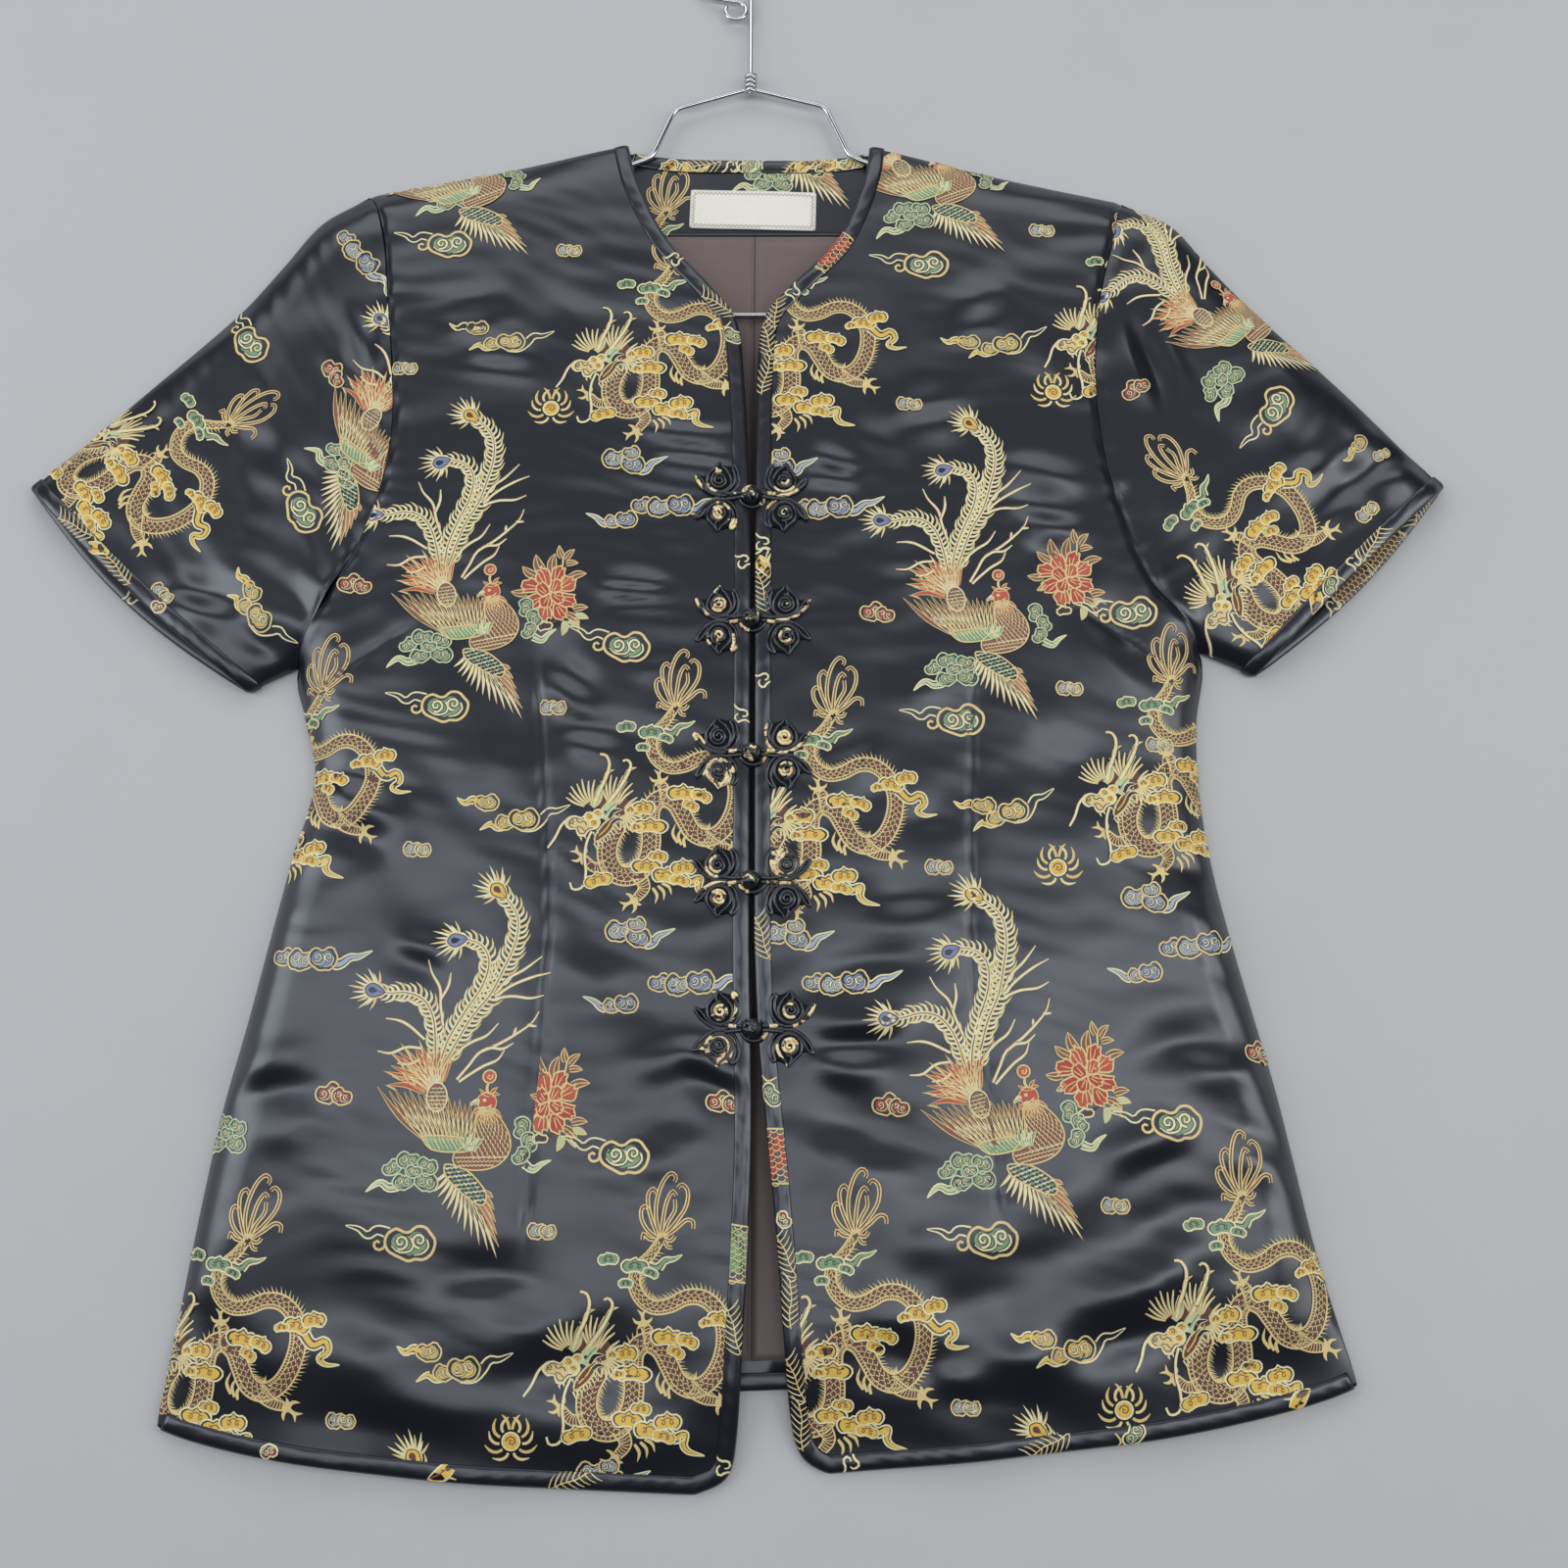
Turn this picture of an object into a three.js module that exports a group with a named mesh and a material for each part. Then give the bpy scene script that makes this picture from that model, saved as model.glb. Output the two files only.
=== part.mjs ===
// A short-sleeved brocade qipao top with five knotted frog fastenings, laid out flat on a wire hanger.
// Millimetres, +Z up. The top lies on the plane z = 0 with its neck towards +Y, so the layers are stacked in Z:
// back, lining and neck facing, hanger, then the two fronts. Each sleeve is one flattened tube.
// "left" and "right" are the wearer's: the wearer's right side is at -X.
import * as THREE from "three";

// ---------------------------------------------------------------- driving sizes
const CLOTH = 1.5; // wall of the satin brocade with its backing
const BACK_CLOTH = 1.2; // wall of the back, which lies on the plane
const LINING_CLOTH = 0.8;
const GAP = 0.3; // between pieces at seams
const BINDING_WIDTH = 7.0; // bias binding on every free edge
const BINDING_CLOTH = 0.8;
const SEAM_HEIGHT = 3.2; // top of the cloth where front and back meet at a seam or fold
const ROUND_OFF = 24; // width over which the cloth rounds over towards a side
const ROUND_POWER = 2.2;
const HEM_RISE = 78; // length over which the hem's own height fades into the body's
const HEM_BULGE = 7.5; // how far the front hem swings below a straight line
const CUFF_HEIGHT = 11.5; // height of the open cuff at its middle
const CUFF_LIFT = BINDING_CLOTH + GAP; // the lower layer rides up on its own binding at the cuff
const NECK_LIFT = 4.6; // the hanger's arms hold the neck corners up by this much
const NECK_LIFT_REACH = 45;
const FACING_SEAM_Y = 288.5; // seam between the back neck facing and the lining
const LINING_INSET = 6;
const LINING_HEM = 12;
const LABEL = { width: 65, height: 22, thick: 0.5, x: -1, y: 303, turn: -1.6 };
const FROG_PITCH_ROWS = [
  { y: 139.5 },
  { y: 77 },
  { y: 11.5 },
  { y: -49 },
  { y: -116.5 },
];
const WIRE = 2.6; // hanger wire diameter
const STEM_WIRE = 2.2;

// Sections of the body from the hem (first) to the shoulder (last). side = side seam, then armhole; edge = front edge, then neckline.
const BODY_SECTIONS = [
  { at: "hem", rsx: -258, rsy: -288, rex: -24, rey: -315.5, lex: 34, ley: -307, lsx: 266, lsy: -271 },
  { at: "hem binding", rsx: -257.6, rsy: -281, rex: -10.5, rey: -309, lex: 23.5, ley: -300.5, lsx: 264.5, lsy: -264 },
  { at: "hem curve", rsx: -255, rsy: -262, rex: -6.2, rey: -292, lex: 18.6, ley: -285, lsx: 260, lsy: -247 },
  { at: "skirt", rsx: -250.5, rsy: -225, rex: -3.8, rey: -252, lex: 15.2, ley: -246, lsx: 252, lsy: -213 },
  { at: "skirt", rsx: -245.5, rsy: -188, rex: -1.6, rey: -210, lex: 12.2, ley: -206, lsx: 245.5, lsy: -178 },
  { at: "hip", rsx: -239.5, rsy: -150, rex: -0.2, rey: -168, lex: 8.4, ley: -166, lsx: 239, lsy: -144 },
  { at: "fifth frog", rsx: -231.5, rsy: -113, rex: -0.6, rey: -127, lex: 4.4, ley: -126, lsx: 231, lsy: -110 },
  { at: "high hip", rsx: -224, rsy: -75, rex: -1.4, rey: -86, lex: 2.3, ley: -86, lsx: 223, lsy: -76 },
  { at: "fourth frog", rsx: -216.5, rsy: -38, rex: -1.7, rey: -45, lex: 1.9, ley: -45, lsx: 216, lsy: -41 },
  { at: "waist", rsx: -208, rsy: 0, rex: -1.8, rey: -3, lex: 1.8, ley: -3, lsx: 212, lsy: -5 },
  { at: "rib", rsx: -213.5, rsy: 28, rex: -1.8, rey: 38, lex: 1.8, ley: 38, lsx: 212.5, lsy: 28 },
  { at: "armpit", rsx: -219.5, rsy: 56.5, rex: -1.8, rey: 80, lex: 1.8, ley: 80, lsx: 216, lsy: 64.5 },
  { at: "armhole", rsx: -204, rsy: 89, rex: -2.0, rey: 120, lex: 1.8, ley: 120, lsx: 191.5, lsy: 96 },
  { at: "armhole", rsx: -187, rsy: 126, rex: -3.2, rey: 158, lex: 1.9, ley: 158, lsx: 180, lsy: 128 },
  { at: "armhole", rsx: -178, rsy: 165, rex: -5.2, rey: 197, lex: 2.4, ley: 197, lsx: 171.3, lsy: 165 },
  { at: "neck base", rsx: -179, rsy: 205, rex: -9.2, rey: 233, lex: 5.6, ley: 234, lsx: 169, lsy: 205 },
  { at: "neck", rsx: -183.4, rsy: 244, rex: -22.6, rey: 253, lex: 19, ley: 253, lsx: 173, lsy: 245 },
  { at: "neck", rsx: -187.5, rsy: 279, rex: -45, rey: 280, lex: 42.5, ley: 279, lsx: 181, lsy: 278 },
  { at: "neck", rsx: -193.5, rsy: 302, rex: -60.4, rey: 313, lex: 56.4, ley: 313, lsx: 186.5, lsy: 300 },
  { at: "shoulder", rsx: -199, rsy: 310.5, rex: -66.2, rey: 337, lex: 60, ley: 336, lsx: 189, lsy: 306.5 },
];
const ARMPIT = 11; // section number
const SHOULDER = BODY_SECTIONS.length - 1;
const SECTION_STEP = 0.5;

// Height of the laid front above the plane, up the garment.
const CROWN = [
  { y: -320, height: 10 },
  { y: -240, height: 14 },
  { y: -160, height: 16.5 },
  { y: -60, height: 17 },
  { y: 20, height: 16 },
  { y: 110, height: 17.5 },
  { y: 200, height: 17 },
  { y: 260, height: 14.5 },
  { y: 305, height: 12.5 },
  { y: 345, height: 11.5 },
];
// Height of the front hem above the plane, across the garment: it lifts in soft waves and drops to the plane beyond the back hem.
const HEM_WAVES = [
  { x: -258, height: 3.4 },
  { x: -244, height: 5.4 },
  { x: -205, height: 7.6 },
  { x: -165, height: 5.6 },
  { x: -125, height: 7.4 },
  { x: -85, height: 4.6 },
  { x: -48, height: 3.0 },
  { x: -14, height: 2.2 },
  { x: 22, height: 2.2 },
  { x: 56, height: 3.2 },
  { x: 96, height: 6.6 },
  { x: 132, height: 4.8 },
  { x: 176, height: 7.8 },
  { x: 222, height: 6.4 },
  { x: 252, height: 5.2 },
  { x: 267, height: 3.4 },
];
// The largest folds: a soft ridge (height > 0) or trough (height < 0), dir = degrees from +X.
const FOLDS = [
  { on: "skirt, right", x: -120, y: -236, dir: -6, length: 88, width: 13, height: -3.6 },
  { on: "skirt, right", x: -135, y: -264, dir: -4, length: 74, width: 11, height: 2.6 },
  { on: "skirt, left", x: 128, y: -222, dir: 24, length: 74, width: 14, height: -3.8 },
  { on: "skirt, left", x: 150, y: -188, dir: 22, length: 78, width: 14, height: 2.4 },
  { on: "under the fifth frog", x: 44, y: -150, dir: -24, length: 52, width: 11, height: -2.0 },
  { on: "waist, right", x: -52, y: 22, dir: -10, length: 46, width: 9, height: -2.2 },
  { on: "waist, left", x: 72, y: -8, dir: 12, length: 50, width: 10, height: -2.0 },
  { on: "first frog, right", x: -62, y: 152, dir: -6, length: 50, width: 9, height: -2.2 },
  { on: "armhole, right", x: -190, y: 150, dir: 84, length: 60, width: 9, height: -3.0 },
  { on: "armhole, left", x: 186, y: 132, dir: 110, length: 60, width: 9, height: -2.6 },
  { on: "sleeve, right", x: -236, y: 118, dir: 62, length: 56, width: 12, height: 2.4 },
  { on: "sleeve, right", x: -252, y: 86, dir: 140, length: 44, width: 10, height: -2.6 },
  { on: "sleeve, left", x: 284, y: 158, dir: 140, length: 40, width: 10, height: -2.6 },
  { on: "sleeve, left", x: 262, y: 196, dir: 48, length: 52, width: 13, height: 2.0 },
];
// Sleeve: how far its top fold stands out from a straight line, from armhole (along = 0) to cuff (along = 1).
const SLEEVE_TOP = [
  { along: 0, right: 0, left: 0 },
  { along: 0.12, right: 6, left: 9 },
  { along: 0.25, right: 2, left: 6 },
  { along: 0.4, right: -2, left: 3.6 },
  { along: 0.7, right: -1, left: 3 },
  { along: 1, right: 0, left: 0 },
];
const SLEEVES = {
  right: { topX: -357, topY: 149, underX: -243, underY: 45, upperBulge: 3, lowerBulge: 8.5 },
  left: { topX: 341, topY: 150, underX: 242, underY: 53, upperBulge: -1.5, lowerBulge: 6 },
};
const SLEEVE_SECTIONS = [0, 0.08, 0.16, 0.28, 0.42, 0.58, 0.74, 0.88, 1];
const BACK_NECK_DIP = 5;
const BACK_HEM = { rightX: -256, rightY: -286, midY: -273, leftX: 264, leftY: -269.5 };

// Bends of the hanger's wire, from the collar round the left arm, the bar and the right arm back to the collar.
const HANGER_BENDS = [
  { at: "collar, left", x: 1.2, y: 371, radius: 0 },
  { at: "left neck", x: 36.5, y: 361.5, radius: 4 },
  { at: "left neck foot", x: 49, y: 332.5, radius: 4 },
  { at: "left arm end", x: 172, y: 283, radius: 12 },
  { at: "bar, left end", x: 155, y: 243, radius: 10 },
  { at: "bar, right end", x: -160, y: 243, radius: 10 },
  { at: "right arm end", x: -178, y: 283, radius: 12 },
  { at: "right neck foot", x: -53.5, y: 332, radius: 4 },
  { at: "right neck", x: -42, y: 360, radius: 4 },
  { at: "collar, right", x: -6.2, y: 371, radius: 0 },
];
const HANGER_TILT = { lowY: 243, lowZ: 4.1, highY: 330, highZ: 5.1 };
const STEM_X = -2.5;
const COLLAR = { fromY: 368.5, toY: 382, inner: 1.5, outer: 3.2 };
const HOOK = { stemY: 440, radius: 15, ringX: -10.6, ringY: 421, ringRadius: 5.6, topZ: 2.2 };

// ---------------------------------------------------------------- small helpers
const lerp = (a, b, t) => a + (b - a) * t;
const clamp = (v, lo, hi) => Math.max(lo, Math.min(hi, v));
const smooth = (t) => {
  const c = clamp(t, 0, 1);
  return c * c * (3 - 2 * c);
};

// Smooth curve through one column of a table, by row number.
function byRow(rows, column, t) {
  const n = rows.length - 1;
  const i = clamp(Math.floor(t), 0, n - 1);
  const f = t - i;
  const v = (k) => rows[clamp(k, 0, n)][column];
  const m0 = (v(i + 1) - v(i - 1)) / 2;
  const m1 = (v(i + 2) - v(i)) / 2;
  const f2 = f * f;
  const f3 = f2 * f;
  return (
    (2 * f3 - 3 * f2 + 1) * v(i) +
    (f3 - 2 * f2 + f) * m0 +
    (-2 * f3 + 3 * f2) * v(i + 1) +
    (f3 - f2) * m1
  );
}

// Smooth curve through one column of a table, by the value of another.
function byKey(rows, key, column, x) {
  const n = rows.length - 1;
  if (x <= rows[0][key]) return rows[0][column];
  if (x >= rows[n][key]) return rows[n][column];
  let i = 0;
  while (x > rows[i + 1][key]) i++;
  return byRow(rows, column, i + (x - rows[i][key]) / (rows[i + 1][key] - rows[i][key]));
}

function distanceTo(line, x, y) {
  let best = Infinity;
  for (let i = 0; i + 1 < line.length; i++) {
    const [ax, ay] = line[i];
    const dx = line[i + 1][0] - ax;
    const dy = line[i + 1][1] - ay;
    const f = clamp(((x - ax) * dx + (y - ay) * dy) / (dx * dx + dy * dy), 0, 1);
    best = Math.min(best, Math.hypot(x - ax - f * dx, y - ay - f * dy));
  }
  return best;
}

// A closed surface from points and polygons, wound so that its volume is positive. Triangles with two equal corners are left out.
class Skin {
  constructor() {
    this.points = [];
    this.faces = [];
  }
  point(x, y, z) {
    this.points.push([x, y, z]);
    return this.points.length - 1;
  }
  triangle(a, b, c) {
    const same = (p, q) =>
      Math.hypot(...this.points[p].map((v, k) => v - this.points[q][k])) < 2e-3;
    if (!same(a, b) && !same(b, c) && !same(c, a)) this.faces.push([a, b, c]);
  }
  quad(a, b, c, d) {
    this.triangle(a, b, c);
    this.triangle(a, c, d);
  }
  geometry() {
    const p = this.points;
    let volume = 0;
    for (const [a, b, c] of this.faces)
      volume +=
        p[a][0] * (p[b][1] * p[c][2] - p[b][2] * p[c][1]) -
        p[a][1] * (p[b][0] * p[c][2] - p[b][2] * p[c][0]) +
        p[a][2] * (p[b][0] * p[c][1] - p[b][1] * p[c][0]);
    const position = new Float32Array(this.faces.length * 9);
    this.faces.forEach((f, i) => {
      const order = volume < 0 ? [f[0], f[2], f[1]] : f;
      order.forEach((k, j) => position.set(p[k], i * 9 + j * 3));
    });
    const g = new THREE.BufferGeometry();
    g.setAttribute("position", new THREE.BufferAttribute(position, 3));
    g.computeVertexNormals();
    return g;
  }
}

// A wall between two grids of points that share a layout: upper[i][j] and lower[i][j].
function wall(upper, lower) {
  const skin = new Skin();
  const add = (grid) => grid.map((row) => row.map((q) => skin.point(...q)));
  const a = add(upper);
  const b = add(lower);
  const n = a.length - 1;
  const m = a[0].length - 1;
  for (let i = 0; i < n; i++)
    for (let j = 0; j < m; j++) {
      skin.quad(a[i][j], a[i + 1][j], a[i + 1][j + 1], a[i][j + 1]);
      skin.quad(b[i][j], b[i][j + 1], b[i + 1][j + 1], b[i + 1][j]);
    }
  for (let i = 0; i < n; i++) {
    skin.quad(a[i][0], b[i][0], b[i + 1][0], a[i + 1][0]);
    skin.quad(a[i][m], a[i + 1][m], b[i + 1][m], b[i][m]);
  }
  for (let j = 0; j < m; j++) {
    skin.quad(a[0][j], a[0][j + 1], b[0][j + 1], b[0][j]);
    skin.quad(a[n][j], b[n][j], b[n][j + 1], a[n][j + 1]);
  }
  return skin.geometry();
}

// A loft through closed sections of equal length. caps lists quads of section corners; without it the loft closes on itself.
function loft(sections, caps) {
  const skin = new Skin();
  const ids = sections.map((s) => s.map((q) => skin.point(...q)));
  const n = ids.length;
  const m = ids[0].length;
  const last = caps ? n - 1 : n;
  for (let i = 0; i < last; i++)
    for (let j = 0; j < m; j++)
      skin.quad(ids[i][j], ids[i][(j + 1) % m], ids[(i + 1) % n][(j + 1) % m], ids[(i + 1) % n][j]);
  if (caps)
    for (const [a, b, c, d] of caps) {
      skin.quad(ids[0][d], ids[0][c], ids[0][b], ids[0][a]);
      skin.quad(ids[n - 1][a], ids[n - 1][b], ids[n - 1][c], ids[n - 1][d]);
    }
  return skin.geometry();
}

// ---------------------------------------------------------------- plan of the body
const prefix = { right: "r", left: "l" };
const outward = { right: -1, left: 1 };

function sidePoint(side, t) {
  return [byRow(BODY_SECTIONS, prefix[side] + "sx", t), byRow(BODY_SECTIONS, prefix[side] + "sy", t)];
}
function edgePoint(side, t) {
  return [byRow(BODY_SECTIONS, prefix[side] + "ex", t), byRow(BODY_SECTIONS, prefix[side] + "ey", t)];
}
function steps(from, to, step) {
  const n = Math.round((to - from) / step);
  return Array.from({ length: n + 1 }, (_, i) => from + i * step);
}
const sectionSteps = steps(0, SHOULDER, SECTION_STEP);
const armholeSteps = steps(ARMPIT, SHOULDER, SECTION_STEP).reverse(); // shoulder to armpit

// Unit normal of the armhole line, away from the body.
function armholeNormal(side, t) {
  const a = sidePoint(side, Math.max(ARMPIT, t - 0.25));
  const b = sidePoint(side, Math.min(SHOULDER, t + 0.25));
  const dx = b[0] - a[0];
  const dy = b[1] - a[1];
  const l = Math.hypot(dx, dy);
  return [(outward[side] * dy) / l, (-outward[side] * dx) / l];
}

// ---------------------------------------------------------------- plan of the sleeves
// across runs from the top fold (0) to the underarm fold (1), along from the armhole (0) to the cuff (1).
function sleevePlan(side, along, across, lower) {
  const cut = SLEEVES[side];
  const t = SHOULDER - across * (SHOULDER - ARMPIT);
  const [nx, ny] = armholeNormal(side, t);
  const [ax, ay] = sidePoint(side, t);
  const start = [ax + nx * (GAP + 0.05), ay + ny * (GAP + 0.05)];
  const cx = cut.underX - cut.topX;
  const cy = cut.underY - cut.topY;
  const cl = Math.hypot(cx, cy);
  const bulge = (lower ? cut.lowerBulge : cut.upperBulge) * Math.sin(Math.PI * across);
  const end = [
    lerp(cut.topX, cut.underX, across) + (outward[side] * -cy * bulge) / cl,
    lerp(cut.topY, cut.underY, across) + (outward[side] * cx * bulge) / cl,
  ];
  const fx = cut.topX - BODY_SECTIONS[SHOULDER][prefix[side] + "sx"];
  const fy = cut.topY - BODY_SECTIONS[SHOULDER][prefix[side] + "sy"];
  const fl = Math.hypot(fx, fy);
  const stand = byKey(SLEEVE_TOP, "along", side, along) * Math.pow(1 - across, 5);
  return [
    lerp(start[0], end[0], along) + (outward[side] * -fy * stand) / fl,
    lerp(start[1], end[1], along) + (outward[side] * fx * stand) / fl,
  ];
}

// Every line where the cloth turns under or is seamed to the back, on one side.
const roundedLines = {};
for (const side of ["right", "left"]) {
  roundedLines[side] = [
    steps(0, ARMPIT, SECTION_STEP).map((t) => sidePoint(side, t)),
    [sidePoint(side, SHOULDER), edgePoint(side, SHOULDER)],
    steps(0, 1, 0.05).map((k) => sleevePlan(side, k, 0, false)),
    steps(0, 1, 0.25).map((k) => sleevePlan(side, k, 1, false)),
  ];
}

// ---------------------------------------------------------------- height of the laid cloth
function foldsAt(x, y) {
  let h = 0;
  for (const f of FOLDS) {
    const c = Math.cos((f.dir * Math.PI) / 180);
    const s = Math.sin((f.dir * Math.PI) / 180);
    const a = ((x - f.x) * c + (y - f.y) * s) / f.length;
    const b = (-(x - f.x) * s + (y - f.y) * c) / f.width;
    h += f.height * Math.exp(-a * a - b * b);
  }
  return h;
}

// Top of the cloth above the plane at a point whose full height would be crown.
function clothTop(side, x, y, crown) {
  const d = Math.min(...roundedLines[side].map((line) => distanceTo(line, x, y)));
  const neck = edgePoint(side, SHOULDER);
  const lift = NECK_LIFT * Math.exp(-Math.pow(Math.hypot(x - neck[0], y - neck[1]) / NECK_LIFT_REACH, 2));
  const low = SEAM_HEIGHT + lift;
  const part = d >= ROUND_OFF ? 1 : 1 - Math.pow(1 - d / ROUND_OFF, ROUND_POWER);
  return low + (crown + foldsAt(x, y) * smooth(d / 20) - low) * part;
}
const crownAt = (y) => byKey(CROWN, "y", "height", y);

// A point of a front: across runs from the side (0) to the front edge (1), section from hem (0) to shoulder.
function frontPoint(side, section, across) {
  const a = sidePoint(side, section);
  const b = edgePoint(side, section);
  const swing = HEM_BULGE * Math.sin(Math.PI * Math.pow(across, 0.7)) * Math.pow(Math.max(0, 1 - section / 6), 2);
  const x = lerp(a[0], b[0], across);
  const y = lerp(a[1], b[1], across) - swing;
  const body = clothTop(side, x, y, crownAt(y));
  const hem = byKey(HEM_WAVES, "x", "height", x);
  const foot = frontHemY(side, across);
  return [x, y, lerp(hem, body, smooth((y - foot) / HEM_RISE))];
}
function frontHemY(side, across) {
  const a = sidePoint(side, 0);
  const b = edgePoint(side, 0);
  return lerp(a[1], b[1], across) - HEM_BULGE * Math.sin(Math.PI * Math.pow(across, 0.7));
}
// Columns of a front: even, with the last as wide as the binding.
function columns(side, section) {
  const a = sidePoint(side, section);
  const b = edgePoint(side, section);
  const inner = 1 - BINDING_WIDTH / Math.hypot(b[0] - a[0], b[1] - a[1]);
  const n = 10;
  const near = 0.045; // the first column follows the side's rounding
  return [0, near, ...steps(1, n - 1, 1).map((i) => lerp(near, inner, i / (n - 1))), 1];
}
const raise = (p, dz) => [p[0], p[1], p[2] + dz];

function frontGrid(side) {
  return sectionSteps.map((t) => columns(side, t).map((u) => frontPoint(side, t, u)));
}

// ---------------------------------------------------------------- bindings
// stations: {edge, inner, out}: points of the cloth's top at its edge and a binding's width in, and the way out of the cloth.
function bindingOver(stations, cloth) {
  const top = GAP + BINDING_CLOTH;
  return loft(
    stations.map(({ edge, inner, out, foot }) => {
      const o = (k) => [edge[0] + out[0] * k, edge[1] + out[1] * k];
      const low = foot === undefined ? edge[2] - cloth : foot;
      return [
        [inner[0], inner[1], inner[2] + top],
        [...o(top), edge[2] + top],
        [...o(top), low],
        [...o(GAP), low],
        [...o(GAP), edge[2] + GAP],
        [inner[0], inner[1], inner[2] + GAP],
      ];
    }),
    [
      [0, 1, 4, 5],
      [1, 2, 3, 4],
    ],
  );
}
function withNormals(stations, turn) {
  return stations.map((s, i) => {
    const a = stations[Math.max(0, i - 1)].edge;
    const b = stations[Math.min(stations.length - 1, i + 1)].edge;
    const dx = b[0] - a[0];
    const dy = b[1] - a[1];
    const l = Math.hypot(dx, dy);
    return { ...s, out: [(turn * dy) / l, (-turn * dx) / l] };
  });
}

// One strip of binding from the shoulder down the neckline and front edge, round the corner and along the hem to the side.
function frontBinding(side, grid) {
  const m = grid[0].length - 1;
  const stations = [];
  for (let i = grid.length - 1; i >= 0; i--)
    stations.push({ edge: grid[i][m], inner: grid[Math.max(i, 2)][m - 1] });
  for (let j = m - 1; j >= 0; j--) stations.push({ edge: grid[0][j], inner: grid[2][j] });
  return bindingOver(withNormals(stations, outward[side] * 1), CLOTH);
}

// ---------------------------------------------------------------- the flat layers under the fronts
function plate(points, bottom, thick) {
  const shape = new THREE.Shape(points.map(([x, y]) => new THREE.Vector2(x, y)));
  const g = new THREE.ExtrudeGeometry(shape, { depth: thick, bevelEnabled: false, steps: 1 });
  g.translate(0, 0, bottom);
  return g;
}
const INSET = GAP + 0.05;
function insetSide(side, t, inset) {
  const a = sidePoint(side, Math.max(0, t - 0.25));
  const b = sidePoint(side, Math.min(SHOULDER, t + 0.25));
  const l = Math.hypot(b[0] - a[0], b[1] - a[1]);
  const [x, y] = sidePoint(side, t);
  return [
    x - (outward[side] * (b[1] - a[1]) * inset) / l,
    y + (outward[side] * (b[0] - a[0]) * inset) / l,
  ];
}
function backHemY(x) {
  const f = (x - BACK_HEM.rightX) / (BACK_HEM.leftX - BACK_HEM.rightX);
  const chord = lerp(BACK_HEM.rightY, BACK_HEM.leftY, f);
  const mid = (BACK_HEM.rightY + BACK_HEM.leftY) / 2;
  return chord + (BACK_HEM.midY - mid) * 4 * f * (1 - f);
}
function backNeck(f) {
  const a = edgePoint("right", SHOULDER);
  const b = edgePoint("left", SHOULDER);
  return [lerp(a[0], b[0], f), lerp(a[1], b[1], f) - BACK_NECK_DIP * (1 - Math.pow(2 * f - 1, 4))];
}
const neckSteps = steps(0, 1, 1 / 14);
const hemXs = steps(0, 1, 1 / 22).map((f) => lerp(BACK_HEM.rightX + 0.6, BACK_HEM.leftX - 0.6, f));

function backOutline(inset) {
  const right = sectionSteps.slice(1).map((t) => insetSide("right", t, inset));
  const left = sectionSteps.slice(1).map((t) => insetSide("left", t, inset)).reverse();
  const neck = neckSteps.map(backNeck);
  const hem = [...hemXs].reverse().map((x) => [x, backHemY(x)]);
  return [...right, ...neck, ...left, ...hem];
}

// Half of the lining, from the centre back seam to one side, below the facing seam.
function liningOutline(side) {
  const seam = 0.2 * outward[side];
  const sideLine = steps(1, SHOULDER - 2, SECTION_STEP)
    .map((t) => insetSide(side, t, LINING_INSET))
    .filter(([x, y]) => y < FACING_SEAM_Y - 2 && y > backHemY(x) + LINING_HEM + 4);
  const last = sideLine[sideLine.length - 1];
  const first = sideLine[0];
  const hem = steps(0, 1, 1 / 8).map((f) => {
    const x = lerp(seam, first[0], f);
    return [x, backHemY(x) + LINING_HEM];
  });
  const line = [...hem, ...sideLine, [last[0], FACING_SEAM_Y - GAP], [seam, FACING_SEAM_Y - GAP]];
  return side === "left" ? line : line.reverse();
}

function facingOutline() {
  const right = sidePoint("right", SHOULDER);
  const left = sidePoint("left", SHOULDER);
  const neckR = backNeck(0);
  const neckL = backNeck(1);
  const drop = 7;
  const reach = 0.62; // the facing runs this far out along the shoulders
  return [
    [lerp(neckR[0], right[0], reach), FACING_SEAM_Y],
    [lerp(neckL[0], left[0], reach), FACING_SEAM_Y],
    [lerp(neckL[0], left[0], reach), lerp(neckL[1], left[1], reach) - drop],
    ...[...neckSteps].reverse().map((f) => {
      const [x, y] = backNeck(f);
      return [x, y - (f === 0 || f === 1 ? drop - 3 : 0.2)];
    }),
    [lerp(neckR[0], right[0], reach), lerp(neckR[1], right[1], reach) - drop],
  ];
}

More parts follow.
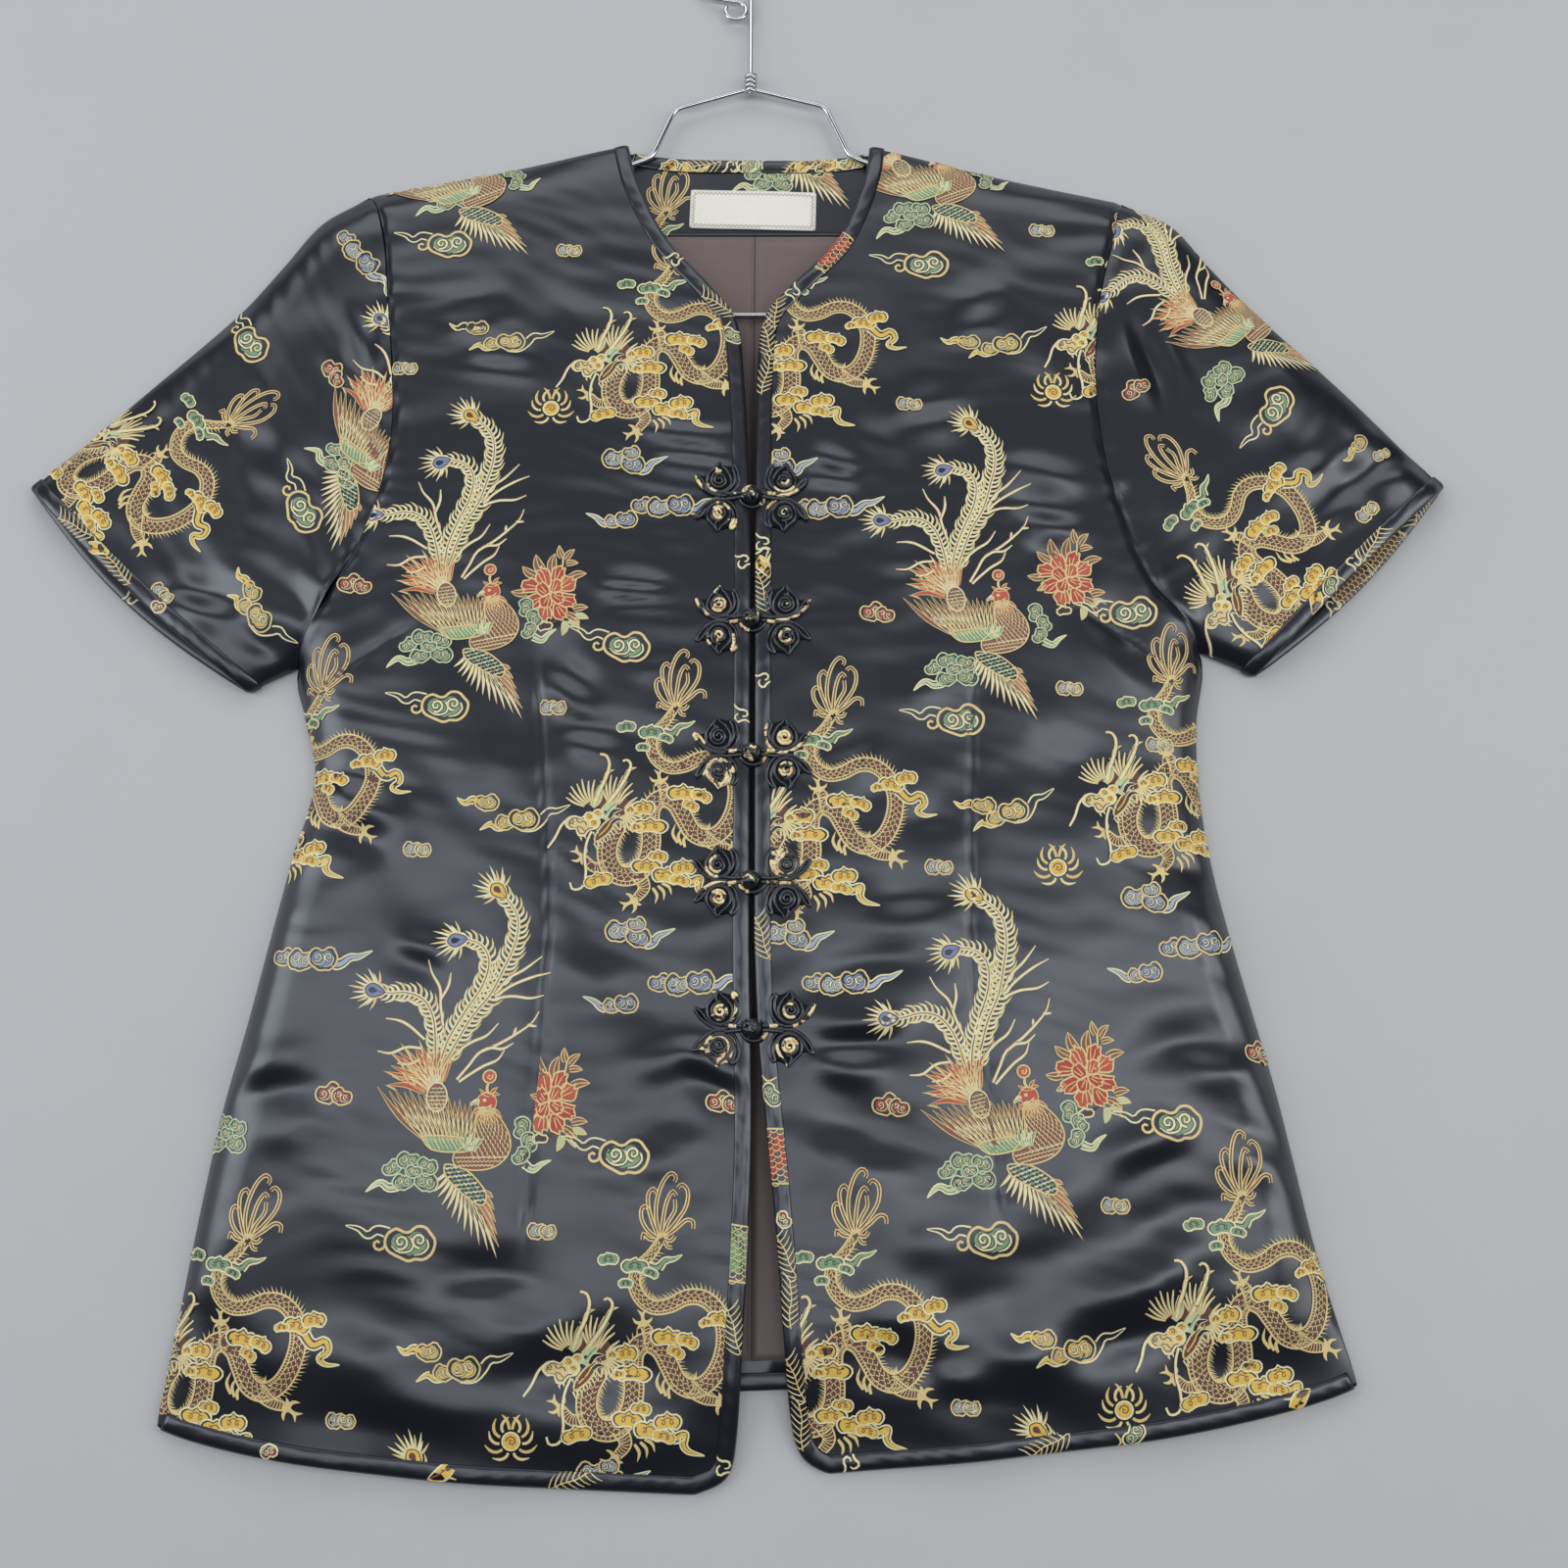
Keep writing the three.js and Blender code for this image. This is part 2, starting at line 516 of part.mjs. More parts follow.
// ---------------------------------------------------------------- sleeves
// One ring of the tube: part runs from the armhole (0) to the inner line of the cuff's binding (1); the cuff itself is part = CUFF.
const CUFF = "cuff";
function sleeveRing(side, part) {
  const cut = armholeSteps.map((_, i) => i / (armholeSteps.length - 1));
  const at = (s, lower) => {
    if (part === CUFF) return sleevePlan(side, 1, s, lower);
    const a = sleevePlan(side, 0, s, lower);
    const b = sleevePlan(side, 1, s, lower);
    return sleevePlan(side, part * (1 - BINDING_WIDTH / Math.hypot(b[0] - a[0], b[1] - a[1])), s, lower);
  };
  const along = part === CUFF ? 1 : part * 0.96;
  const lift = CUFF_LIFT * smooth((along - 0.86) / 0.1);
  const outer = [];
  const inner = [];
  const inset = 0.02;
  for (const s of cut) {
    const t = SHOULDER - s * (SHOULDER - ARMPIT);
    const [x, y] = at(s, false);
    const crown = lerp(crownAt(sidePoint(side, t)[1]), CUFF_HEIGHT, Math.pow(along, 0.8));
    const z = Math.max(clothTop(side, x, y, crown), SEAM_HEIGHT + lift);
    outer.push([x, y, z]);
    const [ix, iy] = at(lerp(inset, 1 - inset, s), false);
    inner.push([ix, iy, Math.max(z - CLOTH, BACK_CLOTH + lift + 0.5)]);
  }
  for (const s of [...cut].reverse()) {
    const [x, y] = at(lerp(0.006, 0.994, s), true);
    outer.push([x, y, lift]);
    const [ix, iy] = at(lerp(inset, 1 - inset, s), true);
    inner.push([ix, iy, BACK_CLOTH + lift]);
  }
  return { outer, inner };
}

function sleeve(side) {
  const skin = new Skin();
  const rings = [...SLEEVE_SECTIONS, CUFF].map((k) => {
    const { outer, inner } = sleeveRing(side, k);
    return { outer: outer.map((q) => skin.point(...q)), inner: inner.map((q) => skin.point(...q)) };
  });
  const m = rings[0].outer.length;
  for (let i = 0; i + 1 < rings.length; i++)
    for (let j = 0; j < m; j++) {
      const k = (j + 1) % m;
      skin.quad(rings[i].outer[j], rings[i].outer[k], rings[i + 1].outer[k], rings[i + 1].outer[j]);
      skin.quad(rings[i].inner[j], rings[i + 1].inner[j], rings[i + 1].inner[k], rings[i].inner[k]);
    }
  for (const [ring, flip] of [
    [rings[0], false],
    [rings[rings.length - 1], true],
  ])
    for (let j = 0; j < m; j++) {
      const k = (j + 1) % m;
      if (flip) skin.quad(ring.outer[j], ring.outer[k], ring.inner[k], ring.inner[j]);
      else skin.quad(ring.outer[j], ring.inner[j], ring.inner[k], ring.outer[k]);
    }
  return skin.geometry();
}

// Binding round the whole cuff: a band outside and a turn over the cut edge.
function cuffBinding(side) {
  const edge = sleeveRing(side, CUFF);
  const back = sleeveRing(side, 1);
  const cut = SLEEVES[side];
  const l = Math.hypot(cut.topX - cut.underX, cut.topY - cut.underY);
  const across = [(cut.underX - cut.topX) / l, (cut.underY - cut.topY) / l];
  const m = edge.outer.length;
  const half = m / 2;
  const t = GAP + BINDING_CLOTH;
  const sections = edge.outer.map((e, j) => {
    const ei = edge.inner[j];
    const b = back.outer[j];
    const run = Math.hypot(e[0] - b[0], e[1] - b[1]);
    const out = [(e[0] - b[0]) / run, (e[1] - b[1]) / run];
    const up = j < half ? 1 : -1;
    const fold = j === 0 || j === m - 1 ? -1 : j === half - 1 || j === half ? 1 : 0;
    const off = (p, k) => [p[0] + across[0] * fold * k, p[1] + across[1] * fold * k, p[2] + up * k];
    const past = (p, k) => [p[0] + out[0] * k, p[1] + out[1] * k, p[2]];
    return [off(b, t), off(past(e, t + 0.3), t), past(ei, t + 0.3), past(ei, GAP + 0.3), off(past(e, GAP + 0.3), GAP), off(b, GAP)];
  });
  return loft(sections, null);
}

// ---------------------------------------------------------------- frog fastenings
// Each half is one sewn-down flower of rolled cord: two rosettes, two leaves and the cord that joins them.
const ROSETTE = { radius: 7.2, crownRadius: 3.4, height: 4.2 };
const FROG_PIECES = [
  { piece: "upper rosette", x: 17.2, y: 8.2, reach: 7.2, wide: 7.0, turn: 0 },
  { piece: "lower rosette", x: 16.6, y: -8.6, reach: 7.2, wide: 7.4, turn: 0 },
  { piece: "leaf", x: 24.2, y: 2.0, reach: 6.6, wide: 2.6, turn: 22 },
];
// Outline of a half as the reach of its pieces from a middle point, in even steps of angle.
function frogHalf(side, y0) {
  const s = outward[side];
  const centre = [18, -0.4];
  const n = 26;
  const reach = (angle) => {
    let best = 2;
    for (const f of FROG_PIECES)
      for (let k = 0; k < 96; k++) {
        const a = (k / 96) * 2 * Math.PI;
        const c = Math.cos((f.turn * Math.PI) / 180);
        const q = Math.sin((f.turn * Math.PI) / 180);
        const ex = f.x + c * Math.cos(a) * f.reach - q * Math.sin(a) * f.wide - centre[0];
        const ey = f.y + q * Math.cos(a) * f.reach + c * Math.sin(a) * f.wide - centre[1];
        const off = Math.atan2(ey, ex) - angle;
        if (Math.abs(Math.atan2(Math.sin(off), Math.cos(off))) < 0.08) best = Math.max(best, Math.hypot(ex, ey));
      }
    return best;
  };
  const skin = new Skin();
  const place = (lx, ly, dz) => {
    const x = s * lx;
    const y = y0 + ly;
    return skin.point(x, y, onFront(side, x, y) + GAP + dz);
  };
  // the inner border stays clear of the front binding
  const rim = Array.from({ length: n }, (_, i) => {
    const angle = (i / n) * 2 * Math.PI;
    const r = reach(angle);
    const ly = centre[1] + Math.sin(angle) * r;
    return [Math.max(9.7 + frogShift(side, y0 + ly) * s, centre[0] + Math.cos(angle) * r), ly];
  });
  const foot = rim.map(([x, y]) => place(x, y, 0));
  const wallTop = rim.map(([x, y]) => place(x, y, 2.4));
  const shoulder = rim.map(([x, y]) => place(lerp(x, centre[0], 0.22), lerp(y, centre[1], 0.22), ROSETTE.height - 0.5));
  const mid = rim.map(([x, y]) => place(lerp(x, centre[0], 0.6), lerp(y, centre[1], 0.6), ROSETTE.height));
  const top = place(centre[0], centre[1], ROSETTE.height - 0.8);
  const base = place(centre[0], centre[1], 0);
  for (let i = 0; i < n; i++) {
    const k = (i + 1) % n;
    skin.triangle(base, foot[k], foot[i]);
    skin.quad(foot[i], foot[k], wallTop[k], wallTop[i]);
    skin.quad(wallTop[i], wallTop[k], shoulder[k], shoulder[i]);
    skin.quad(shoulder[i], shoulder[k], mid[k], mid[i]);
    skin.triangle(mid[i], mid[k], top);
  }
  return skin.geometry();
}
// Height of a front's top surface under a point, from its own facets.
function onFront(side, x, y) {
  return surfaceOf(grids[side], x, y);
}
function surfaceOf(grid, x, y) {
  const area = (a, b, c) => (b[0] - a[0]) * (c[1] - a[1]) - (c[0] - a[0]) * (b[1] - a[1]);
  let best = [Infinity, 0];
  for (let i = 0; i + 1 < grid.length; i++)
    for (let j = 0; j + 1 < grid[0].length; j++)
      for (const [a, b, c] of [
        [grid[i][j], grid[i + 1][j], grid[i + 1][j + 1]],
        [grid[i][j], grid[i + 1][j + 1], grid[i][j + 1]],
      ]) {
        const whole = area(a, b, c);
        const p = [x, y];
        const u = area(p, b, c) / whole;
        const v = area(a, p, c) / whole;
        const w = 1 - u - v;
        const miss = Math.max(0, -u, -v, -w);
        if (miss < best[0]) best = [miss, u * a[2] + v * b[2] + w * c[2]];
      }
  return best[1];
}
// The front edges part below the fifth frog; a half moves out with its edge.
function frogShift(side, y) {
  let t = 0;
  while (edgePoint(side, t)[1] < y) t += 0.05;
  return edgePoint(side, t)[0] - 1.8 * outward[side];
}

// The knot button in its loop: an oval bead with a cord neck on each side, over both bindings.
const KNOT = { reachX: 8.6, reachY: 3.4, neck: 1.5, height: 5.4 };
function frogKnot(y0) {
  const sections = [];
  const n = 10;
  for (let i = 0; i <= n; i++) {
    const x = lerp(-KNOT.reachX, KNOT.reachX, i / n);
    const bead = Math.sqrt(Math.max(0, 1 - Math.pow(x / 4.6, 2)));
    const wide = KNOT.neck + (KNOT.reachY - KNOT.neck) * bead;
    const tall = 2.4 + (KNOT.height - 2.4) * bead;
    const floor =
      Math.max(onFront("right", Math.min(x, -1.8), y0), onFront("left", Math.max(x, 1.8), y0)) +
      2 * GAP +
      BINDING_CLOTH;
    sections.push(
      Array.from({ length: 8 }, (_, k) => {
        const a = (k / 8) * 2 * Math.PI;
        return [x, y0 + Math.cos(a) * wide, floor + (tall / 2) * (1 + Math.sin(a))];
      }),
    );
  }
  return loft(sections, [
    [0, 1, 2, 3],
    [0, 3, 4, 5],
    [0, 5, 6, 7],
  ]);
}

// ---------------------------------------------------------------- hanger
// A round wire along a path of points.
function wire(path, diameter, sides = 8) {
  const n = path.length;
  const up = new THREE.Vector3(0, 0, 1);
  const sections = path.map((p, i) => {
    const a = path[Math.max(0, i - 1)];
    const b = path[Math.min(n - 1, i + 1)];
    const tangent = new THREE.Vector3(b[0] - a[0], b[1] - a[1], b[2] - a[2]).normalize();
    const across = new THREE.Vector3().crossVectors(up, tangent).normalize();
    const over = new THREE.Vector3().crossVectors(tangent, across).normalize();
    return Array.from({ length: sides }, (_, k) => {
      const f = ((k + 0.5) / sides) * 2 * Math.PI;
      const c = (Math.cos(f) * diameter) / 2;
      const s = (Math.sin(f) * diameter) / 2;
      return [p[0] + across.x * c + over.x * s, p[1] + across.y * c + over.y * s, p[2] + across.z * c + over.z * s];
    });
  });
  return loft(sections, [
    [0, 1, 2, 3],
    [0, 3, 4, 7],
    [4, 5, 6, 7],
  ]);
}
const tiltZ = (y) =>
  lerp(HANGER_TILT.lowZ, HANGER_TILT.highZ, (y - HANGER_TILT.lowY) / (HANGER_TILT.highY - HANGER_TILT.lowY));

function bentPath(bends) {
  const path = [];
  bends.forEach((b, i) => {
    if (!b.radius) {
      path.push([b.x, b.y]);
      return;
    }
    const a = bends[i - 1];
    const c = bends[i + 1];
    const to = (p) => {
      const l = Math.hypot(p.x - b.x, p.y - b.y);
      return [(p.x - b.x) / l, (p.y - b.y) / l];
    };
    const u = to(a);
    const v = to(c);
    for (const f of [0, 0.25, 0.5, 0.75, 1]) {
      const p = [lerp(b.x + u[0] * b.radius, b.x, f), lerp(b.y + u[1] * b.radius, b.y, f)];
      const q = [lerp(b.x, b.x + v[0] * b.radius, f), lerp(b.y, b.y + v[1] * b.radius, f)];
      path.push([lerp(p[0], q[0], f), lerp(p[1], q[1], f)]);
    }
  });
  return path.map(([x, y]) => [x, y, tiltZ(y)]);
}

function hookPath() {
  const z0 = tiltZ(COLLAR.fromY);
  const zAt = (y) => lerp(z0, HOOK.topZ, clamp((y - COLLAR.toY) / (HOOK.stemY - COLLAR.toY), 0, 1));
  const path = [];
  for (const y of [COLLAR.fromY - 1.5, COLLAR.toY, 410, HOOK.stemY]) path.push([STEM_X, y]);
  const cx = STEM_X - HOOK.radius;
  for (let i = 1; i <= 10; i++) {
    const a = (i / 10) * Math.PI * 1.12;
    path.push([cx + Math.cos(a) * HOOK.radius, HOOK.stemY + Math.sin(a) * HOOK.radius]);
  }
  const top = [HOOK.ringX, HOOK.ringY + HOOK.ringRadius];
  path.push([cx - 6.5, top[1] + 2.4]);
  for (let i = 0; i <= 15; i++) {
    const a = Math.PI / 2 - (i / 18) * 2 * Math.PI;
    path.push([HOOK.ringX + Math.cos(a) * HOOK.ringRadius, HOOK.ringY + Math.sin(a) * HOOK.ringRadius]);
  }
  return path.map(([x, y]) => [x, y, zAt(y)]);
}

// The collar of tight turns that ties both ends of the frame's wire round the stem.
function collar() {
  const { fromY, toY, inner, outer } = COLLAR;
  const turns = 4;
  const profile = [new THREE.Vector2(inner, fromY), new THREE.Vector2(outer - 0.5, fromY)];
  for (let i = 0; i < turns; i++) {
    const y = lerp(fromY, toY, (i + 0.5) / turns);
    profile.push(new THREE.Vector2(outer, y));
    if (i < turns - 1) profile.push(new THREE.Vector2(outer - 0.6, lerp(fromY, toY, (i + 1) / turns)));
  }
  profile.push(new THREE.Vector2(outer - 0.5, toY), new THREE.Vector2(inner, toY), new THREE.Vector2(inner, fromY));
  const g = new THREE.LatheGeometry(profile, 16);
  g.translate(STEM_X, 0, tiltZ(fromY));
  return g;
}

// ---------------------------------------------------------------- the object
const finish = {
  brocade: new THREE.MeshStandardMaterial({ color: 0x1b1d26, roughness: 0.42, metalness: 0.0 }),
  lining: new THREE.MeshStandardMaterial({ color: 0x4a4042, roughness: 0.62, metalness: 0.0 }),
  label: new THREE.MeshStandardMaterial({ color: 0xe4e2da, roughness: 0.8, metalness: 0.0 }),
  cord: new THREE.MeshStandardMaterial({ color: 0x16171d, roughness: 0.45, metalness: 0.0 }),
  steel: new THREE.MeshStandardMaterial({ color: 0xb9bcc0, roughness: 0.28, metalness: 1.0 }),
};

const garment = new THREE.Group();
function put(name, geometry, material) {
  const mesh = new THREE.Mesh(geometry, material);
  mesh.name = name;
  garment.add(mesh);
  return mesh;
}

const grids = { right: frontGrid("right"), left: frontGrid("left") };

put("back_panel", plate(backOutline(INSET), 0, BACK_CLOTH), finish.brocade);
put("lining_right", plate(liningOutline("right"), BACK_CLOTH + GAP, LINING_CLOTH), finish.lining);
put("lining_left", plate(liningOutline("left"), BACK_CLOTH + GAP, LINING_CLOTH), finish.lining);
put("neck_facing", plate(facingOutline(), BACK_CLOTH + GAP, LINING_CLOTH), finish.brocade);

const label = put(
  "neck_label",
  new THREE.BoxGeometry(LABEL.width, LABEL.height, LABEL.thick),
  finish.label,
);
label.position.set(LABEL.x, LABEL.y, BACK_CLOTH + 2 * GAP + LINING_CLOTH + LABEL.thick / 2);
label.rotation.z = (LABEL.turn * Math.PI) / 180;

const layers = BACK_CLOTH + GAP + LINING_CLOTH;
put(
  "binding_back_neck",
  bindingOver(
    withNormals(
      neckSteps.slice(1, -1).map((f) => {
        const [x, y] = backNeck(f);
        return { edge: [x, y, layers], inner: [x, y - BINDING_WIDTH, layers], foot: 0 };
      }),
      -1,
    ),
    0,
  ),
  finish.brocade,
);
put(
  "binding_back_hem",
  bindingOver(
    withNormals(
      hemXs.slice(1, -1).map((x) => ({
        edge: [x, backHemY(x), BACK_CLOTH],
        inner: [x, backHemY(x) + BINDING_WIDTH, BACK_CLOTH],
        foot: 0,
      })),
      1,
    ),
    0,
  ),
  finish.brocade,
);

for (const side of ["right", "left"]) {
  const grid = grids[side];
  put("front_" + side, wall(grid, grid.map((row) => row.map((q) => raise(q, -CLOTH)))), finish.brocade);
  put("binding_front_" + side, frontBinding(side, grid), finish.brocade);
  put("sleeve_" + side, sleeve(side), finish.brocade);
  put("binding_cuff_" + side, cuffBinding(side), finish.brocade);
}

FROG_PITCH_ROWS.forEach(({ y }, i) => {
  for (const side of ["right", "left"]) put(`frog_${i + 1}_${side}`, frogHalf(side, y), finish.cord);
  put(`frog_${i + 1}_knot`, frogKnot(y), finish.cord);
});

put("hanger_frame", wire(bentPath(HANGER_BENDS), WIRE), finish.steel);
put("hanger_collar", collar(), finish.steel);
put("hanger_hook", wire(hookPath(), STEM_WIRE), finish.steel);

// The origin is the middle of the space the whole object takes, on the plane it lies on.
garment.updateMatrixWorld(true);
const space = new THREE.Box3().setFromObject(garment);
const middle = space.getCenter(new THREE.Vector3());
garment.position.set(-middle.x, -middle.y, -space.min.z);

export default garment;
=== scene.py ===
# A short-sleeved brocade qipao top laid out flat on a wire hanger: cloth, woven motifs, bindings and frog fastenings.
import math

import bpy
import numpy as np
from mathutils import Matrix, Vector, geometry
from mathutils.bvhtree import BVHTree


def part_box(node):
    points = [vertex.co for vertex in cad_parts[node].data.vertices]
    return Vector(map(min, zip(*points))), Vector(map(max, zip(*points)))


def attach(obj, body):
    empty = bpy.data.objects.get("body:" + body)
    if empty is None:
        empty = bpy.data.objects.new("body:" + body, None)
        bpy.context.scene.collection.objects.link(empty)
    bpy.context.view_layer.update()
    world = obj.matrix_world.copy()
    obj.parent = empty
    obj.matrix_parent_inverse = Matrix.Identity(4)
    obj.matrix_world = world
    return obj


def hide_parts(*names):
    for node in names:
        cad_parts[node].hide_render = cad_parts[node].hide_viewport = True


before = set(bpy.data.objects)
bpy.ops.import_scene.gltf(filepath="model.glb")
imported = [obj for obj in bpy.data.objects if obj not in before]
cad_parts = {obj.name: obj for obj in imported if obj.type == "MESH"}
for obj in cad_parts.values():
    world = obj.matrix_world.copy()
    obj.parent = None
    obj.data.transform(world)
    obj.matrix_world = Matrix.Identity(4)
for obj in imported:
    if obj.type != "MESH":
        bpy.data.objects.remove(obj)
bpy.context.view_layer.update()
MM = 0.001

# ------------------------------------------------------------------ sizes, as in the CAD model (mm)
CLOTH = 1.2            # wall of the padded satin
SEAM_HEIGHT = 3.2
ROUND_OFF = 24.0
ROUND_POWER = 2.2
HEM_RISE = 78.0
HEM_BULGE = 7.5
CUFF_HEIGHT = 11.5
BINDING_WIDTH = 7.0
CUFF_LIFT = 1.1
NECK_LIFT = 4.6
NECK_LIFT_REACH = 45.0
FACING_SEAM_Y = 288.5
BACK_NECK_DIP = 5.0
LABEL = dict(width=65.0, height=22.0, x=-1.0, y=303.0, turn=-1.6)
FROG_ROWS = (139.5, 77.0, 11.5, -49.0, -116.5)

label_lo, label_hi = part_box("neck_label")
OX = (label_lo[0] + label_hi[0]) / 2 / MM - LABEL["x"]
OY = (label_lo[1] + label_hi[1]) / 2 / MM - LABEL["y"]

# side = side seam, then armhole; edge = front edge, then neckline; hem first, shoulder last
SECTIONS = np.array([
    # right side x, y, right edge x, y, left edge x, y, left side x, y
    (-258, -288, -24, -315.5, 34, -307, 266, -271),
    (-257.6, -281, -10.5, -309, 23.5, -300.5, 264.5, -264),
    (-255, -262, -6.2, -292, 18.6, -285, 260, -247),
    (-250.5, -225, -3.8, -252, 15.2, -246, 252, -213),
    (-245.5, -188, -1.6, -210, 12.2, -206, 245.5, -178),
    (-239.5, -150, -0.2, -168, 8.4, -166, 239, -144),
    (-231.5, -113, -0.6, -127, 4.4, -126, 231, -110),
    (-224, -75, -1.4, -86, 2.3, -86, 223, -76),
    (-216.5, -38, -1.7, -45, 1.9, -45, 216, -41),
    (-208, 0, -1.8, -3, 1.8, -3, 212, -5),
    (-213.5, 28, -1.8, 38, 1.8, 38, 212.5, 28),
    (-219.5, 56.5, -1.8, 80, 1.8, 80, 216, 64.5),
    (-204, 89, -2.0, 120, 1.8, 120, 191.5, 96),
    (-187, 126, -3.2, 158, 1.9, 158, 180, 128),
    (-178, 165, -5.2, 197, 2.4, 197, 171.3, 165),
    (-179, 205, -9.2, 233, 5.6, 234, 169, 205),
    (-183.4, 244, -22.6, 253, 19, 253, 173, 245),
    (-187.5, 279, -45, 280, 42.5, 279, 181, 278),
    (-193.5, 302, -60.4, 313, 56.4, 313, 186.5, 300),
    (-199, 310.5, -66.2, 337, 60, 336, 189, 306.5),
], float)
ARMPIT, SHOULDER = 11, 19
COLUMN = {"right": dict(side=(0, 1), edge=(2, 3)), "left": dict(side=(6, 7), edge=(4, 5))}
OUT = {"right": -1.0, "left": 1.0}

CROWN = np.array([(-320, 10), (-240, 14), (-160, 16.5), (-60, 17), (20, 16), (110, 17.5), (200, 17), (260, 14.5), (305, 12.5), (345, 11.5)], float)
HEM_WAVES = np.array([(-258, 3.4), (-244, 5.4), (-205, 7.6), (-165, 5.6), (-125, 7.4), (-85, 4.6), (-48, 3.0), (-14, 2.2), (22, 2.2), (56, 3.2), (96, 6.6), (132, 4.8), (176, 7.8), (222, 6.4), (252, 5.2), (267, 3.4)], float)
SLEEVE_TOP = np.array([(0, 0, 0), (0.12, 6, 9), (0.25, 2, 6), (0.4, -2, 3.6), (0.7, -1, 3), (1, 0, 0)], float)
SLEEVES = {
    "right": dict(top=(-357, 149), under=(-243, 45), upper=3.0, lower=8.5),
    "left": dict(top=(341, 150), under=(242, 53), upper=-1.5, lower=6.0),
}
BACK_HEM = dict(right=(-256, -286), mid=-273.0, left=(264, -269.5))
HANGER_BENDS = ((1.2, 371, 0), (36.5, 361.5, 4), (49, 332.5, 4), (172, 283, 12), (155, 243, 10), (-160, 243, 10), (-178, 283, 12), (-53.5, 332, 4), (-42, 360, 4), (-6.2, 371, 0))
HANGER_TILT = (243.0, 4.1, 330.0, 5.1)
STEM_X = -2.5
COLLAR = dict(fromY=368.5, toY=382.0)
HOOK = dict(stemY=440.0, radius=15.0, ringX=-10.6, ringY=421.0, ringRadius=5.6, topZ=2.2)


# ------------------------------------------------------------------ plan
def by_row(values, t):
    v = np.asarray(values, float)
    n = len(v) - 1
    t = np.asarray(t, float)
    i = np.clip(np.floor(t).astype(int), 0, n - 1)
    f = t - i
    g = lambda k: v[np.clip(k, 0, n)]
    m0 = (g(i + 1) - g(i - 1)) / 2
    m1 = (g(i + 2) - g(i)) / 2
    f2, f3 = f * f, f * f * f
    return (2 * f3 - 3 * f2 + 1) * g(i) + (f3 - 2 * f2 + f) * m0 + (-2 * f3 + 3 * f2) * g(i + 1) + (f3 - f2) * m1


def by_key(keys, values, x):
    x = np.clip(np.asarray(x, float), keys[0], keys[-1])
    i = np.clip(np.searchsorted(keys, x, side="right") - 1, 0, len(keys) - 2)
    f = (x - keys[i]) / (keys[i + 1] - keys[i])
    return by_row(values, i + np.clip(f, 0, 1 - 1e-9))


def smooth(t):
    c = np.clip(t, 0, 1)
    return c * c * (3 - 2 * c)


def lerp(a, b, t):
    return a + (b - a) * t


def side_point(side, t):
    c = COLUMN[side]["side"]
    return np.stack([by_row(SECTIONS[:, c[0]], t), by_row(SECTIONS[:, c[1]], t)], -1)


def edge_point(side, t):
    c = COLUMN[side]["edge"]
    return np.stack([by_row(SECTIONS[:, c[0]], t), by_row(SECTIONS[:, c[1]], t)], -1)


def armhole_normal(side, t):
    a = side_point(side, np.maximum(ARMPIT, t - 0.25))
    b = side_point(side, np.minimum(SHOULDER, t + 0.25))
    d = b - a
    l = np.hypot(d[..., 0], d[..., 1])
    return np.stack([OUT[side] * d[..., 1] / l, -OUT[side] * d[..., 0] / l], -1)


def sleeve_plan(side, along, across, lower=False):
    """across runs from the top fold (0) to the underarm fold (1), along from the armhole (0) to the cuff (1)."""
    along, across = np.broadcast_arrays(np.asarray(along, float), np.asarray(across, float))
    cut = SLEEVES[side]
    t = SHOULDER - across * (SHOULDER - ARMPIT)
    start = side_point(side, t) + armhole_normal(side, t) * 0.35
    top, under = np.array(cut["top"], float), np.array(cut["under"], float)
    c = under - top
    cl = np.hypot(*c)
    bulge = (cut["lower"] if lower else cut["upper"]) * np.sin(np.pi * across)
    end = top + (under - top) * across[..., None] + OUT[side] * bulge[..., None] * np.array([-c[1], c[0]]) / cl
    root = SECTIONS[SHOULDER, list(COLUMN[side]["side"])]
    f = top - root
    fl = np.hypot(*f)
    stand = by_key(SLEEVE_TOP[:, 0], SLEEVE_TOP[:, 1 if side == "right" else 2], along) * (1 - across) ** 5
    return start + (end - start) * along[..., None] + OUT[side] * stand[..., None] * np.array([-f[1], f[0]]) / fl


def segments_of(lines):
    return np.concatenate([np.hstack([l[:-1], l[1:]]) for l in lines])


def distance_to(segs, x, y):
    """Distance from each point to the nearest of the segments."""
    shape = np.shape(x)
    x, y = np.ravel(x), np.ravel(y)
    best = np.full(x.shape, 1e9)
    for ax, ay, bx, by in segs:
        dx, dy = bx - ax, by - ay
        f = np.clip(((x - ax) * dx + (y - ay) * dy) / (dx * dx + dy * dy), 0, 1)
        best = np.minimum(best, (x - ax - f * dx) ** 2 + (y - ay - f * dy) ** 2)
    return np.sqrt(best).reshape(shape)


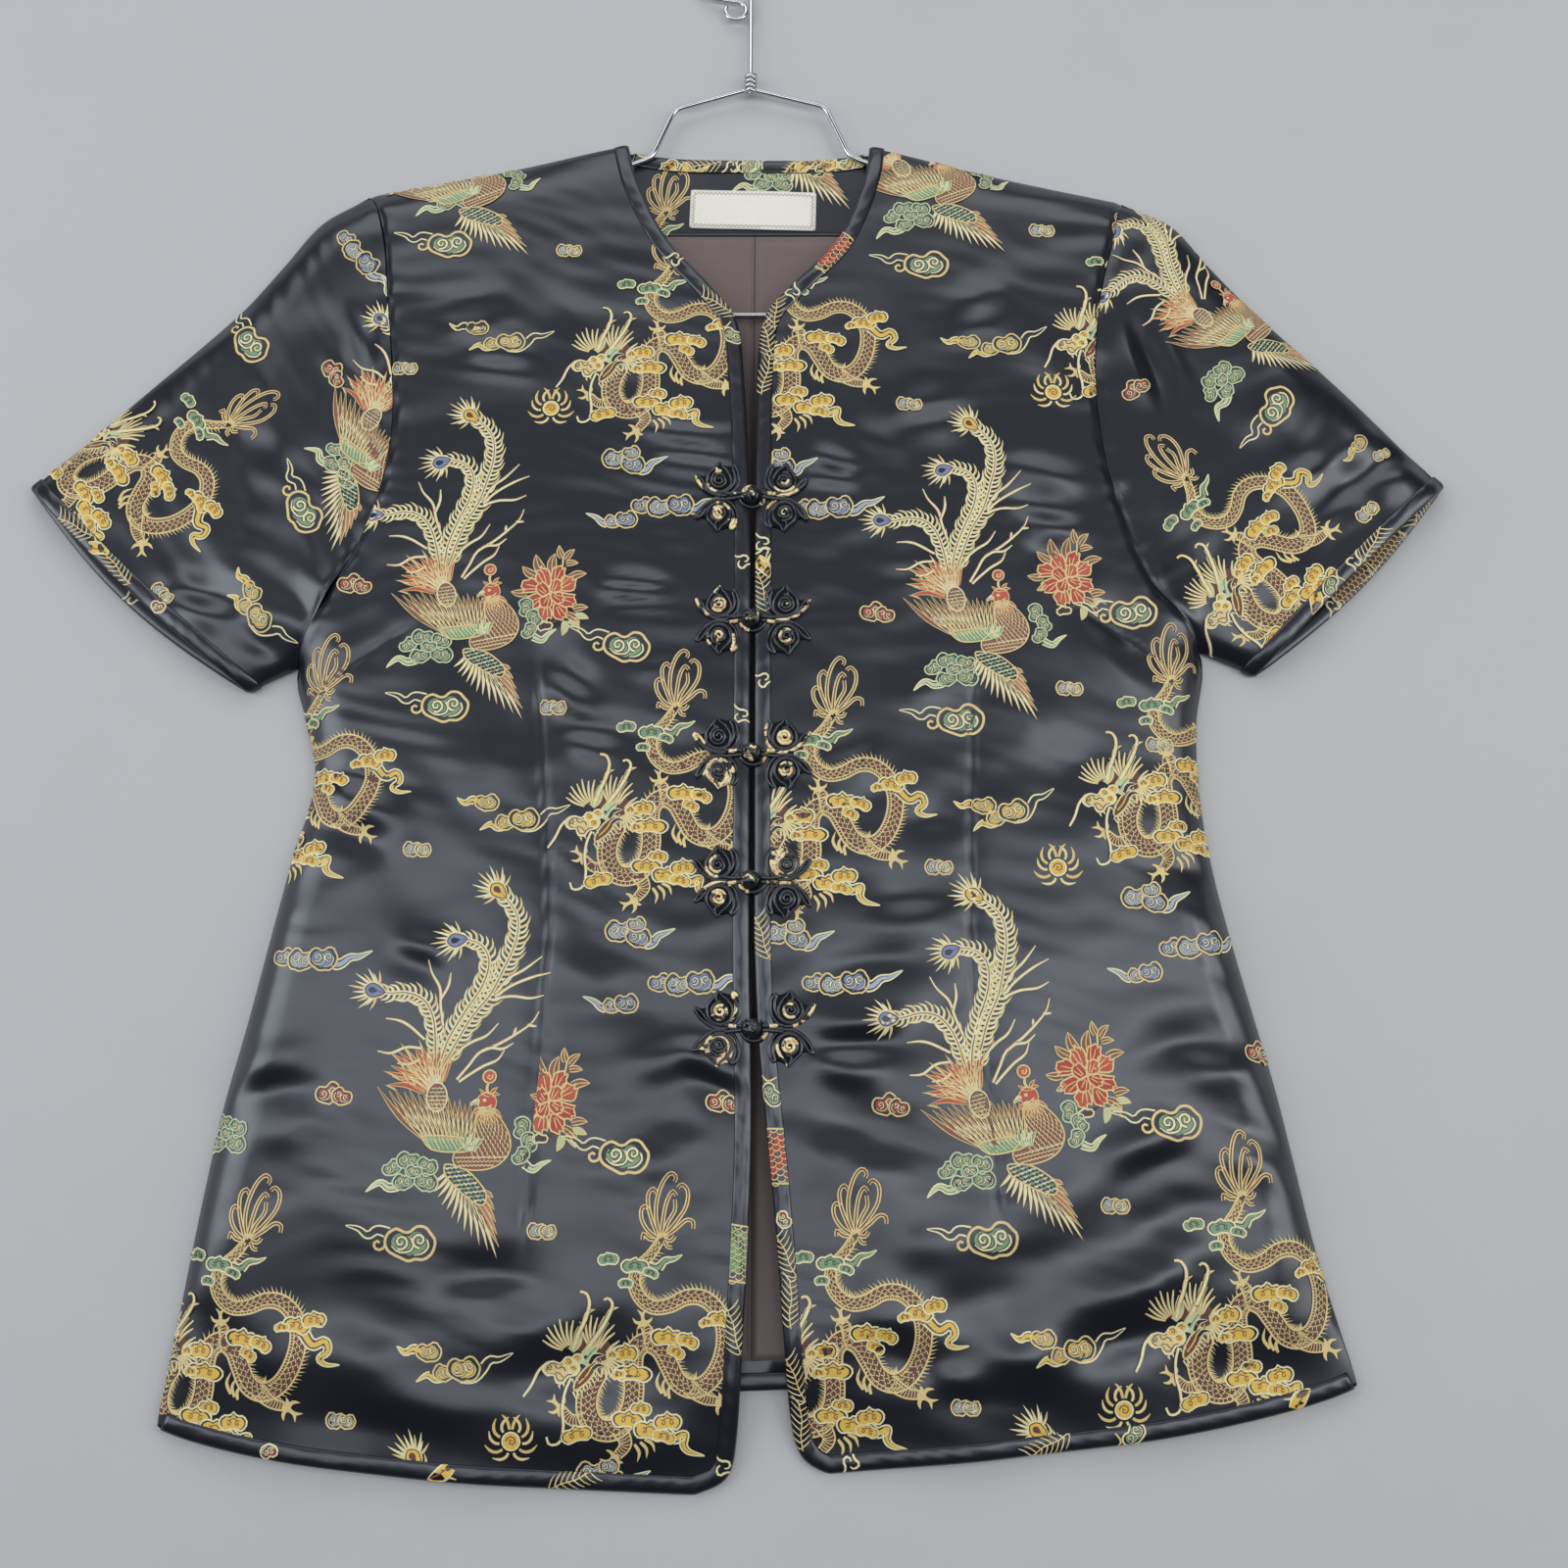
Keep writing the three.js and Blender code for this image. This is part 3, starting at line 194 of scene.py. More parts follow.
ROUNDED, SIDE_SEAM, ARMHOLE = {}, {}, {}
for side in ("right", "left"):
    seam = side_point(side, np.arange(0, ARMPIT + 0.01, 0.25))
    SIDE_SEAM[side] = segments_of([seam])
    ARMHOLE[side] = segments_of([side_point(side, np.arange(ARMPIT, SHOULDER + 0.01, 0.125))])
    ROUNDED[side] = segments_of([
        seam,
        np.array([side_point(side, SHOULDER), edge_point(side, SHOULDER)]),
        sleeve_plan(side, np.linspace(0, 1, 31), np.zeros(31)),
        sleeve_plan(side, np.linspace(0, 1, 5), np.ones(5)),
    ])
HEM_LINE = {}
for side in ("right", "left"):
    u = np.linspace(0, 1, 200)
    a, b = side_point(side, 0.0), edge_point(side, 0.0)
    line = a + (b - a) * u[:, None]
    line[:, 1] -= HEM_BULGE * np.sin(np.pi * u ** 0.7)
    HEM_LINE[side] = line if line[0, 0] < line[-1, 0] else line[::-1]


def hem_y(side, x):
    return np.interp(x, HEM_LINE[side][:, 0], HEM_LINE[side][:, 1])


def crown_at(y):
    return by_key(CROWN[:, 0], CROWN[:, 1], y)


def back_hem_y(x):
    (rx, ry), (lx, ly) = BACK_HEM["right"], BACK_HEM["left"]
    f = (x - rx) / (lx - rx)
    return ry + (ly - ry) * f + (BACK_HEM["mid"] - (ry + ly) / 2) * 4 * f * (1 - f)


def back_neck(f):
    a, b = edge_point("right", SHOULDER), edge_point("left", SHOULDER)
    f = np.asarray(f, float)
    p = a + (b - a) * f[..., None]
    p[..., 1] -= BACK_NECK_DIP * (1 - (2 * f - 1) ** 4)
    return p


# Creases and soft waves pressed into the laid cloth, placed one by one: x, y, direction (degrees from +X), half length, width, height (mm)
CREASES = {
    "front_right": [
        (-144.5, 243.8, 13, 18.4, 9, 1.4), (-136.6, 233.1, 14, 20.4, 7, -1), (-127.2, 215.4, -9, 16.3, 6, 1.2),
        (-123.5, 206.4, -10, 18.3, 6, -1), (-92.3, 237.9, -41, 13.6, 9, 1), (-35.1, 171.3, -7, 22.3, 5, 1.3),
        (-29.2, 163.1, -8, 19.1, 4.5, -1.3), (-32.9, 153.8, -12, 20.1, 5, 0.9), (-57.1, 96.7, -4, 16.7, 4, -1.2),
        (-59.8, 90.2, -9, 16.1, 4, 1.2), (-55, 84.7, 2, 15, 4, -0.8), (-90.1, 72.4, 12, 11.9, 7, 1.2),
        (-85, 49.8, -34, 11.7, 6, -1.3), (-88, 38.9, -37, 12.6, 6, 1.4), (-75.5, 24.5, -2, 13.6, 5, -1.1),
        (-75, 12.6, -18, 12.6, 5, 1.3), (-45.5, 52.4, 14, 11.7, 7, 1), (-35.6, 6, -27, 17, 6, -1),
        (-144.7, 81.1, -58, 31.1, 20, -1.6), (-159.8, 83.3, 27, 17.9, 12, 1.3), (-184.6, 1.7, -18, 14.1, 7, -1.5),
        (-181.9, -14, -22, 18.7, 8, 1.5), (-182.9, -27.9, -26, 15, 7, -1.4), (-122.9, 6, -19, 24.2, 16, 1.4),
        (-147.3, -56.7, 14, 22.6, 18, -1.4), (-150.2, -80.7, -14, 11.9, 6, 1.2), (-152, -86.9, -15, 11, 6, -1),
        (-70.9, -93.9, -10, 15.9, 11, 1.2), (-38.3, -108.7, -8, 29.5, 12, -2), (-32.1, -72.6, 10, 20.5, 8, 1),
        (-17.2, -133.7, -26, 14.9, 6, 1.6), (-14.5, -143.3, -28, 13.6, 6, -1.5), (-31.3, -128.5, 8, 20.1, 8, 1),
        (-47.1, -160.4, 26, 32.5, 13, -1.6), (-43.6, -174.3, 23, 28.9, 12, 1.8), (-215.5, -143.5, 17, 17.2, 9, -1.7),
        (-213.1, -133.5, 15, 17.4, 9, 1.4), (-200.9, -161.6, 16, 16.1, 10, 1.1), (-168.8, -196.5, 4, 23, 14, 1.2),
        (-117, -224.8, 4, 23.9, 10, -2), (-119.7, -233.4, 4, 26.3, 9, 1.8), (-164, -245, -8, 17.8, 10, -1.2),
        (-99.9, -247.3, 7, 31.5, 12, 2.4), (-71.8, -263, 3, 33, 15, -3.4), (-46, -282.2, 3, 32.8, 14, -1.8),
        (-136.5, -280.6, -7, 27.9, 9, 1.7), (-161.6, -287.8, -7, 28, 7, -1.5), (-203.1, -264.2, -12, 16.2, 10, 1.1),
        (-231.8, -250.1, -56, 14, 9, -1.2), (-36.7, -207, 9, 21.4, 12, 1.2),
    ],
    "front_left": [
        (113.2, 246.5, 20, 15.2, 9, 1.4), (112.9, 232, 17, 16.9, 8, -1.1), (86.4, 190.1, 14, 18.2, 9, -1.2),
        (88.5, 177.1, 14, 19.4, 8, 1.2), (148.6, 208.7, -65, 21.6, 9, -1.1), (40.6, 157.4, -16, 10.8, 5, 1.4),
        (38.9, 149.7, -16, 12.2, 5, -1.2), (62.5, 166.7, -28, 13.7, 8, 1), (142.2, 149.2, -14, 18.5, 8, 1.9),
        (137.7, 136.9, -10, 16.8, 8, -1.5), (143.1, 122.2, -12, 11.9, 7, 1.8), (148.8, 109.4, -12, 14.6, 8, -1.4),
        (62.3, 109.4, -8, 23.4, 12, -1.2), (76.3, 95.7, 6, 19.5, 10, 1), (170.9, 54, -44, 22.9, 8, 1.3),
        (174.2, 75.9, -42, 15, 10, -1.3), (128.2, 29.8, -42, 17.5, 14, 1.4), (78.8, 39.4, 15, 14.9, 9, 1),
        (84.5, -19.8, 9, 12.3, 8, -1.2), (51.8, 6, 46, 10.9, 7, 1), (152.8, 6, 27, 17.2, 14, -1.2),
        (73.7, -55.5, 9, 18.8, 10, -1.6), (71.2, -68, 5, 20.4, 9, 1.4), (54.1, -86.1, 4, 26.7, 8, -1.5),
        (49.4, -115.4, 6, 21, 6, 1.6), (47.7, -123.7, 3, 20.3, 6, -1.5), (43.6, -135.7, -12, 12.9, 7, 1.2),
        (51.3, -162.6, -21, 34.9, 13, -2), (43.2, -176.5, -22, 25, 12, 1.6), (177.3, -168.6, 20, 17.1, 9, 1.6),
        (179.3, -177.1, 21, 18.5, 8, -1.5), (194.3, -123.3, 6, 20.7, 9, -1.8), (208.8, -136.3, -7, 18.1, 9, 1.7),
        (221.7, -163, -29, 26.3, 10, -1.4), (224.8, -176.4, -31, 25.1, 10, 1.2), (205.9, -70.3, -19, 17.2, 12, 1.1),
        (196.1, -43, -7, 14.9, 9, -1.2), (173.1, -230.1, 24, 27, 11, 2.4), (162.8, -251.7, 13, 28, 13, -3.2),
        (66, -246.4, -22, 24.4, 12, 2), (67.9, -259.4, -23, 20.6, 12, -2.6), (121, -259.4, 4, 17.5, 10, 1.8),
        (114.5, -277.8, -6, 31.9, 13, -2.2), (89, -268.3, -15, 12.5, 6, 1.4), (185.8, -197.6, 15, 16.7, 10, -1.2),
        (81.6, -213.2, -15, 20, 14, 1.2), (205.7, -262.2, 4, 24.5, 9, -1.4), (236.4, -246, -40, 12.9, 9, 1.2),
    ],
    "sleeve_right": [
        (-231.6, 173, -78, 53.9, 15, 1.6), (-219.2, 182.9, -78, 41.5, 9, -1.1), (-252.4, 164.8, -76, 43.6, 11, -1),
        (-269.9, 93.7, -9, 17.8, 7, -1.7), (-261.3, 80.3, -16, 20.8, 7, 1.3), (-236.1, 81.8, -34, 12.2, 8, 1.2),
        (-233.7, 65.1, -18, 9.3, 6, -1.2), (-205.9, 93.3, -61, 18.7, 8, 1.3), (-213.5, 80.9, -62, 16, 6, -1.1),
        (-196.1, 223.3, -70, 22.1, 6, -1.8), (-201.2, 214.1, -72, 25.2, 6, 1.5), (-185.7, 164.2, -74, 17.6, 5, -1.3),
        (-191.9, 113.3, -70, 17.5, 6, -1.4), (-204.2, 136, -75, 19.4, 7, 1),
    ],
    "sleeve_left": [
        (188.2, 208.7, -75, 20.2, 7, 1.7), (197, 214, -72, 20.6, 6, -1.5), (207.5, 213.9, -65, 16.8, 6, 1),
        (183.3, 121, -73, 28.2, 7, -1.8), (195.5, 103.4, -65, 27.1, 10, 1.3), (282.1, 157.5, 33, 25.9, 8, 1.6),
        (295.2, 152.8, 32, 26.8, 9, -2.4), (314.6, 151.2, 27, 13.8, 7, 1.4), (237.8, 195.4, 28, 18.5, 16, 1.1),
        (217.9, 103.4, -67, 26.6, 15, -1.2), (231.9, 61.2, -48, 13.4, 8, 1.2), (280.4, 115.8, 49, 19.2, 9, -1.1),
        (206.5, 66.1, -28, 12.7, 7, -1.2),
    ],
}




# ------------------------------------------------------------------ height of the laid cloth
FOLDS = np.array([
    # x, y, direction, length, width, height
    (-120, -236, -6, 88, 13, -3.6), (-135, -264, -4, 74, 11, 2.6), (128, -222, 24, 74, 14, -3.8), (150, -188, 22, 78, 14, 2.4),
    (44, -150, -24, 52, 11, -2.0), (-52, 22, -10, 46, 9, -2.2), (72, -8, 12, 50, 10, -2.0), (-62, 152, -6, 50, 9, -2.2),
    (-190, 150, 84, 60, 9, -3.0), (186, 132, 110, 60, 9, -2.6), (-236, 118, 62, 56, 12, 2.4), (-252, 86, 140, 44, 10, -2.6),
    (284, 158, 140, 40, 10, -2.6), (262, 196, 48, 52, 13, 2.0),
], float)
FOLD_SHARE = 0.45      # the creases below carry the rest


def press(table, x, y, share=1.0, sharp=False):
    h = np.zeros(np.shape(x))
    for fx, fy, turn, length, width, height in table:
        c, s = math.cos(math.radians(turn)), math.sin(math.radians(turn))
        a = ((x - fx) * c + (y - fy) * s) / length
        b = (-(x - fx) * s + (y - fy) * c)
        near = np.abs(a) < 2.4
        bow = 0.10 * length * a * a * (1 if height > 0 else -1)      # each crease is bent a little
        b = (b - bow) / width
        shape = np.exp(-b * b)
        if sharp:
            shape = np.exp(-np.abs(b) ** 1.7) - 0.16 * np.exp(-((b - 1.7) / 1.1) ** 2) - 0.12 * np.exp(-((b + 1.9) / 1.2) ** 2)
        h += np.where(near, share * height * np.exp(-np.abs(a) ** 2.4) * shape, 0)
    return h


DARTS = {
    # waist and bust darts, x, y along each (mm)
    "front_right": [[(-103, 57), (-99, 19), (-94, -38), (-92, -75), (-95, -138), (-99, -182), (-99, -215)], [(-216, 33), (-187, 58), (-157, 77)]],
    "front_left": [[(105, 49), (103, 0), (100, -75), (103, -129), (108, -169), (111, -203)], [(198, 54), (177, 68), (156, 82)]],
}
WAVES = [
    # broad slack in the cloth: wavelength, direction, phase, height
    (64, 78, 0.4, 0.34), (47, 96, 2.1, 0.26), (83, 60, 4.0, 0.34), (38, 118, 1.2, 0.16), (29, 84, 5.2, 0.10), (110, 20, 3.1, 0.36), (55, 142, 0.9, 0.18),
]


def slack(x, y):
    """Slow, uneven undulation of padded satin."""
    h = np.zeros(np.shape(x))
    wx = x + 9 * np.sin(y / 53 + 1.3) + 5 * np.sin((x + y) / 31)
    wy = y + 8 * np.sin(x / 47 + 0.6) + 4 * np.sin((x - 2 * y) / 59)
    for length, turn, phase, height in WAVES:
        c, s = math.cos(math.radians(turn)), math.sin(math.radians(turn))
        k = 2 * math.pi / length
        env = 0.55 + 0.45 * np.sin(x / (length * 1.3) + phase * 2) * np.cos(y / (length * 1.7) - phase)
        h += height * env * np.sin(k * (wx * c + wy * s) + phase)
    return h


RUMPLES = [
    # fine wrinkles across the cloth: wavelength, direction, phase, height
    (12.5, 84, 0.3, 0.15), (17.5, 97, 1.9, 0.18), (9.6, 78, 4.1, 0.08), (22.0, 104, 3.0, 0.18), (14.2, 66, 5.6, 0.10), (25.0, 40, 2.2, 0.14),
]


def rumple(x, y):
    """Patches of fine, broken wrinkles, mostly running across the garment."""
    wx = x + 13 * np.sin(y / 37 + 0.4) + 6 * np.sin((x - y) / 19 + 1.0)
    wy = y + 6.5 * np.sin(x / 41 + 2.0) + 3.4 * np.sin((x + 1.3 * y) / 23) + 2.2 * np.sin(x / 13.5 + y / 29)
    h = np.zeros(np.shape(x))
    for length, turn, phase, height in RUMPLES:
        c, s = math.cos(math.radians(turn)), math.sin(math.radians(turn))
        patch = np.sin(wx / (length * 2.3) + phase * 3) * np.cos(wy / (length * 3.1) - phase) + 0.35 * np.sin((x + y) / (length * 4.1) + phase)
        h += height * np.clip(patch + 0.15, 0, 1) * np.sin(2 * math.pi / length * (wx * c + wy * s) + phase)
    return h


def along_of(segs, x, y):
    """Distance to a line and length along it."""
    shape = np.shape(x)
    x, y = np.ravel(x), np.ravel(y)
    best, run, total = np.full(x.shape, 1e9), np.zeros(x.shape), 0.0
    for ax, ay, bx, by in segs:
        dx, dy = bx - ax, by - ay
        l = math.hypot(dx, dy)
        f = np.clip(((x - ax) * dx + (y - ay) * dy) / (l * l), 0, 1)
        d = np.hypot(x - ax - f * dx, y - ay - f * dy)
        closer = d < best
        best = np.where(closer, d, best)
        run = np.where(closer, total + f * l, run)
        total += l
    return best.reshape(shape), run.reshape(shape), total


def cloth_top(side, x, y, crown, extra):
    d = distance_to(ROUNDED[side], x, y)
    neck = edge_point(side, SHOULDER)
    lift = NECK_LIFT * np.exp(-(np.hypot(x - neck[0], y - neck[1]) / NECK_LIFT_REACH) ** 2)
    low = SEAM_HEIGHT + lift
    part = np.where(d >= ROUND_OFF, 1.0, 1 - (1 - np.minimum(d, ROUND_OFF) / ROUND_OFF) ** ROUND_POWER)
    return low + (crown + extra * smooth(d / 20) - low) * part


def armhole_draw(side, x, y):
    """The armhole seam pulls the cloth down in a narrow valley, with short puckers across it."""
    d, run, total = along_of(ARMHOLE[side], x, y)
    ends = smooth(run / 14) * smooth((total - run) / 14)
    pucker = 0.34 * np.sin(run / 3.4 + 2 * np.sin(run / 17)) + 0.22 * np.sin(run / 2.1 + 1.1)
    return -1.25 * np.exp(-(d / 2.3) ** 2) + pucker * np.exp(-(d / 6.5) ** 2) * (0.35 + 0.65 * smooth(d / 2)) * ends


HEM_DROP = np.array([
    # x, length over which the cloth falls to the hem
    (-258, 58), (-215, 62), (-165, 46), (-130, 38), (-95, 33), (-40, 32), (-8, 46), (30, 58), (62, 46), (86, 32), (150, 32), (180, 44), (210, 60), (266, 62),
], float)


def front_height(side, x, y):
    name = "front_" + side
    x, y = np.asarray(x, float), np.asarray(y, float)
    extra = press(FOLDS, x, y, FOLD_SHARE)
    body = cloth_top(side, x, y, crown_at(y), extra)
    hem = by_key(HEM_WAVES[:, 0], HEM_WAVES[:, 1], x)
    rise = smooth((y - hem_y(side, x)) / by_key(HEM_DROP[:, 0], HEM_DROP[:, 1], x))
    z = hem + (body - hem) * rise
    d_seam = distance_to(ROUNDED[side], x, y)
    inner = smooth(d_seam / 11)
    z += press(CREASES[name], x, y, 1.45, True) * inner * (0.35 + 0.65 * rise)
    z += (slack(x, y) * 0.72 + rumple(x, y) * 0.78) * inner * (0.45 + 0.55 * rise)
    # darts: a stitched valley with a soft pull beside it
    for dart in DARTS[name]:
        dd, run, total = along_of(segments_of([np.array(dart, float)]), x, y)
        tip = smooth(run / 18) * smooth((total - run) / 18)
        z -= (1.15 * np.exp(-(dd / 1.1) ** 2) + 0.45 * np.exp(-(dd / 5.5) ** 2)) * (0.25 + 0.75 * tip)
        z += 0.16 * np.sin(run / 2.4 + np.sin(run / 11)) * np.exp(-(dd / 5.0) ** 2) * tip
    # fastenings draw fine wrinkles into the front edge
    edge = edge_point(side, 9.0)[0]
    reach = np.abs(x - edge)
    for k, fy in enumerate(FROG_ROWS):
        fan = (y - fy) / (9 + 0.32 * reach)
        wr = 0.50 * np.cos(fan * 5.2 + k) * np.exp(-fan * fan * 0.55) * np.exp(-((reach - 34) / 26) ** 2)
        z += wr * inner
        z -= 0.8 * np.exp(-((y - fy) / 16) ** 2) * np.exp(-(reach / 30) ** 2)
    # the cloth eases into the bound edge
    z += 0.12 * np.sin(y / 3.1 + 2.2 * np.sin(y / 23)) * np.exp(-((reach - 8) / 6) ** 2) * (y > -250) * (y < 235)
    z += armhole_draw(side, x, y)
    d_side = distance_to(SIDE_SEAM[side], x, y)
    z -= 1.2 * np.exp(-(d_side / 2.0) ** 2) * rise
    return np.maximum(z, 1.62)


def sleeve_height(side, x, y, along, across):
    name = "sleeve_" + side
    t = SHOULDER - across * (SHOULDER - ARMPIT)
    crown = lerp(crown_at(side_point(side, t)[..., 1]), CUFF_HEIGHT, along ** 0.8)
    extra = press(FOLDS, x, y, 0.7)
    z = cloth_top(side, x, y, crown, extra)
    d = distance_to(ROUNDED[side], x, y)
    inner = smooth(d / 10)
    z += press(CREASES[name], x, y, 1.45, True) * inner
    z += (slack(x * 1.05 + 40, y - 30) * 1.25 + rumple(0.7 * x + 0.7 * y * OUT[side], 0.7 * y - 0.7 * x * OUT[side]) * 0.85) * inner
    z += armhole_draw(side, x, y)
    lift = CUFF_LIFT * smooth((along - 0.86) / 0.1)
    return np.maximum(z, SEAM_HEIGHT + lift)


# ------------------------------------------------------------------ meshes
def make(name, verts, faces, materials, index=None, flat=False):
    """A mesh object from points in the plan's millimetres; faces is an array of triangles or quads, or a list of arrays."""
    groups = faces if isinstance(faces, list) else [faces]
    verts = np.asarray(verts, float)
    co = np.empty_like(verts)
    co[:, 0] = (verts[:, 0] + OX) * MM
    co[:, 1] = (verts[:, 1] + OY) * MM
    co[:, 2] = verts[:, 2] * MM
    loops = np.concatenate([np.asarray(g, np.int32).ravel() for g in groups])
    totals = np.concatenate([np.full(len(g), np.shape(g)[1], np.int32) for g in groups])
    starts = np.concatenate([[0], np.cumsum(totals)[:-1]]).astype(np.int32)
    me = bpy.data.meshes.new(name)
    me.vertices.add(len(co))
    me.vertices.foreach_set("co", co.astype(np.float32).ravel())
    me.loops.add(len(loops))
    me.loops.foreach_set("vertex_index", loops)
    me.polygons.add(len(totals))
    me.polygons.foreach_set("loop_start", starts)
    me.polygons.foreach_set("loop_total", totals)
    for m in materials:
        me.materials.append(m)
    if index is not None:
        me.polygons.foreach_set("material_index", np.asarray(index, np.int32))
    me.polygons.foreach_set("use_smooth", np.full(len(totals), not flat))
    me.update(calc_edges=True)
    me.validate()
    ob = bpy.data.objects.new(name, me)
    bpy.context.scene.collection.objects.link(ob)
    return ob


def grid_quads(n, m, offset=0, flip=False, wrap=False):
    i, j = np.meshgrid(np.arange(n - 1), np.arange(m if wrap else m - 1), indexing="ij")
    a = offset + i * m + j
    b = offset + i * m + (j + 1) % m
    c = offset + (i + 1) * m + (j + 1) % m
    d = offset + (i + 1) * m + j
    q = np.stack([a, b, c, d], -1).reshape(-1, 4)
    return q[:, ::-1] if flip else q


def shell(top, bottom):
    """Closed wall between two grids of points that share a layout; the rim has a rounded middle line."""
    n, m = top.shape[:2]
    verts = [top.reshape(-1, 3), bottom.reshape(-1, 3)]
    up = grid_quads(n, m)
    down = grid_quads(n, m, n * m, flip=True)
    ring = np.concatenate([np.arange(m), np.arange(1, n) * m + m - 1, (n - 1) * m + np.arange(m - 2, -1, -1), np.arange(n - 2, 0, -1) * m])
    rt, rb = ring, ring + n * m
    nt, nb = np.roll(rt, -1), np.roll(rb, -1)
    sides = np.stack([rt, rb, nb, nt], -1)
    return np.vstack(verts), np.vstack([up, down, sides])


def outward_faces(verts, faces):
    """Turns the faces of a closed surface outwards."""
    v = verts[faces]
    tri = np.concatenate([v[:, [0, 1, 2]], v[:, [0, 2, 3]]]) if faces.shape[1] == 4 else v
    volume = np.einsum("ij,ij->i", tri[:, 0], np.cross(tri[:, 1], tri[:, 2])).sum()
    return faces if volume > 0 else faces[:, ::-1]


def surface_of(points, quads):
    """A search tree of a surface, in millimetres."""
    return BVHTree.FromPolygons([tuple(p) for p in points], [tuple(int(k) for k in q) for q in quads])


def resample(line, step=None, count=None, closed=False):
    line = np.asarray(line, float)
    if closed:
        line = np.vstack([line, line[:1]])
    d = np.r_[0, np.cumsum(np.linalg.norm(np.diff(line, axis=0), axis=1))]
    n = count or max(2, int(round(d[-1] / step)) + 1)
    s = np.linspace(0, d[-1], n)
    out = np.stack([np.interp(s, d, line[:, k]) for k in range(line.shape[1])], -1)
    return out[:-1] if closed else out


def plan_normals(line, closed=False):
    if closed:
        t = np.roll(line, -1, axis=0) - np.roll(line, 1, axis=0)
    else:
        t = np.gradient(line, axis=0)
    t = t / (np.linalg.norm(t, axis=1)[:, None] + 1e-12)
    return np.stack([-t[:, 1], t[:, 0]], -1)


def loft(name, rings, materials, closed_path=False, cap=True, flat=False):
    """A closed surface through rings of equal length, shape (stations, ring, 3)."""
    rings = np.asarray(rings, float)
    n, m = rings.shape[:2]
    verts = rings.reshape(-1, 3)
    if closed_path:
        i, j = np.meshgrid(np.arange(n), np.arange(m), indexing="ij")
        q = np.stack([i * m + j, i * m + (j + 1) % m, (i + 1) % n * m + (j + 1) % m, (i + 1) % n * m + j], -1).reshape(-1, 4)
        return make(name, verts, outward_faces(verts, q), materials, flat=flat)
    q = grid_quads(n, m, wrap=True)
    groups = [q]
    if cap:
        c0, c1 = rings[0].mean(0), rings[-1].mean(0)
        verts = np.vstack([verts, c0, c1])
        k = np.arange(m)
        a = np.stack([k, np.full(m, n * m), (k + 1) % m], -1)
        b = np.stack([(n - 1) * m + k, (n - 1) * m + (k + 1) % m, np.full(m, n * m + 1)], -1)
        v = verts[q]
        tri = np.concatenate([v[:, [0, 1, 2]], v[:, [0, 2, 3]], verts[a], verts[b]])
        if np.einsum("ij,ij->i", tri[:, 0], np.cross(tri[:, 1], tri[:, 2])).sum() < 0:
            q, a, b = q[:, ::-1], a[:, ::-1], b[:, ::-1]
        groups = [q, np.vstack([a, b])]
    return make(name, verts, groups, materials, flat=flat)


def tube(name, path, radius, materials, sides=12, closed=False, squash=1.0):
    """A round wire or cord along a path; radius is a number or one for each point."""
    p = np.asarray(path, float)
    n = len(p)
    r = np.broadcast_to(np.asarray(radius, float), n)
    t = (np.roll(p, -1, 0) - np.roll(p, 1, 0)) if closed else np.gradient(p, axis=0)
    t /= np.linalg.norm(t, axis=1)[:, None]
    ref = np.array([0, 0, 1.0])
    a = np.cross(ref, t)
    weak = np.linalg.norm(a, axis=1) < 0.2
    a[weak] = np.cross(np.array([1.0, 0, 0]), t[weak])
    a /= np.linalg.norm(a, axis=1)[:, None]
    b = np.cross(t, a)
    k = np.linspace(0, 2 * np.pi, sides, endpoint=False)
    rings = p[:, None] + r[:, None, None] * (np.cos(k)[None, :, None] * a[:, None] + squash * np.sin(k)[None, :, None] * b[:, None])
    return loft(name, rings, materials, closed_path=closed)


def in_polygon(poly, x, y):
    inside = np.zeros(x.shape, bool)
    a, b = poly, np.roll(poly, -1, axis=0)
    for (ax, ay), (bx, by) in zip(a, b):
        if ay == by:
            continue
        hit = (ay > y) != (by > y)
        inside ^= hit & (x < ax + (y - ay) * (bx - ax) / (by - ay))
    return inside


def nearest_on(poly, x, y):
    best = np.full(x.shape, 1e18)
    px, py = np.zeros(x.shape), np.zeros(x.shape)
    for (ax, ay), (bx, by) in zip(poly, np.roll(poly, -1, axis=0)):
        dx, dy = bx - ax, by - ay
        f = np.clip(((x - ax) * dx + (y - ay) * dy) / (dx * dx + dy * dy + 1e-12), 0, 1)
        qx, qy = ax + f * dx, ay + f * dy
        d = (x - qx) ** 2 + (y - qy) ** 2
        c = d < best
        best, px, py = np.where(c, d, best), np.where(c, qx, px), np.where(c, qy, py)
    return px, py, np.sqrt(best)


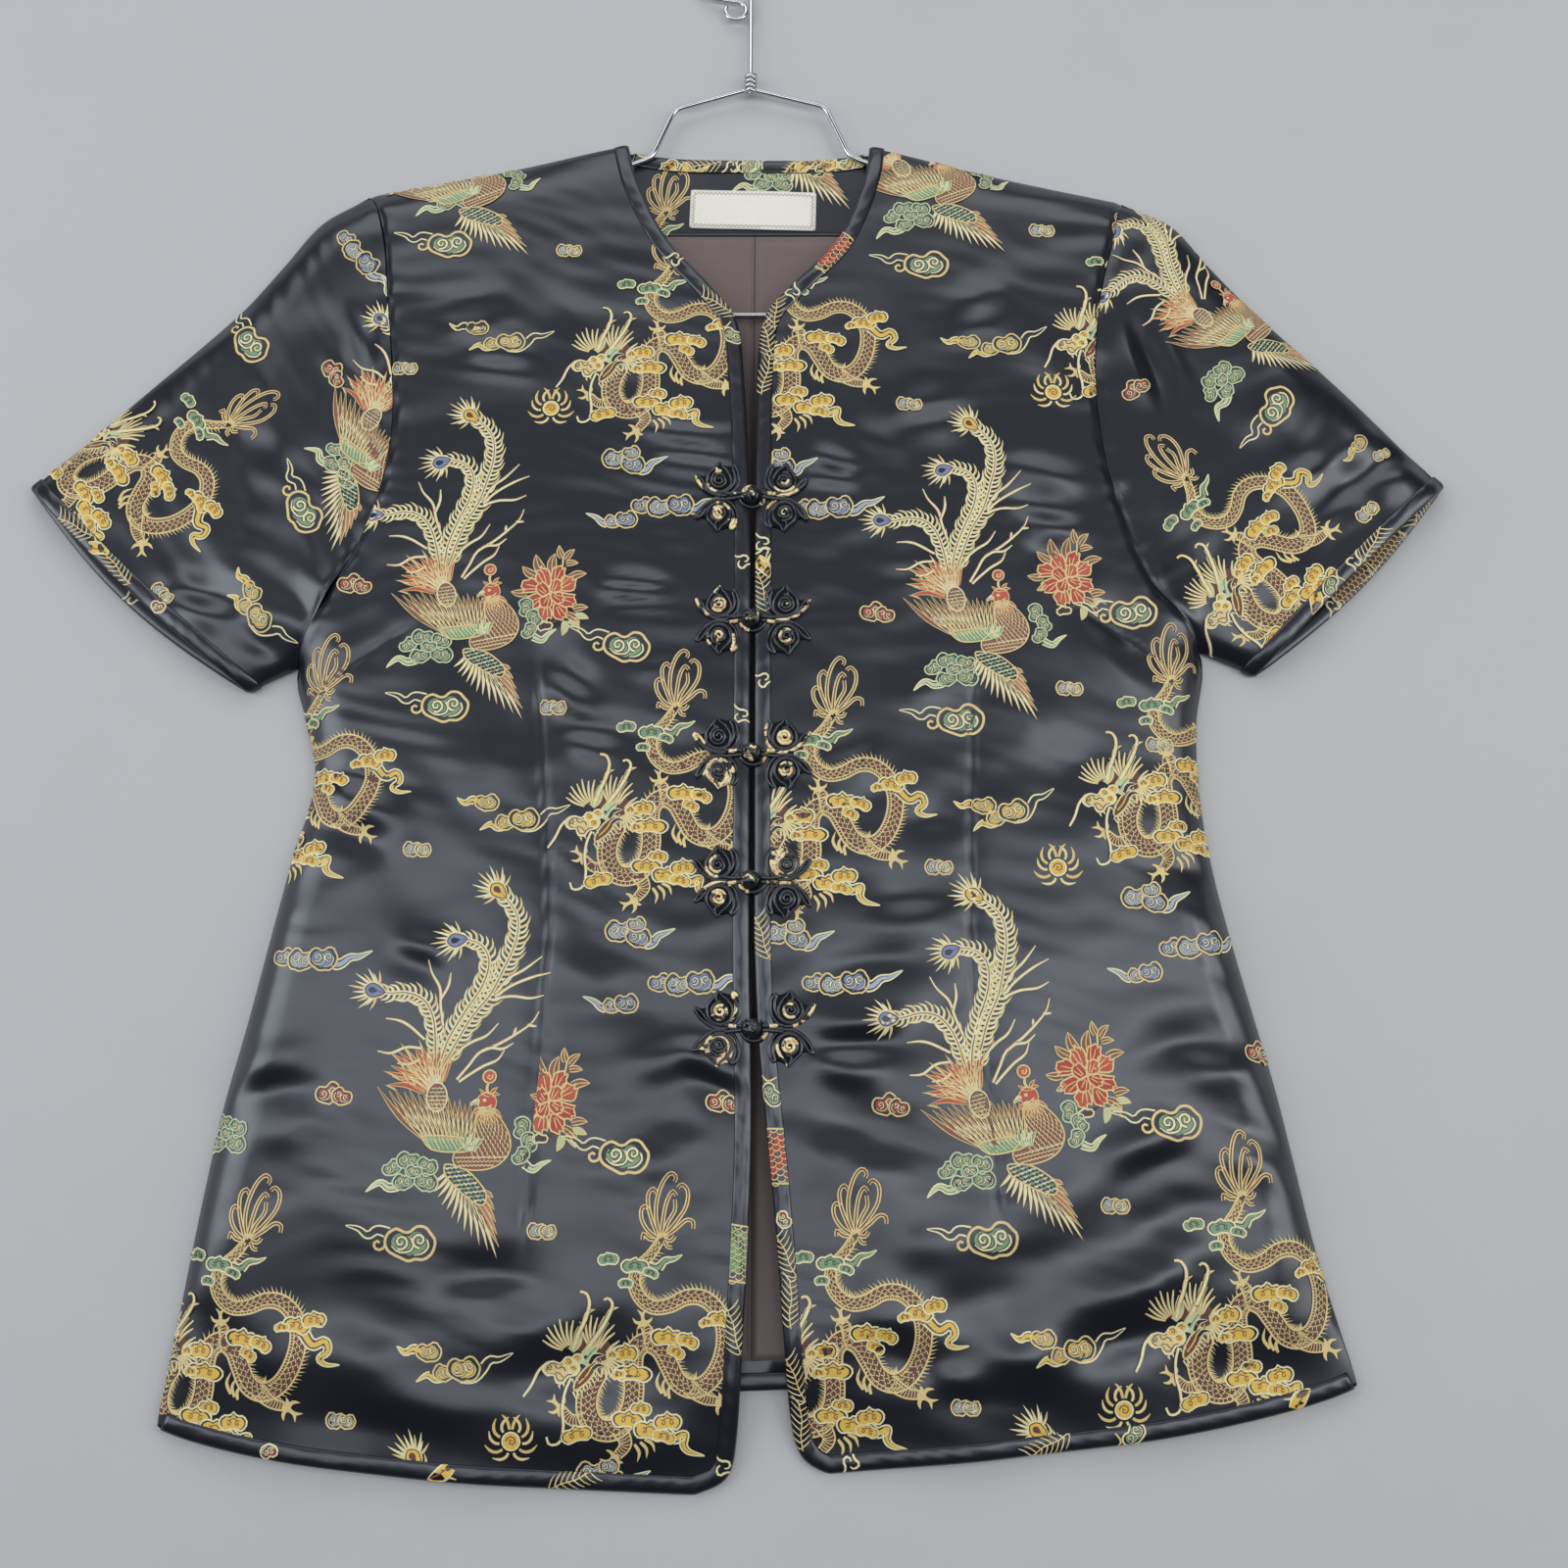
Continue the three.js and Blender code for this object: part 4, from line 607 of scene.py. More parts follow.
def fill_outline(outline, cell):
    """Triangles that fill an outline, with inner points every cell millimetres."""
    o = [outline[0]]
    for q in outline[1:]:
        if abs(q[0] - o[-1][0]) + abs(q[1] - o[-1][1]) > 0.02:
            o.append(q)
    if len(o) > 3 and abs(o[0][0] - o[-1][0]) + abs(o[0][1] - o[-1][1]) < 0.02:
        o.pop()
    if len(o) < 3:
        return np.zeros((0, 2)), np.zeros((0, 3), int)
    o = np.array(o)
    pts = [Vector(q) for q in o]
    if cell:
        lo, hi = o.min(0), o.max(0)
        if (hi - lo).min() > cell * 1.2:
            xs = np.arange(lo[0] + cell * 0.7, hi[0], cell)
            ys = np.arange(lo[1] + cell * 0.7, hi[1], cell)
            gx, gy = np.meshgrid(xs, ys)
            gx = (gx + (np.arange(len(ys)) % 2)[:, None] * cell * 0.5).ravel()
            gy = gy.ravel()
            ok = in_polygon(o, gx, gy)
            gx, gy = gx[ok], gy[ok]
            if len(gx):
                _, _, d = nearest_on(o, gx, gy)
                pts += [Vector((a, b)) for a, b in zip(gx[d > cell * 0.4], gy[d > cell * 0.4])]
    v, _, f, _, _, _ = geometry.delaunay_2d_cdt(pts, [], [list(range(len(o)))], 1, 1e-5)
    tris = []
    for t in f:
        for k in range(1, len(t) - 1):
            tris.append((t[0], t[k], t[k + 1]))
    return np.array([tuple(q) for q in v], float).reshape(-1, 2), np.array(tris, int).reshape(-1, 3)


def polygon_plate(name, outline, cell, top_fn, bottom_fn, materials):
    """A closed sheet over a plan outline, with its own height above and below."""
    v, t = fill_outline(outline, cell)
    n = len(v)
    a = (v[t[:, 1]] - v[t[:, 0]])
    b = (v[t[:, 2]] - v[t[:, 0]])
    t = np.where((a[:, 0] * b[:, 1] - a[:, 1] * b[:, 0] > 0)[:, None], t, t[:, ::-1])
    edges = {}
    for tri in t:
        for k in range(3):
            e = (int(tri[k]), int(tri[(k + 1) % 3]))
            if (e[1], e[0]) in edges:
                del edges[(e[1], e[0])]
            else:
                edges[e] = True
    rim = np.array(list(edges), int)
    top = np.c_[v, top_fn(v[:, 0], v[:, 1])]
    bottom = np.c_[v, bottom_fn(v[:, 0], v[:, 1])]
    verts = np.vstack([top, bottom])
    side = np.stack([rim[:, 1], rim[:, 0], rim[:, 0] + n, rim[:, 1] + n], -1)
    return make(name, verts, [np.vstack([t, t[:, ::-1] + n]), side], materials), v, t


# ------------------------------------------------------------------ woven motifs, drawn in millimetres
# A drawing is a list of filled outlines and tapered lines in layers. "gold" is the outline yarn.
class Pen:
    def __init__(self):
        self.fills = []   # (outline, colour, layer)
        self.lines = []   # (points, widths, colour, layer)

    def fill(self, outline, colour, layer=0):
        self.fills.append((np.asarray(outline, float), colour, layer))

    def line(self, points, width=0.7, colour="gold", taper=(1, 1), layer=1):
        p = np.asarray(points, float)
        if len(p) < 2:
            return
        t = np.linspace(0, 1, len(p))
        w = width * (taper[0] + (1 - taper[0]) * np.minimum(1, t / 0.35)) * (taper[1] + (1 - taper[1]) * np.minimum(1, (1 - t) / 0.35))
        self.lines.append((p, np.maximum(w, 0.12), colour, layer))

    def add(self, other, at=(0, 0), turn=0.0, scale=1.0, flip=False, recolour=None):
        c, s = math.cos(math.radians(turn)), math.sin(math.radians(turn))
        m = np.array([[c, -s], [s, c]]) * scale
        if flip:
            m = m @ np.diag([-1, 1])
        rc = recolour or {}
        for o, col, lay in other.fills:
            self.fills.append((o @ m.T + at, rc.get(col, col), lay))
        for p, w, col, lay in other.lines:
            self.lines.append((p @ m.T + at, w * max(scale, 0.75), rc.get(col, col), lay))
        return self


def curve(points, step=1.2, closed=False):
    """A smooth curve through points, sampled about every step millimetres."""
    p = np.asarray(points, float)
    n = len(p)
    if closed:
        q = np.vstack([p[-1], p, p[0], p[1]])
        m = n
    else:
        q = np.vstack([2 * p[0] - p[1], p, 2 * p[-1] - p[-2]])
        m = n - 1
    out = []
    for i in range(m):
        a, b, c, d = q[i], q[i + 1], q[i + 2], q[i + 3]
        k = max(1, int(np.ceil(np.linalg.norm(c - b) / step)))
        for j in range(k):
            t = j / k
            out.append(0.5 * (2 * b + (c - a) * t + (2 * a - 5 * b + 4 * c - d) * t * t + (3 * b - a - 3 * c + d) * t ** 3))
    if not closed:
        out.append(p[-1])
    return np.array(out)


def evenly(path, step):
    d = np.r_[0, np.cumsum(np.linalg.norm(np.diff(path, axis=0), axis=1))]
    n = max(2, int(round(d[-1] / step)) + 1)
    s = np.linspace(0, d[-1], n)
    return np.c_[np.interp(s, d, path[:, 0]), np.interp(s, d, path[:, 1])], s


def normals(path):
    t = np.gradient(path, axis=0)
    t /= np.linalg.norm(t, axis=1)[:, None] + 1e-9
    return t, np.c_[-t[:, 1], t[:, 0]]


def arc(cx, cy, rx, ry, a0, a1, step=0.9):
    n = max(3, int(abs(a1 - a0) / 360 * 2 * math.pi * max(rx, ry) / step) + 1)
    a = np.radians(np.linspace(a0, a1, n))
    return np.c_[cx + rx * np.cos(a), cy + ry * np.sin(a)]


def spiral(cx, cy, r0, r1, a0, turns, step=0.7):
    n = max(5, int(abs(turns) * 2 * math.pi * (r0 + r1) / 2 / step) + 1)
    t = np.linspace(0, 1, n)
    a = math.radians(a0) + t * turns * 2 * math.pi
    r = r0 + (r1 - r0) * t
    return np.c_[cx + r * np.cos(a), cy + r * np.sin(a)]


def blade(base, tip, width, bend=0.0, colour="gold", rim=None, pen=None, layer=0, rimwidth=0.4):
    """A narrow leaf, claw, barb or flame from base to tip."""
    base = np.asarray(base, float)
    tip = np.asarray(tip, float)
    d = tip - base
    n = np.array([-d[1], d[0]])
    mid = base + d * 0.5 + n * bend
    c = curve([base, mid, tip], step=max(1.0, np.linalg.norm(d) / 5))
    _, nn = normals(c)
    t = np.linspace(0, 1, len(c))
    w = width * 0.5 * np.sin(np.pi * np.clip(0.25 + 0.75 * t, 0, 1)) ** 0.8
    w[-1] = 0.03
    left, right = c + nn * w[:, None], c - nn * w[:, None]
    pen.fill(np.vstack([left, right[::-1]]), colour, layer)
    if rim:
        pen.line(left, rimwidth, rim, (0.6, 0.3), layer + 1)
        pen.line(right, rimwidth, rim, (0.6, 0.3), layer + 1)
    return c


# --- clouds
def cover(pen, outline, cx, cy, turn, layer):
    """Drops the lines that a new shape hides: those of its own layers or above that fall within its outline."""
    c, s = math.cos(math.radians(turn)), math.sin(math.radians(turn))
    line = outline @ np.array([[c, -s], [s, c]]).T * 1.02 + (cx, cy)
    kept = []
    for p, w, colour, lay in pen.lines:
        hid = np.array([lay >= layer and inside(line, x, y) for x, y in p], bool)
        if not hid.any():
            kept.append((p, w, colour, lay))
            continue
        start = None
        for i in range(len(p) + 1):
            if i < len(p) and not hid[i]:
                start = i if start is None else start
            elif start is not None:
                if i - start > 1:
                    kept.append((p[start:i], w[start:i], colour, lay))
                start = None
    pen.lines = kept


def cloud_head(pen, cx, cy, w, h, turn=0.0, hue="amber", layer=2, halo=True):
    """One ruyi cloud head: a scalloped outline, a dark gap, then the coloured ground with its inner curls."""
    p = Pen()
    lobes = np.array([(-0.50, -0.12), (-0.49, 0.16), (-0.30, 0.36), (-0.14, 0.31), (0.0, 0.52), (0.14, 0.31), (0.30, 0.36), (0.49, 0.16), (0.50, -0.12), (0.33, -0.38), (0.08, -0.30), (-0.08, -0.30), (-0.33, -0.38)])
    grow = 1.08 if halo else 1.0
    rim = curve(lobes * [w * grow, h * grow], 1.0, closed=True)
    p.fill(rim, "night", layer)
    p.line(np.vstack([rim, rim[:1]]), 0.64 if halo else 0.54, "cream", layer=layer + 3)
    shrink = 0.88 if halo else 0.86
    core = curve(lobes * [w * shrink, h * shrink * 0.94] + [0, -0.02 * h], 0.9, closed=True)
    p.fill(core, hue, layer + 1)
    dark = "rust" if hue in ("amber", "gold", "cream") else "night"
    r = 0.12 * min(w, h * 1.4)
    for sgn in (-1, 1):
        p.line(spiral(sgn * 0.18 * w, -0.04 * h, r * 0.3, r, 90, -sgn * 1.1, 0.6), 0.44, dark, layer=layer + 2)
    p.line(curve([(-0.17 * w, 0.10 * h), (0, 0.22 * h), (0.17 * w, 0.10 * h)], 1.0), 0.44, dark, layer=layer + 2)
    cover(pen, rim, cx, cy, turn, layer)
    pen.add(p, (cx, cy), turn)


def swirl_head(pen, cx, cy, w, h, turn=0.0, hue="green", layer=2, flip=False, rim_colour="gold"):
    """A round cloud: a pale scalloped rim, a dark gap, and coloured lobes parted by two big curls."""
    p = Pen()
    lobes = np.array([(-0.50, -0.04), (-0.46, 0.22), (-0.30, 0.38), (-0.13, 0.30), (-0.02, 0.33), (0.10, 0.50), (0.28, 0.50), (0.40, 0.34), (0.51, 0.16), (0.48, -0.18), (0.33, -0.40), (0.14, -0.42), (0.02, -0.50), (-0.16, -0.42), (-0.28, -0.36), (-0.42, -0.26)])
    m = np.array([-1.0 if flip else 1.0, 1.0])
    rim = curve(lobes * [w, h] * m, 0.9, closed=True)
    p.fill(rim, "night", layer)
    p.line(np.vstack([rim, rim[:1]]), max(0.6, 0.044 * w), rim_colour, layer=layer + 3)
    core = curve(lobes * [w * 0.74, h * 0.68] * m, 0.9, closed=True)
    p.fill(core, hue, layer + 1)
    r = 0.155 * w
    wide = max(0.42, 0.038 * w)
    for x, y, a0, t in ((-0.18, 0.02, 20, -1.35), (0.19, 0.12, 150, 1.35)):
        q = spiral(x * w * m[0], y * h, r * 0.22, r, a0 if not flip else 180 - a0, t * m[0], 0.6)
        p.line(q, wide * 1.9, "night", (0.7, 1.0), layer + 2)
        p.line(q, wide, "cream", (0.7, 1.0), layer + 3)
    for pts in ([(-0.36, -0.12), (-0.20, -0.27), (0.02, -0.22), (0.08, -0.04), (0.01, 0.16)], [(0.12, -0.31), (0.29, -0.23), (0.39, -0.02), (0.34, 0.16)]):
        q = curve(np.array(pts) * [w, h] * m, 0.9)
        p.line(q, wide * 1.7, "night", (0.5, 1), layer + 2)
        p.line(q, wide * 0.8, "cream", (0.5, 1), layer + 3)
    cover(pen, rim, cx, cy, turn, layer)
    pen.add(p, (cx, cy), turn)


def cloud_tail(pen, points, w0=3.4, hue="amber", layer=2):
    """A tapered wavy wisp that trails from a cloud."""
    c, s = evenly(curve(points, 0.8), 1.3)
    _, n = normals(c)
    w = w0 * 0.5 * (1 - s / s[-1]) ** 0.7 + 0.08
    left, right = c + n * w[:, None], c - n * w[:, None]
    pen.fill(np.vstack([left, right[::-1]]), "night", layer)
    k = w[:, None] * 0.50
    pen.fill(np.vstack([c + n * k, (c - n * k)[::-1]]), hue, layer + 1)
    pen.line(left, 0.62, "cream", (1, 0.5), layer + 2)
    pen.line(right, 0.62, "cream", (1, 0.5), layer + 2)


def small_cloud(kind):
    p = Pen()
    if kind == 0:      # a wisp and a small curl on the left, a round head with a green heart on the right
        cloud_tail(p, [(-5, 3.6), (-10, 4.8), (-14, 2.2), (-18, 5.0), (-24, 6.2)], 4.2, "night")
        p.line(spiral(-9.2, -1.2, 0.9, 3.0, 40, 0.85), 0.9, layer=3)
        swirl_head(p, 4.4, -0.6, 21.5, 15.0, -4, "green")
    elif kind == 1:    # bead cloud
        swirl_head(p, -1.6, 0.4, 11.5, 9.6, 8, "red")
        swirl_head(p, 4.6, -1.0, 9.0, 7.8, -12, "red", 4, True)
    elif kind == 2:    # long cloud: three blue heads and a wisp that rises to the right
        cloud_tail(p, [(6, -1.0), (11, -1.2), (15, 2.2), (19, 2.8), (25, 6.0)], 5.0, "ice")
        swirl_head(p, -15.5, 0.4, 10.5, 8.4, 4, "blue", 2)
        swirl_head(p, -7.0, -0.6, 12.0, 10.4, 0, "ice", 4, True)
        swirl_head(p, 2.8, 0.8, 13.0, 11.4, -8, "blue", 3)
    elif kind == 3:    # open outline with a wisp
        p.line(curve([(-16, 4), (-11, 5.2), (-6, 3.6), (-1, 4.6), (3, 5.6), (8, 4.4), (10.5, 1), (8, -2.6), (3, -4.2), (-2, -3.6), (-5, -1.4), (-3, 1), (-6, 1.2), (-10, 0.8), (-13, 2.6), (-16, 4)], 1.0), 0.7)
        cloud_head(p, 3.2, 0.2, 10.5, 6.0, 0, "green", halo=False)
    elif kind == 4:    # small plain bead
        swirl_head(p, -0.8, 0, 8.4, 7.4, 10, "ice", 2, True)
        swirl_head(p, 3.8, -0.4, 7.4, 6.8, -14, "cream", 3)
    elif kind == 5:    # a heap of pale green curls with a wisp to the left
        cloud_tail(p, [(-5, -6), (-9, -6.8), (-12.6, -4.4), (-16, -6.0), (-19, -8.6)], 3.8, "leaf")
        for x, y, w, h, t, f in ((7.0, -4.4, 10.6, 8.0, -18, False), (-2.6, -4.2, 9.6, 7.4, 10, True), (-8.2, 1.8, 8.6, 6.8, 24, False), (-1.0, 5.0, 10.4, 7.8, 0, True), (7.4, 2.8, 9.4, 7.2, -30, False), (1.6, 0.2, 7.4, 5.8, 0, True)):
            swirl_head(p, x, y, w, h, t, "green", 2, f, "leaf")
    elif kind == 6:    # small paired bead
        p.line(arc(-2.2, 0, 3.3, 3.0, 60, 380), 0.7)
        p.line(arc(3.2, 0.4, 3.0, 2.6, 120, 440), 0.7)
        p.fill(arc(-2.2, 0, 1.7, 1.5, 0, 330), "red", 1)
        p.fill(arc(3.2, 0.4, 1.5, 1.3, 0, 330), "red", 1)
    elif kind == 7:    # yellow cloud with a wisp that sweeps up to the right
        cloud_tail(p, [(2, -2.2), (7, -2.6), (11, 0.8), (14, 4.6), (18, 4.6), (24, 7.4)], 5.4, "night")
        cloud_tail(p, [(-3, -1.4), (-9, -3.4), (-12.6, -1.6), (-17.5, -4.6)], 4.2, "amber")
        swirl_head(p, -5.4, -0.8, 9.6, 7.8, 12, "amber", 2, True)
        swirl_head(p, 2.6, 0.6, 14.0, 11.0, -6, "amber", 4)
    elif kind == 8:    # small drop with a point to the left
        cloud_tail(p, [(0, 0), (-5, 1.4), (-8, -0.4), (-12, 2.4)], 4.2, "amber")
        swirl_head(p, 2, 0, 11.0, 8.4, -6, "amber")
    elif kind == 9:    # small blue cloud with a point to the left
        cloud_tail(p, [(0, -1.0), (-6, -1.8), (-10, 1.4), (-15, 3.4)], 4.2, "ice")
        swirl_head(p, -1.6, -0.6, 8.4, 7.0, 6, "ice", 2, True)
        swirl_head(p, 4.4, 0.4, 10.6, 9.2, -6, "blue", 3)
    elif kind == 10:   # pale cloud under the claws, with a wisp to the right
        cloud_tail(p, [(3, -4.0), (9, -5.4), (12, -1.8), (15.6, -0.4), (20, 1.6)], 5.0, "ice")
        swirl_head(p, -5.4, 0.6, 13.0, 10.4, 6, "ice", 2, True)
        swirl_head(p, 3.0, -2.4, 11.6, 9.4, -16, "blue", 3)
        swirl_head(p, 2.0, 3.6, 8.6, 7.2, 0, "ice", 4)
    return p


def pearl():
    """Flaming pearl: a coiled disc with pairs of curved flames round it."""
    p = Pen()
    p.fill(arc(0, 0, 3.7, 3.7, 0, 345), "amber", 1)
    p.line(arc(0, 0, 3.8, 3.8, 0, 362), 0.62, "cream", layer=2)
    p.line(spiral(0.2, 0, 0.4, 2.4, 0, 1.5), 0.5, "rust", layer=2)
    for k, (a, l) in enumerate(((82, 6.8), (52, 5.2), (24, 6.6), (-8, 5.4), (-40, 6.4), (-74, 5.6))):
        for side in (1, -1):
            q = []
            for f in (0.0, 0.4, 0.75, 1.0):
                g = math.radians(a) + (-0.05 + 0.62 * f * f) * (1 if a < 70 else -0.35)
                r = 5.0 + l * f
                q.append((side * r * math.cos(g), r * math.sin(g)))
            c = curve(q, 0.9)
            p.line(c, 1.0, "gold", (0.9, 0.25), 1)
            p.line(c, 0.36, "cream" if k % 2 else "amber", (1.0, 0.4), 2)
    return p


SPRIGS = ("scales_red", "scales_green", "scales_brown", "barbs", "loops", "petal", "leafy", "bead")


def sprig(kind):
    """A fragment of the design, as it falls on a narrow bias strip; it runs along +X."""
    p = Pen()
    if kind.startswith("scales"):
        p.fill([(-12, -4.4), (11, -4.4), (13, 4.4), (-10, 4.4)], kind[7:], 0)
        for i in range(9):
            for j in (-1, 0, 1):
                x, y = -11 + i * 2.7 + (1.35 if j else 0), j * 2.9
                p.line(arc(x, y, 1.5, 1.7, -75, 75, 0.9), 0.46, layer=2)
        for x in (-12, 12):
            p.line([(x, -4.4), (x + 1.6, 4.4)], 0.6, layer=3)
    elif kind == "barbs":
        p.line(curve([(-10, -1.2), (-3, 0.4), (4, 0.2), (10, 1.4)], 1.2), 0.46, "gold", layer=2)
        for i in range(8):
            x = -9.6 + i * 2.7
            for sgn in (-1, 1):
                p.line(curve([(x, 0.1 * i - 0.6), (x - 1.7, sgn * 2.3), (x - 4.0, sgn * 4.4)], 1.2), 0.46, "gold" if i % 3 else "cream", (1, 0.4), 3)
    elif kind == "loops":
        for pts in ([(-4.5, -4), (-1.6, -1.4), (-1.2, 2.0), (1.4, 2.6), (1.8, 0.2)], [(4.4, 4.2), (3.4, 1.0), (4.6, -2.2), (1.8, -3.2), (0.4, -1.6)]):
            p.line(curve(pts, 0.9), 0.8, "cream", (0.7, 0.6), 2)
    elif kind == "petal":
        blade((-5.4, -2.4), (5.2, 2.2), 6.2, 0.1, "amber", "cream", p, 2, 0.6)
        p.line(curve([(-3.6, -1.6), (0, 0.6), (3.6, 1.6)], 1.0), 0.46, "rust", layer=4)
        p.line(curve([(-7.4, 3.4), (-4, 2.2), (-1, 4.2)], 1.0), 0.7, "gold", (0.6, 0.6), 2)
    elif kind == "leafy":
        swirl_head(p, 0, 0, 11.0, 7.6, 24, "green", 2, False, "cream")
        p.line(curve([(-9, -3.4), (-6, -1), (-7.4, 3)], 1.0), 0.7, "gold", (0.6, 0.6), 2)
    else:
        swirl_head(p, 0, 0, 7.4, 6.0, 12, "red", 2, False, "cream")
    return p


# --- dragon
def claw(pen, x, y, aim, size=1.0):
    for k, (da, l) in enumerate(((-75, 5.6), (-32, 7.2), (8, 7.6), (46, 6.4), (118, 4.4))):
        a = math.radians(aim + da)
        blade((x + math.cos(a) * 0.6, y + math.sin(a) * 0.6), (x + math.cos(a) * l * size, y + math.sin(a) * l * size), 1.7 * size, 0.22 if k % 2 else -0.16, pen=pen, layer=3)
    pen.fill(arc(x, y, 2.1 * size, 1.9 * size, 0, 330), "gold", 3)


def limb(pen, points, w0, w1):
    c, s = evenly(curve(points, 0.8), 1.3)
    _, n = normals(c)
    w = (w0 + (w1 - w0) * s / s[-1]) * 0.5
    l, r = c + n * w[:, None], c - n * w[:, None]
    pen.fill(np.vstack([l, r[::-1]]), "plum", 1)
    pen.line(l, 0.55, layer=3)
    pen.line(r, 0.55, layer=3)
    for i in range(1, len(c) - 1):
        pen.line([l[i], c[i] + (c[i] - c[i - 1]) * 0.6, r[i]], 0.36, layer=2)


def dragon_body(pen, path, half, fin_flip_at):
    c, s = evenly(curve(path, 0.8), 1.45)
    t, n = normals(c)
    f = s / s[-1]
    w = np.interp(f, [q[0] for q in half], [q[1] for q in half])
    left, right = c + n * w[:, None], c - n * w[:, None]
    for i in range(0, len(c) - 1, 6):
        j = min(i + 7, len(c))
        pen.fill(np.vstack([left[i:j], right[i:j][::-1]]), "plum", 0)
    pen.line(left, 0.62, layer=3)
    pen.line(right, 0.62, layer=3)
    for i in range(1, len(c) - 1):
        back = 1 if f[i] < fin_flip_at else -1      # side of the fin
        a, b, q = n[i] * back, t[i], w[i]
        # fin
        if 0.02 < f[i]:
            root = c[i] + a * q
            pen.fill([root - b * 0.42, root + b * 0.42, root + a * (2.5 + 0.7 * (i % 2)) - b * 1.5], "gold", 2)
        # belly line and its ladder
        pen.line([c[i] - a * q * 0.55, c[i] - a * q], 0.32, layer=2)
    back = np.where(f < fin_flip_at, 1.0, -1.0)[:, None]
    k = int(np.argmax(f >= fin_flip_at))
    belly = c - n * back * (w * 0.55)[:, None]
    pen.line(belly[:k], 0.42, layer=2)
    pen.line(belly[k:], 0.42, layer=2)
    # staggered scales between the belly line and the back
    rows = (-0.30, 0.12, 0.54, 0.9)
    for i in range(1, len(c) - 1):
        bk = back[i, 0]
        for r_i, r in enumerate(rows[:-1]):
            if (i + r_i) % 2:
                continue
            a = n[i] * bk * w[i]
            m0, m1 = c[i] + a * (r - 0.22), c[i] + a * (r + 0.24)
            tip = c[i] + a * (r + 0.01) - t[i] * 1.35
            pen.line(np.array([m0, (m0 + tip) / 2 - t[i] * 0.25, tip, (m1 + tip) / 2 - t[i] * 0.25, m1]), 0.4, layer=2)


def hairs(pen, centre, a0, a1, count, r0, r1, width=0.62, bend=0.12, colour="gold", wave=1.6, layer=2):
    """Fine lines that spread from a centre."""
    for k in range(count):
        f = k / (count - 1)
        a = math.radians(a0 + (a1 - a0) * f)
        r = r1 - wave * (k % 2) - wave * 0.5 * ((k * 7) % 3)
        d = np.array([math.cos(a), math.sin(a)])
        q = np.array([-d[1], d[0]])
        base = np.array(centre) + d * r0
        tip = np.array(centre) + d * r + q * bend * r * (1 if f > 0.5 else -1)
        mid = (base + tip) / 2 + q * bend * r * 0.3
        pen.line(curve([base, mid, tip], 1.5), width, colour, (1, 0.35), layer)


def mane(pen, centre, a0, a1, count, r0, r1, width=0.86, layer=2):
    """A fan of separate hairs, pale along the middle, longest at the middle of the fan."""
    for k in range(count):
        f = k / (count - 1)
        a = math.radians(a0 + (a1 - a0) * f)
        r = r1 * (0.80 + 0.20 * math.sin(math.pi * (0.1 + 0.8 * f)) - 0.07 * (k % 2))
        d = np.array([math.cos(a), math.sin(a)])
        q = np.array([-d[1], d[0]]) * (1 if a1 < a0 else -1)
        c = curve([np.array(centre) + d * r0, np.array(centre) + d * (r0 + r) / 2 + q * 0.05 * r, np.array(centre) + d * r + q * 0.02 * r], 1.4)
        pen.line(c, width, "gold", (0.7, 0.5), layer)
        pen.line(c[1:], 0.36, "cream", (0.8, 0.8), layer + 1)


def locks(pen, centre, a0, a1, count, r0, r1, width=1.9, bend=0.12, colour="plum", rim="gold", layer=2):
    """Pointed locks with bright rims that spread from a centre, longer and shorter by turns."""
    for k in range(count):
        f = k / (count - 1)
        a = math.radians(a0 + (a1 - a0) * f)
        r = r1 * (1 - 0.16 * (k % 2) - 0.07 * ((k * 5) % 3))
        d = np.array([math.cos(a), math.sin(a)])
        q = np.array([-d[1], d[0]])
        base = np.array(centre) + d * r0
        tip = np.array(centre) + d * r + q * bend * r * (f - 0.4) * 1.6
        blade(base, tip, width, bend * (0.5 - f), colour, rim, pen, layer, 0.46)


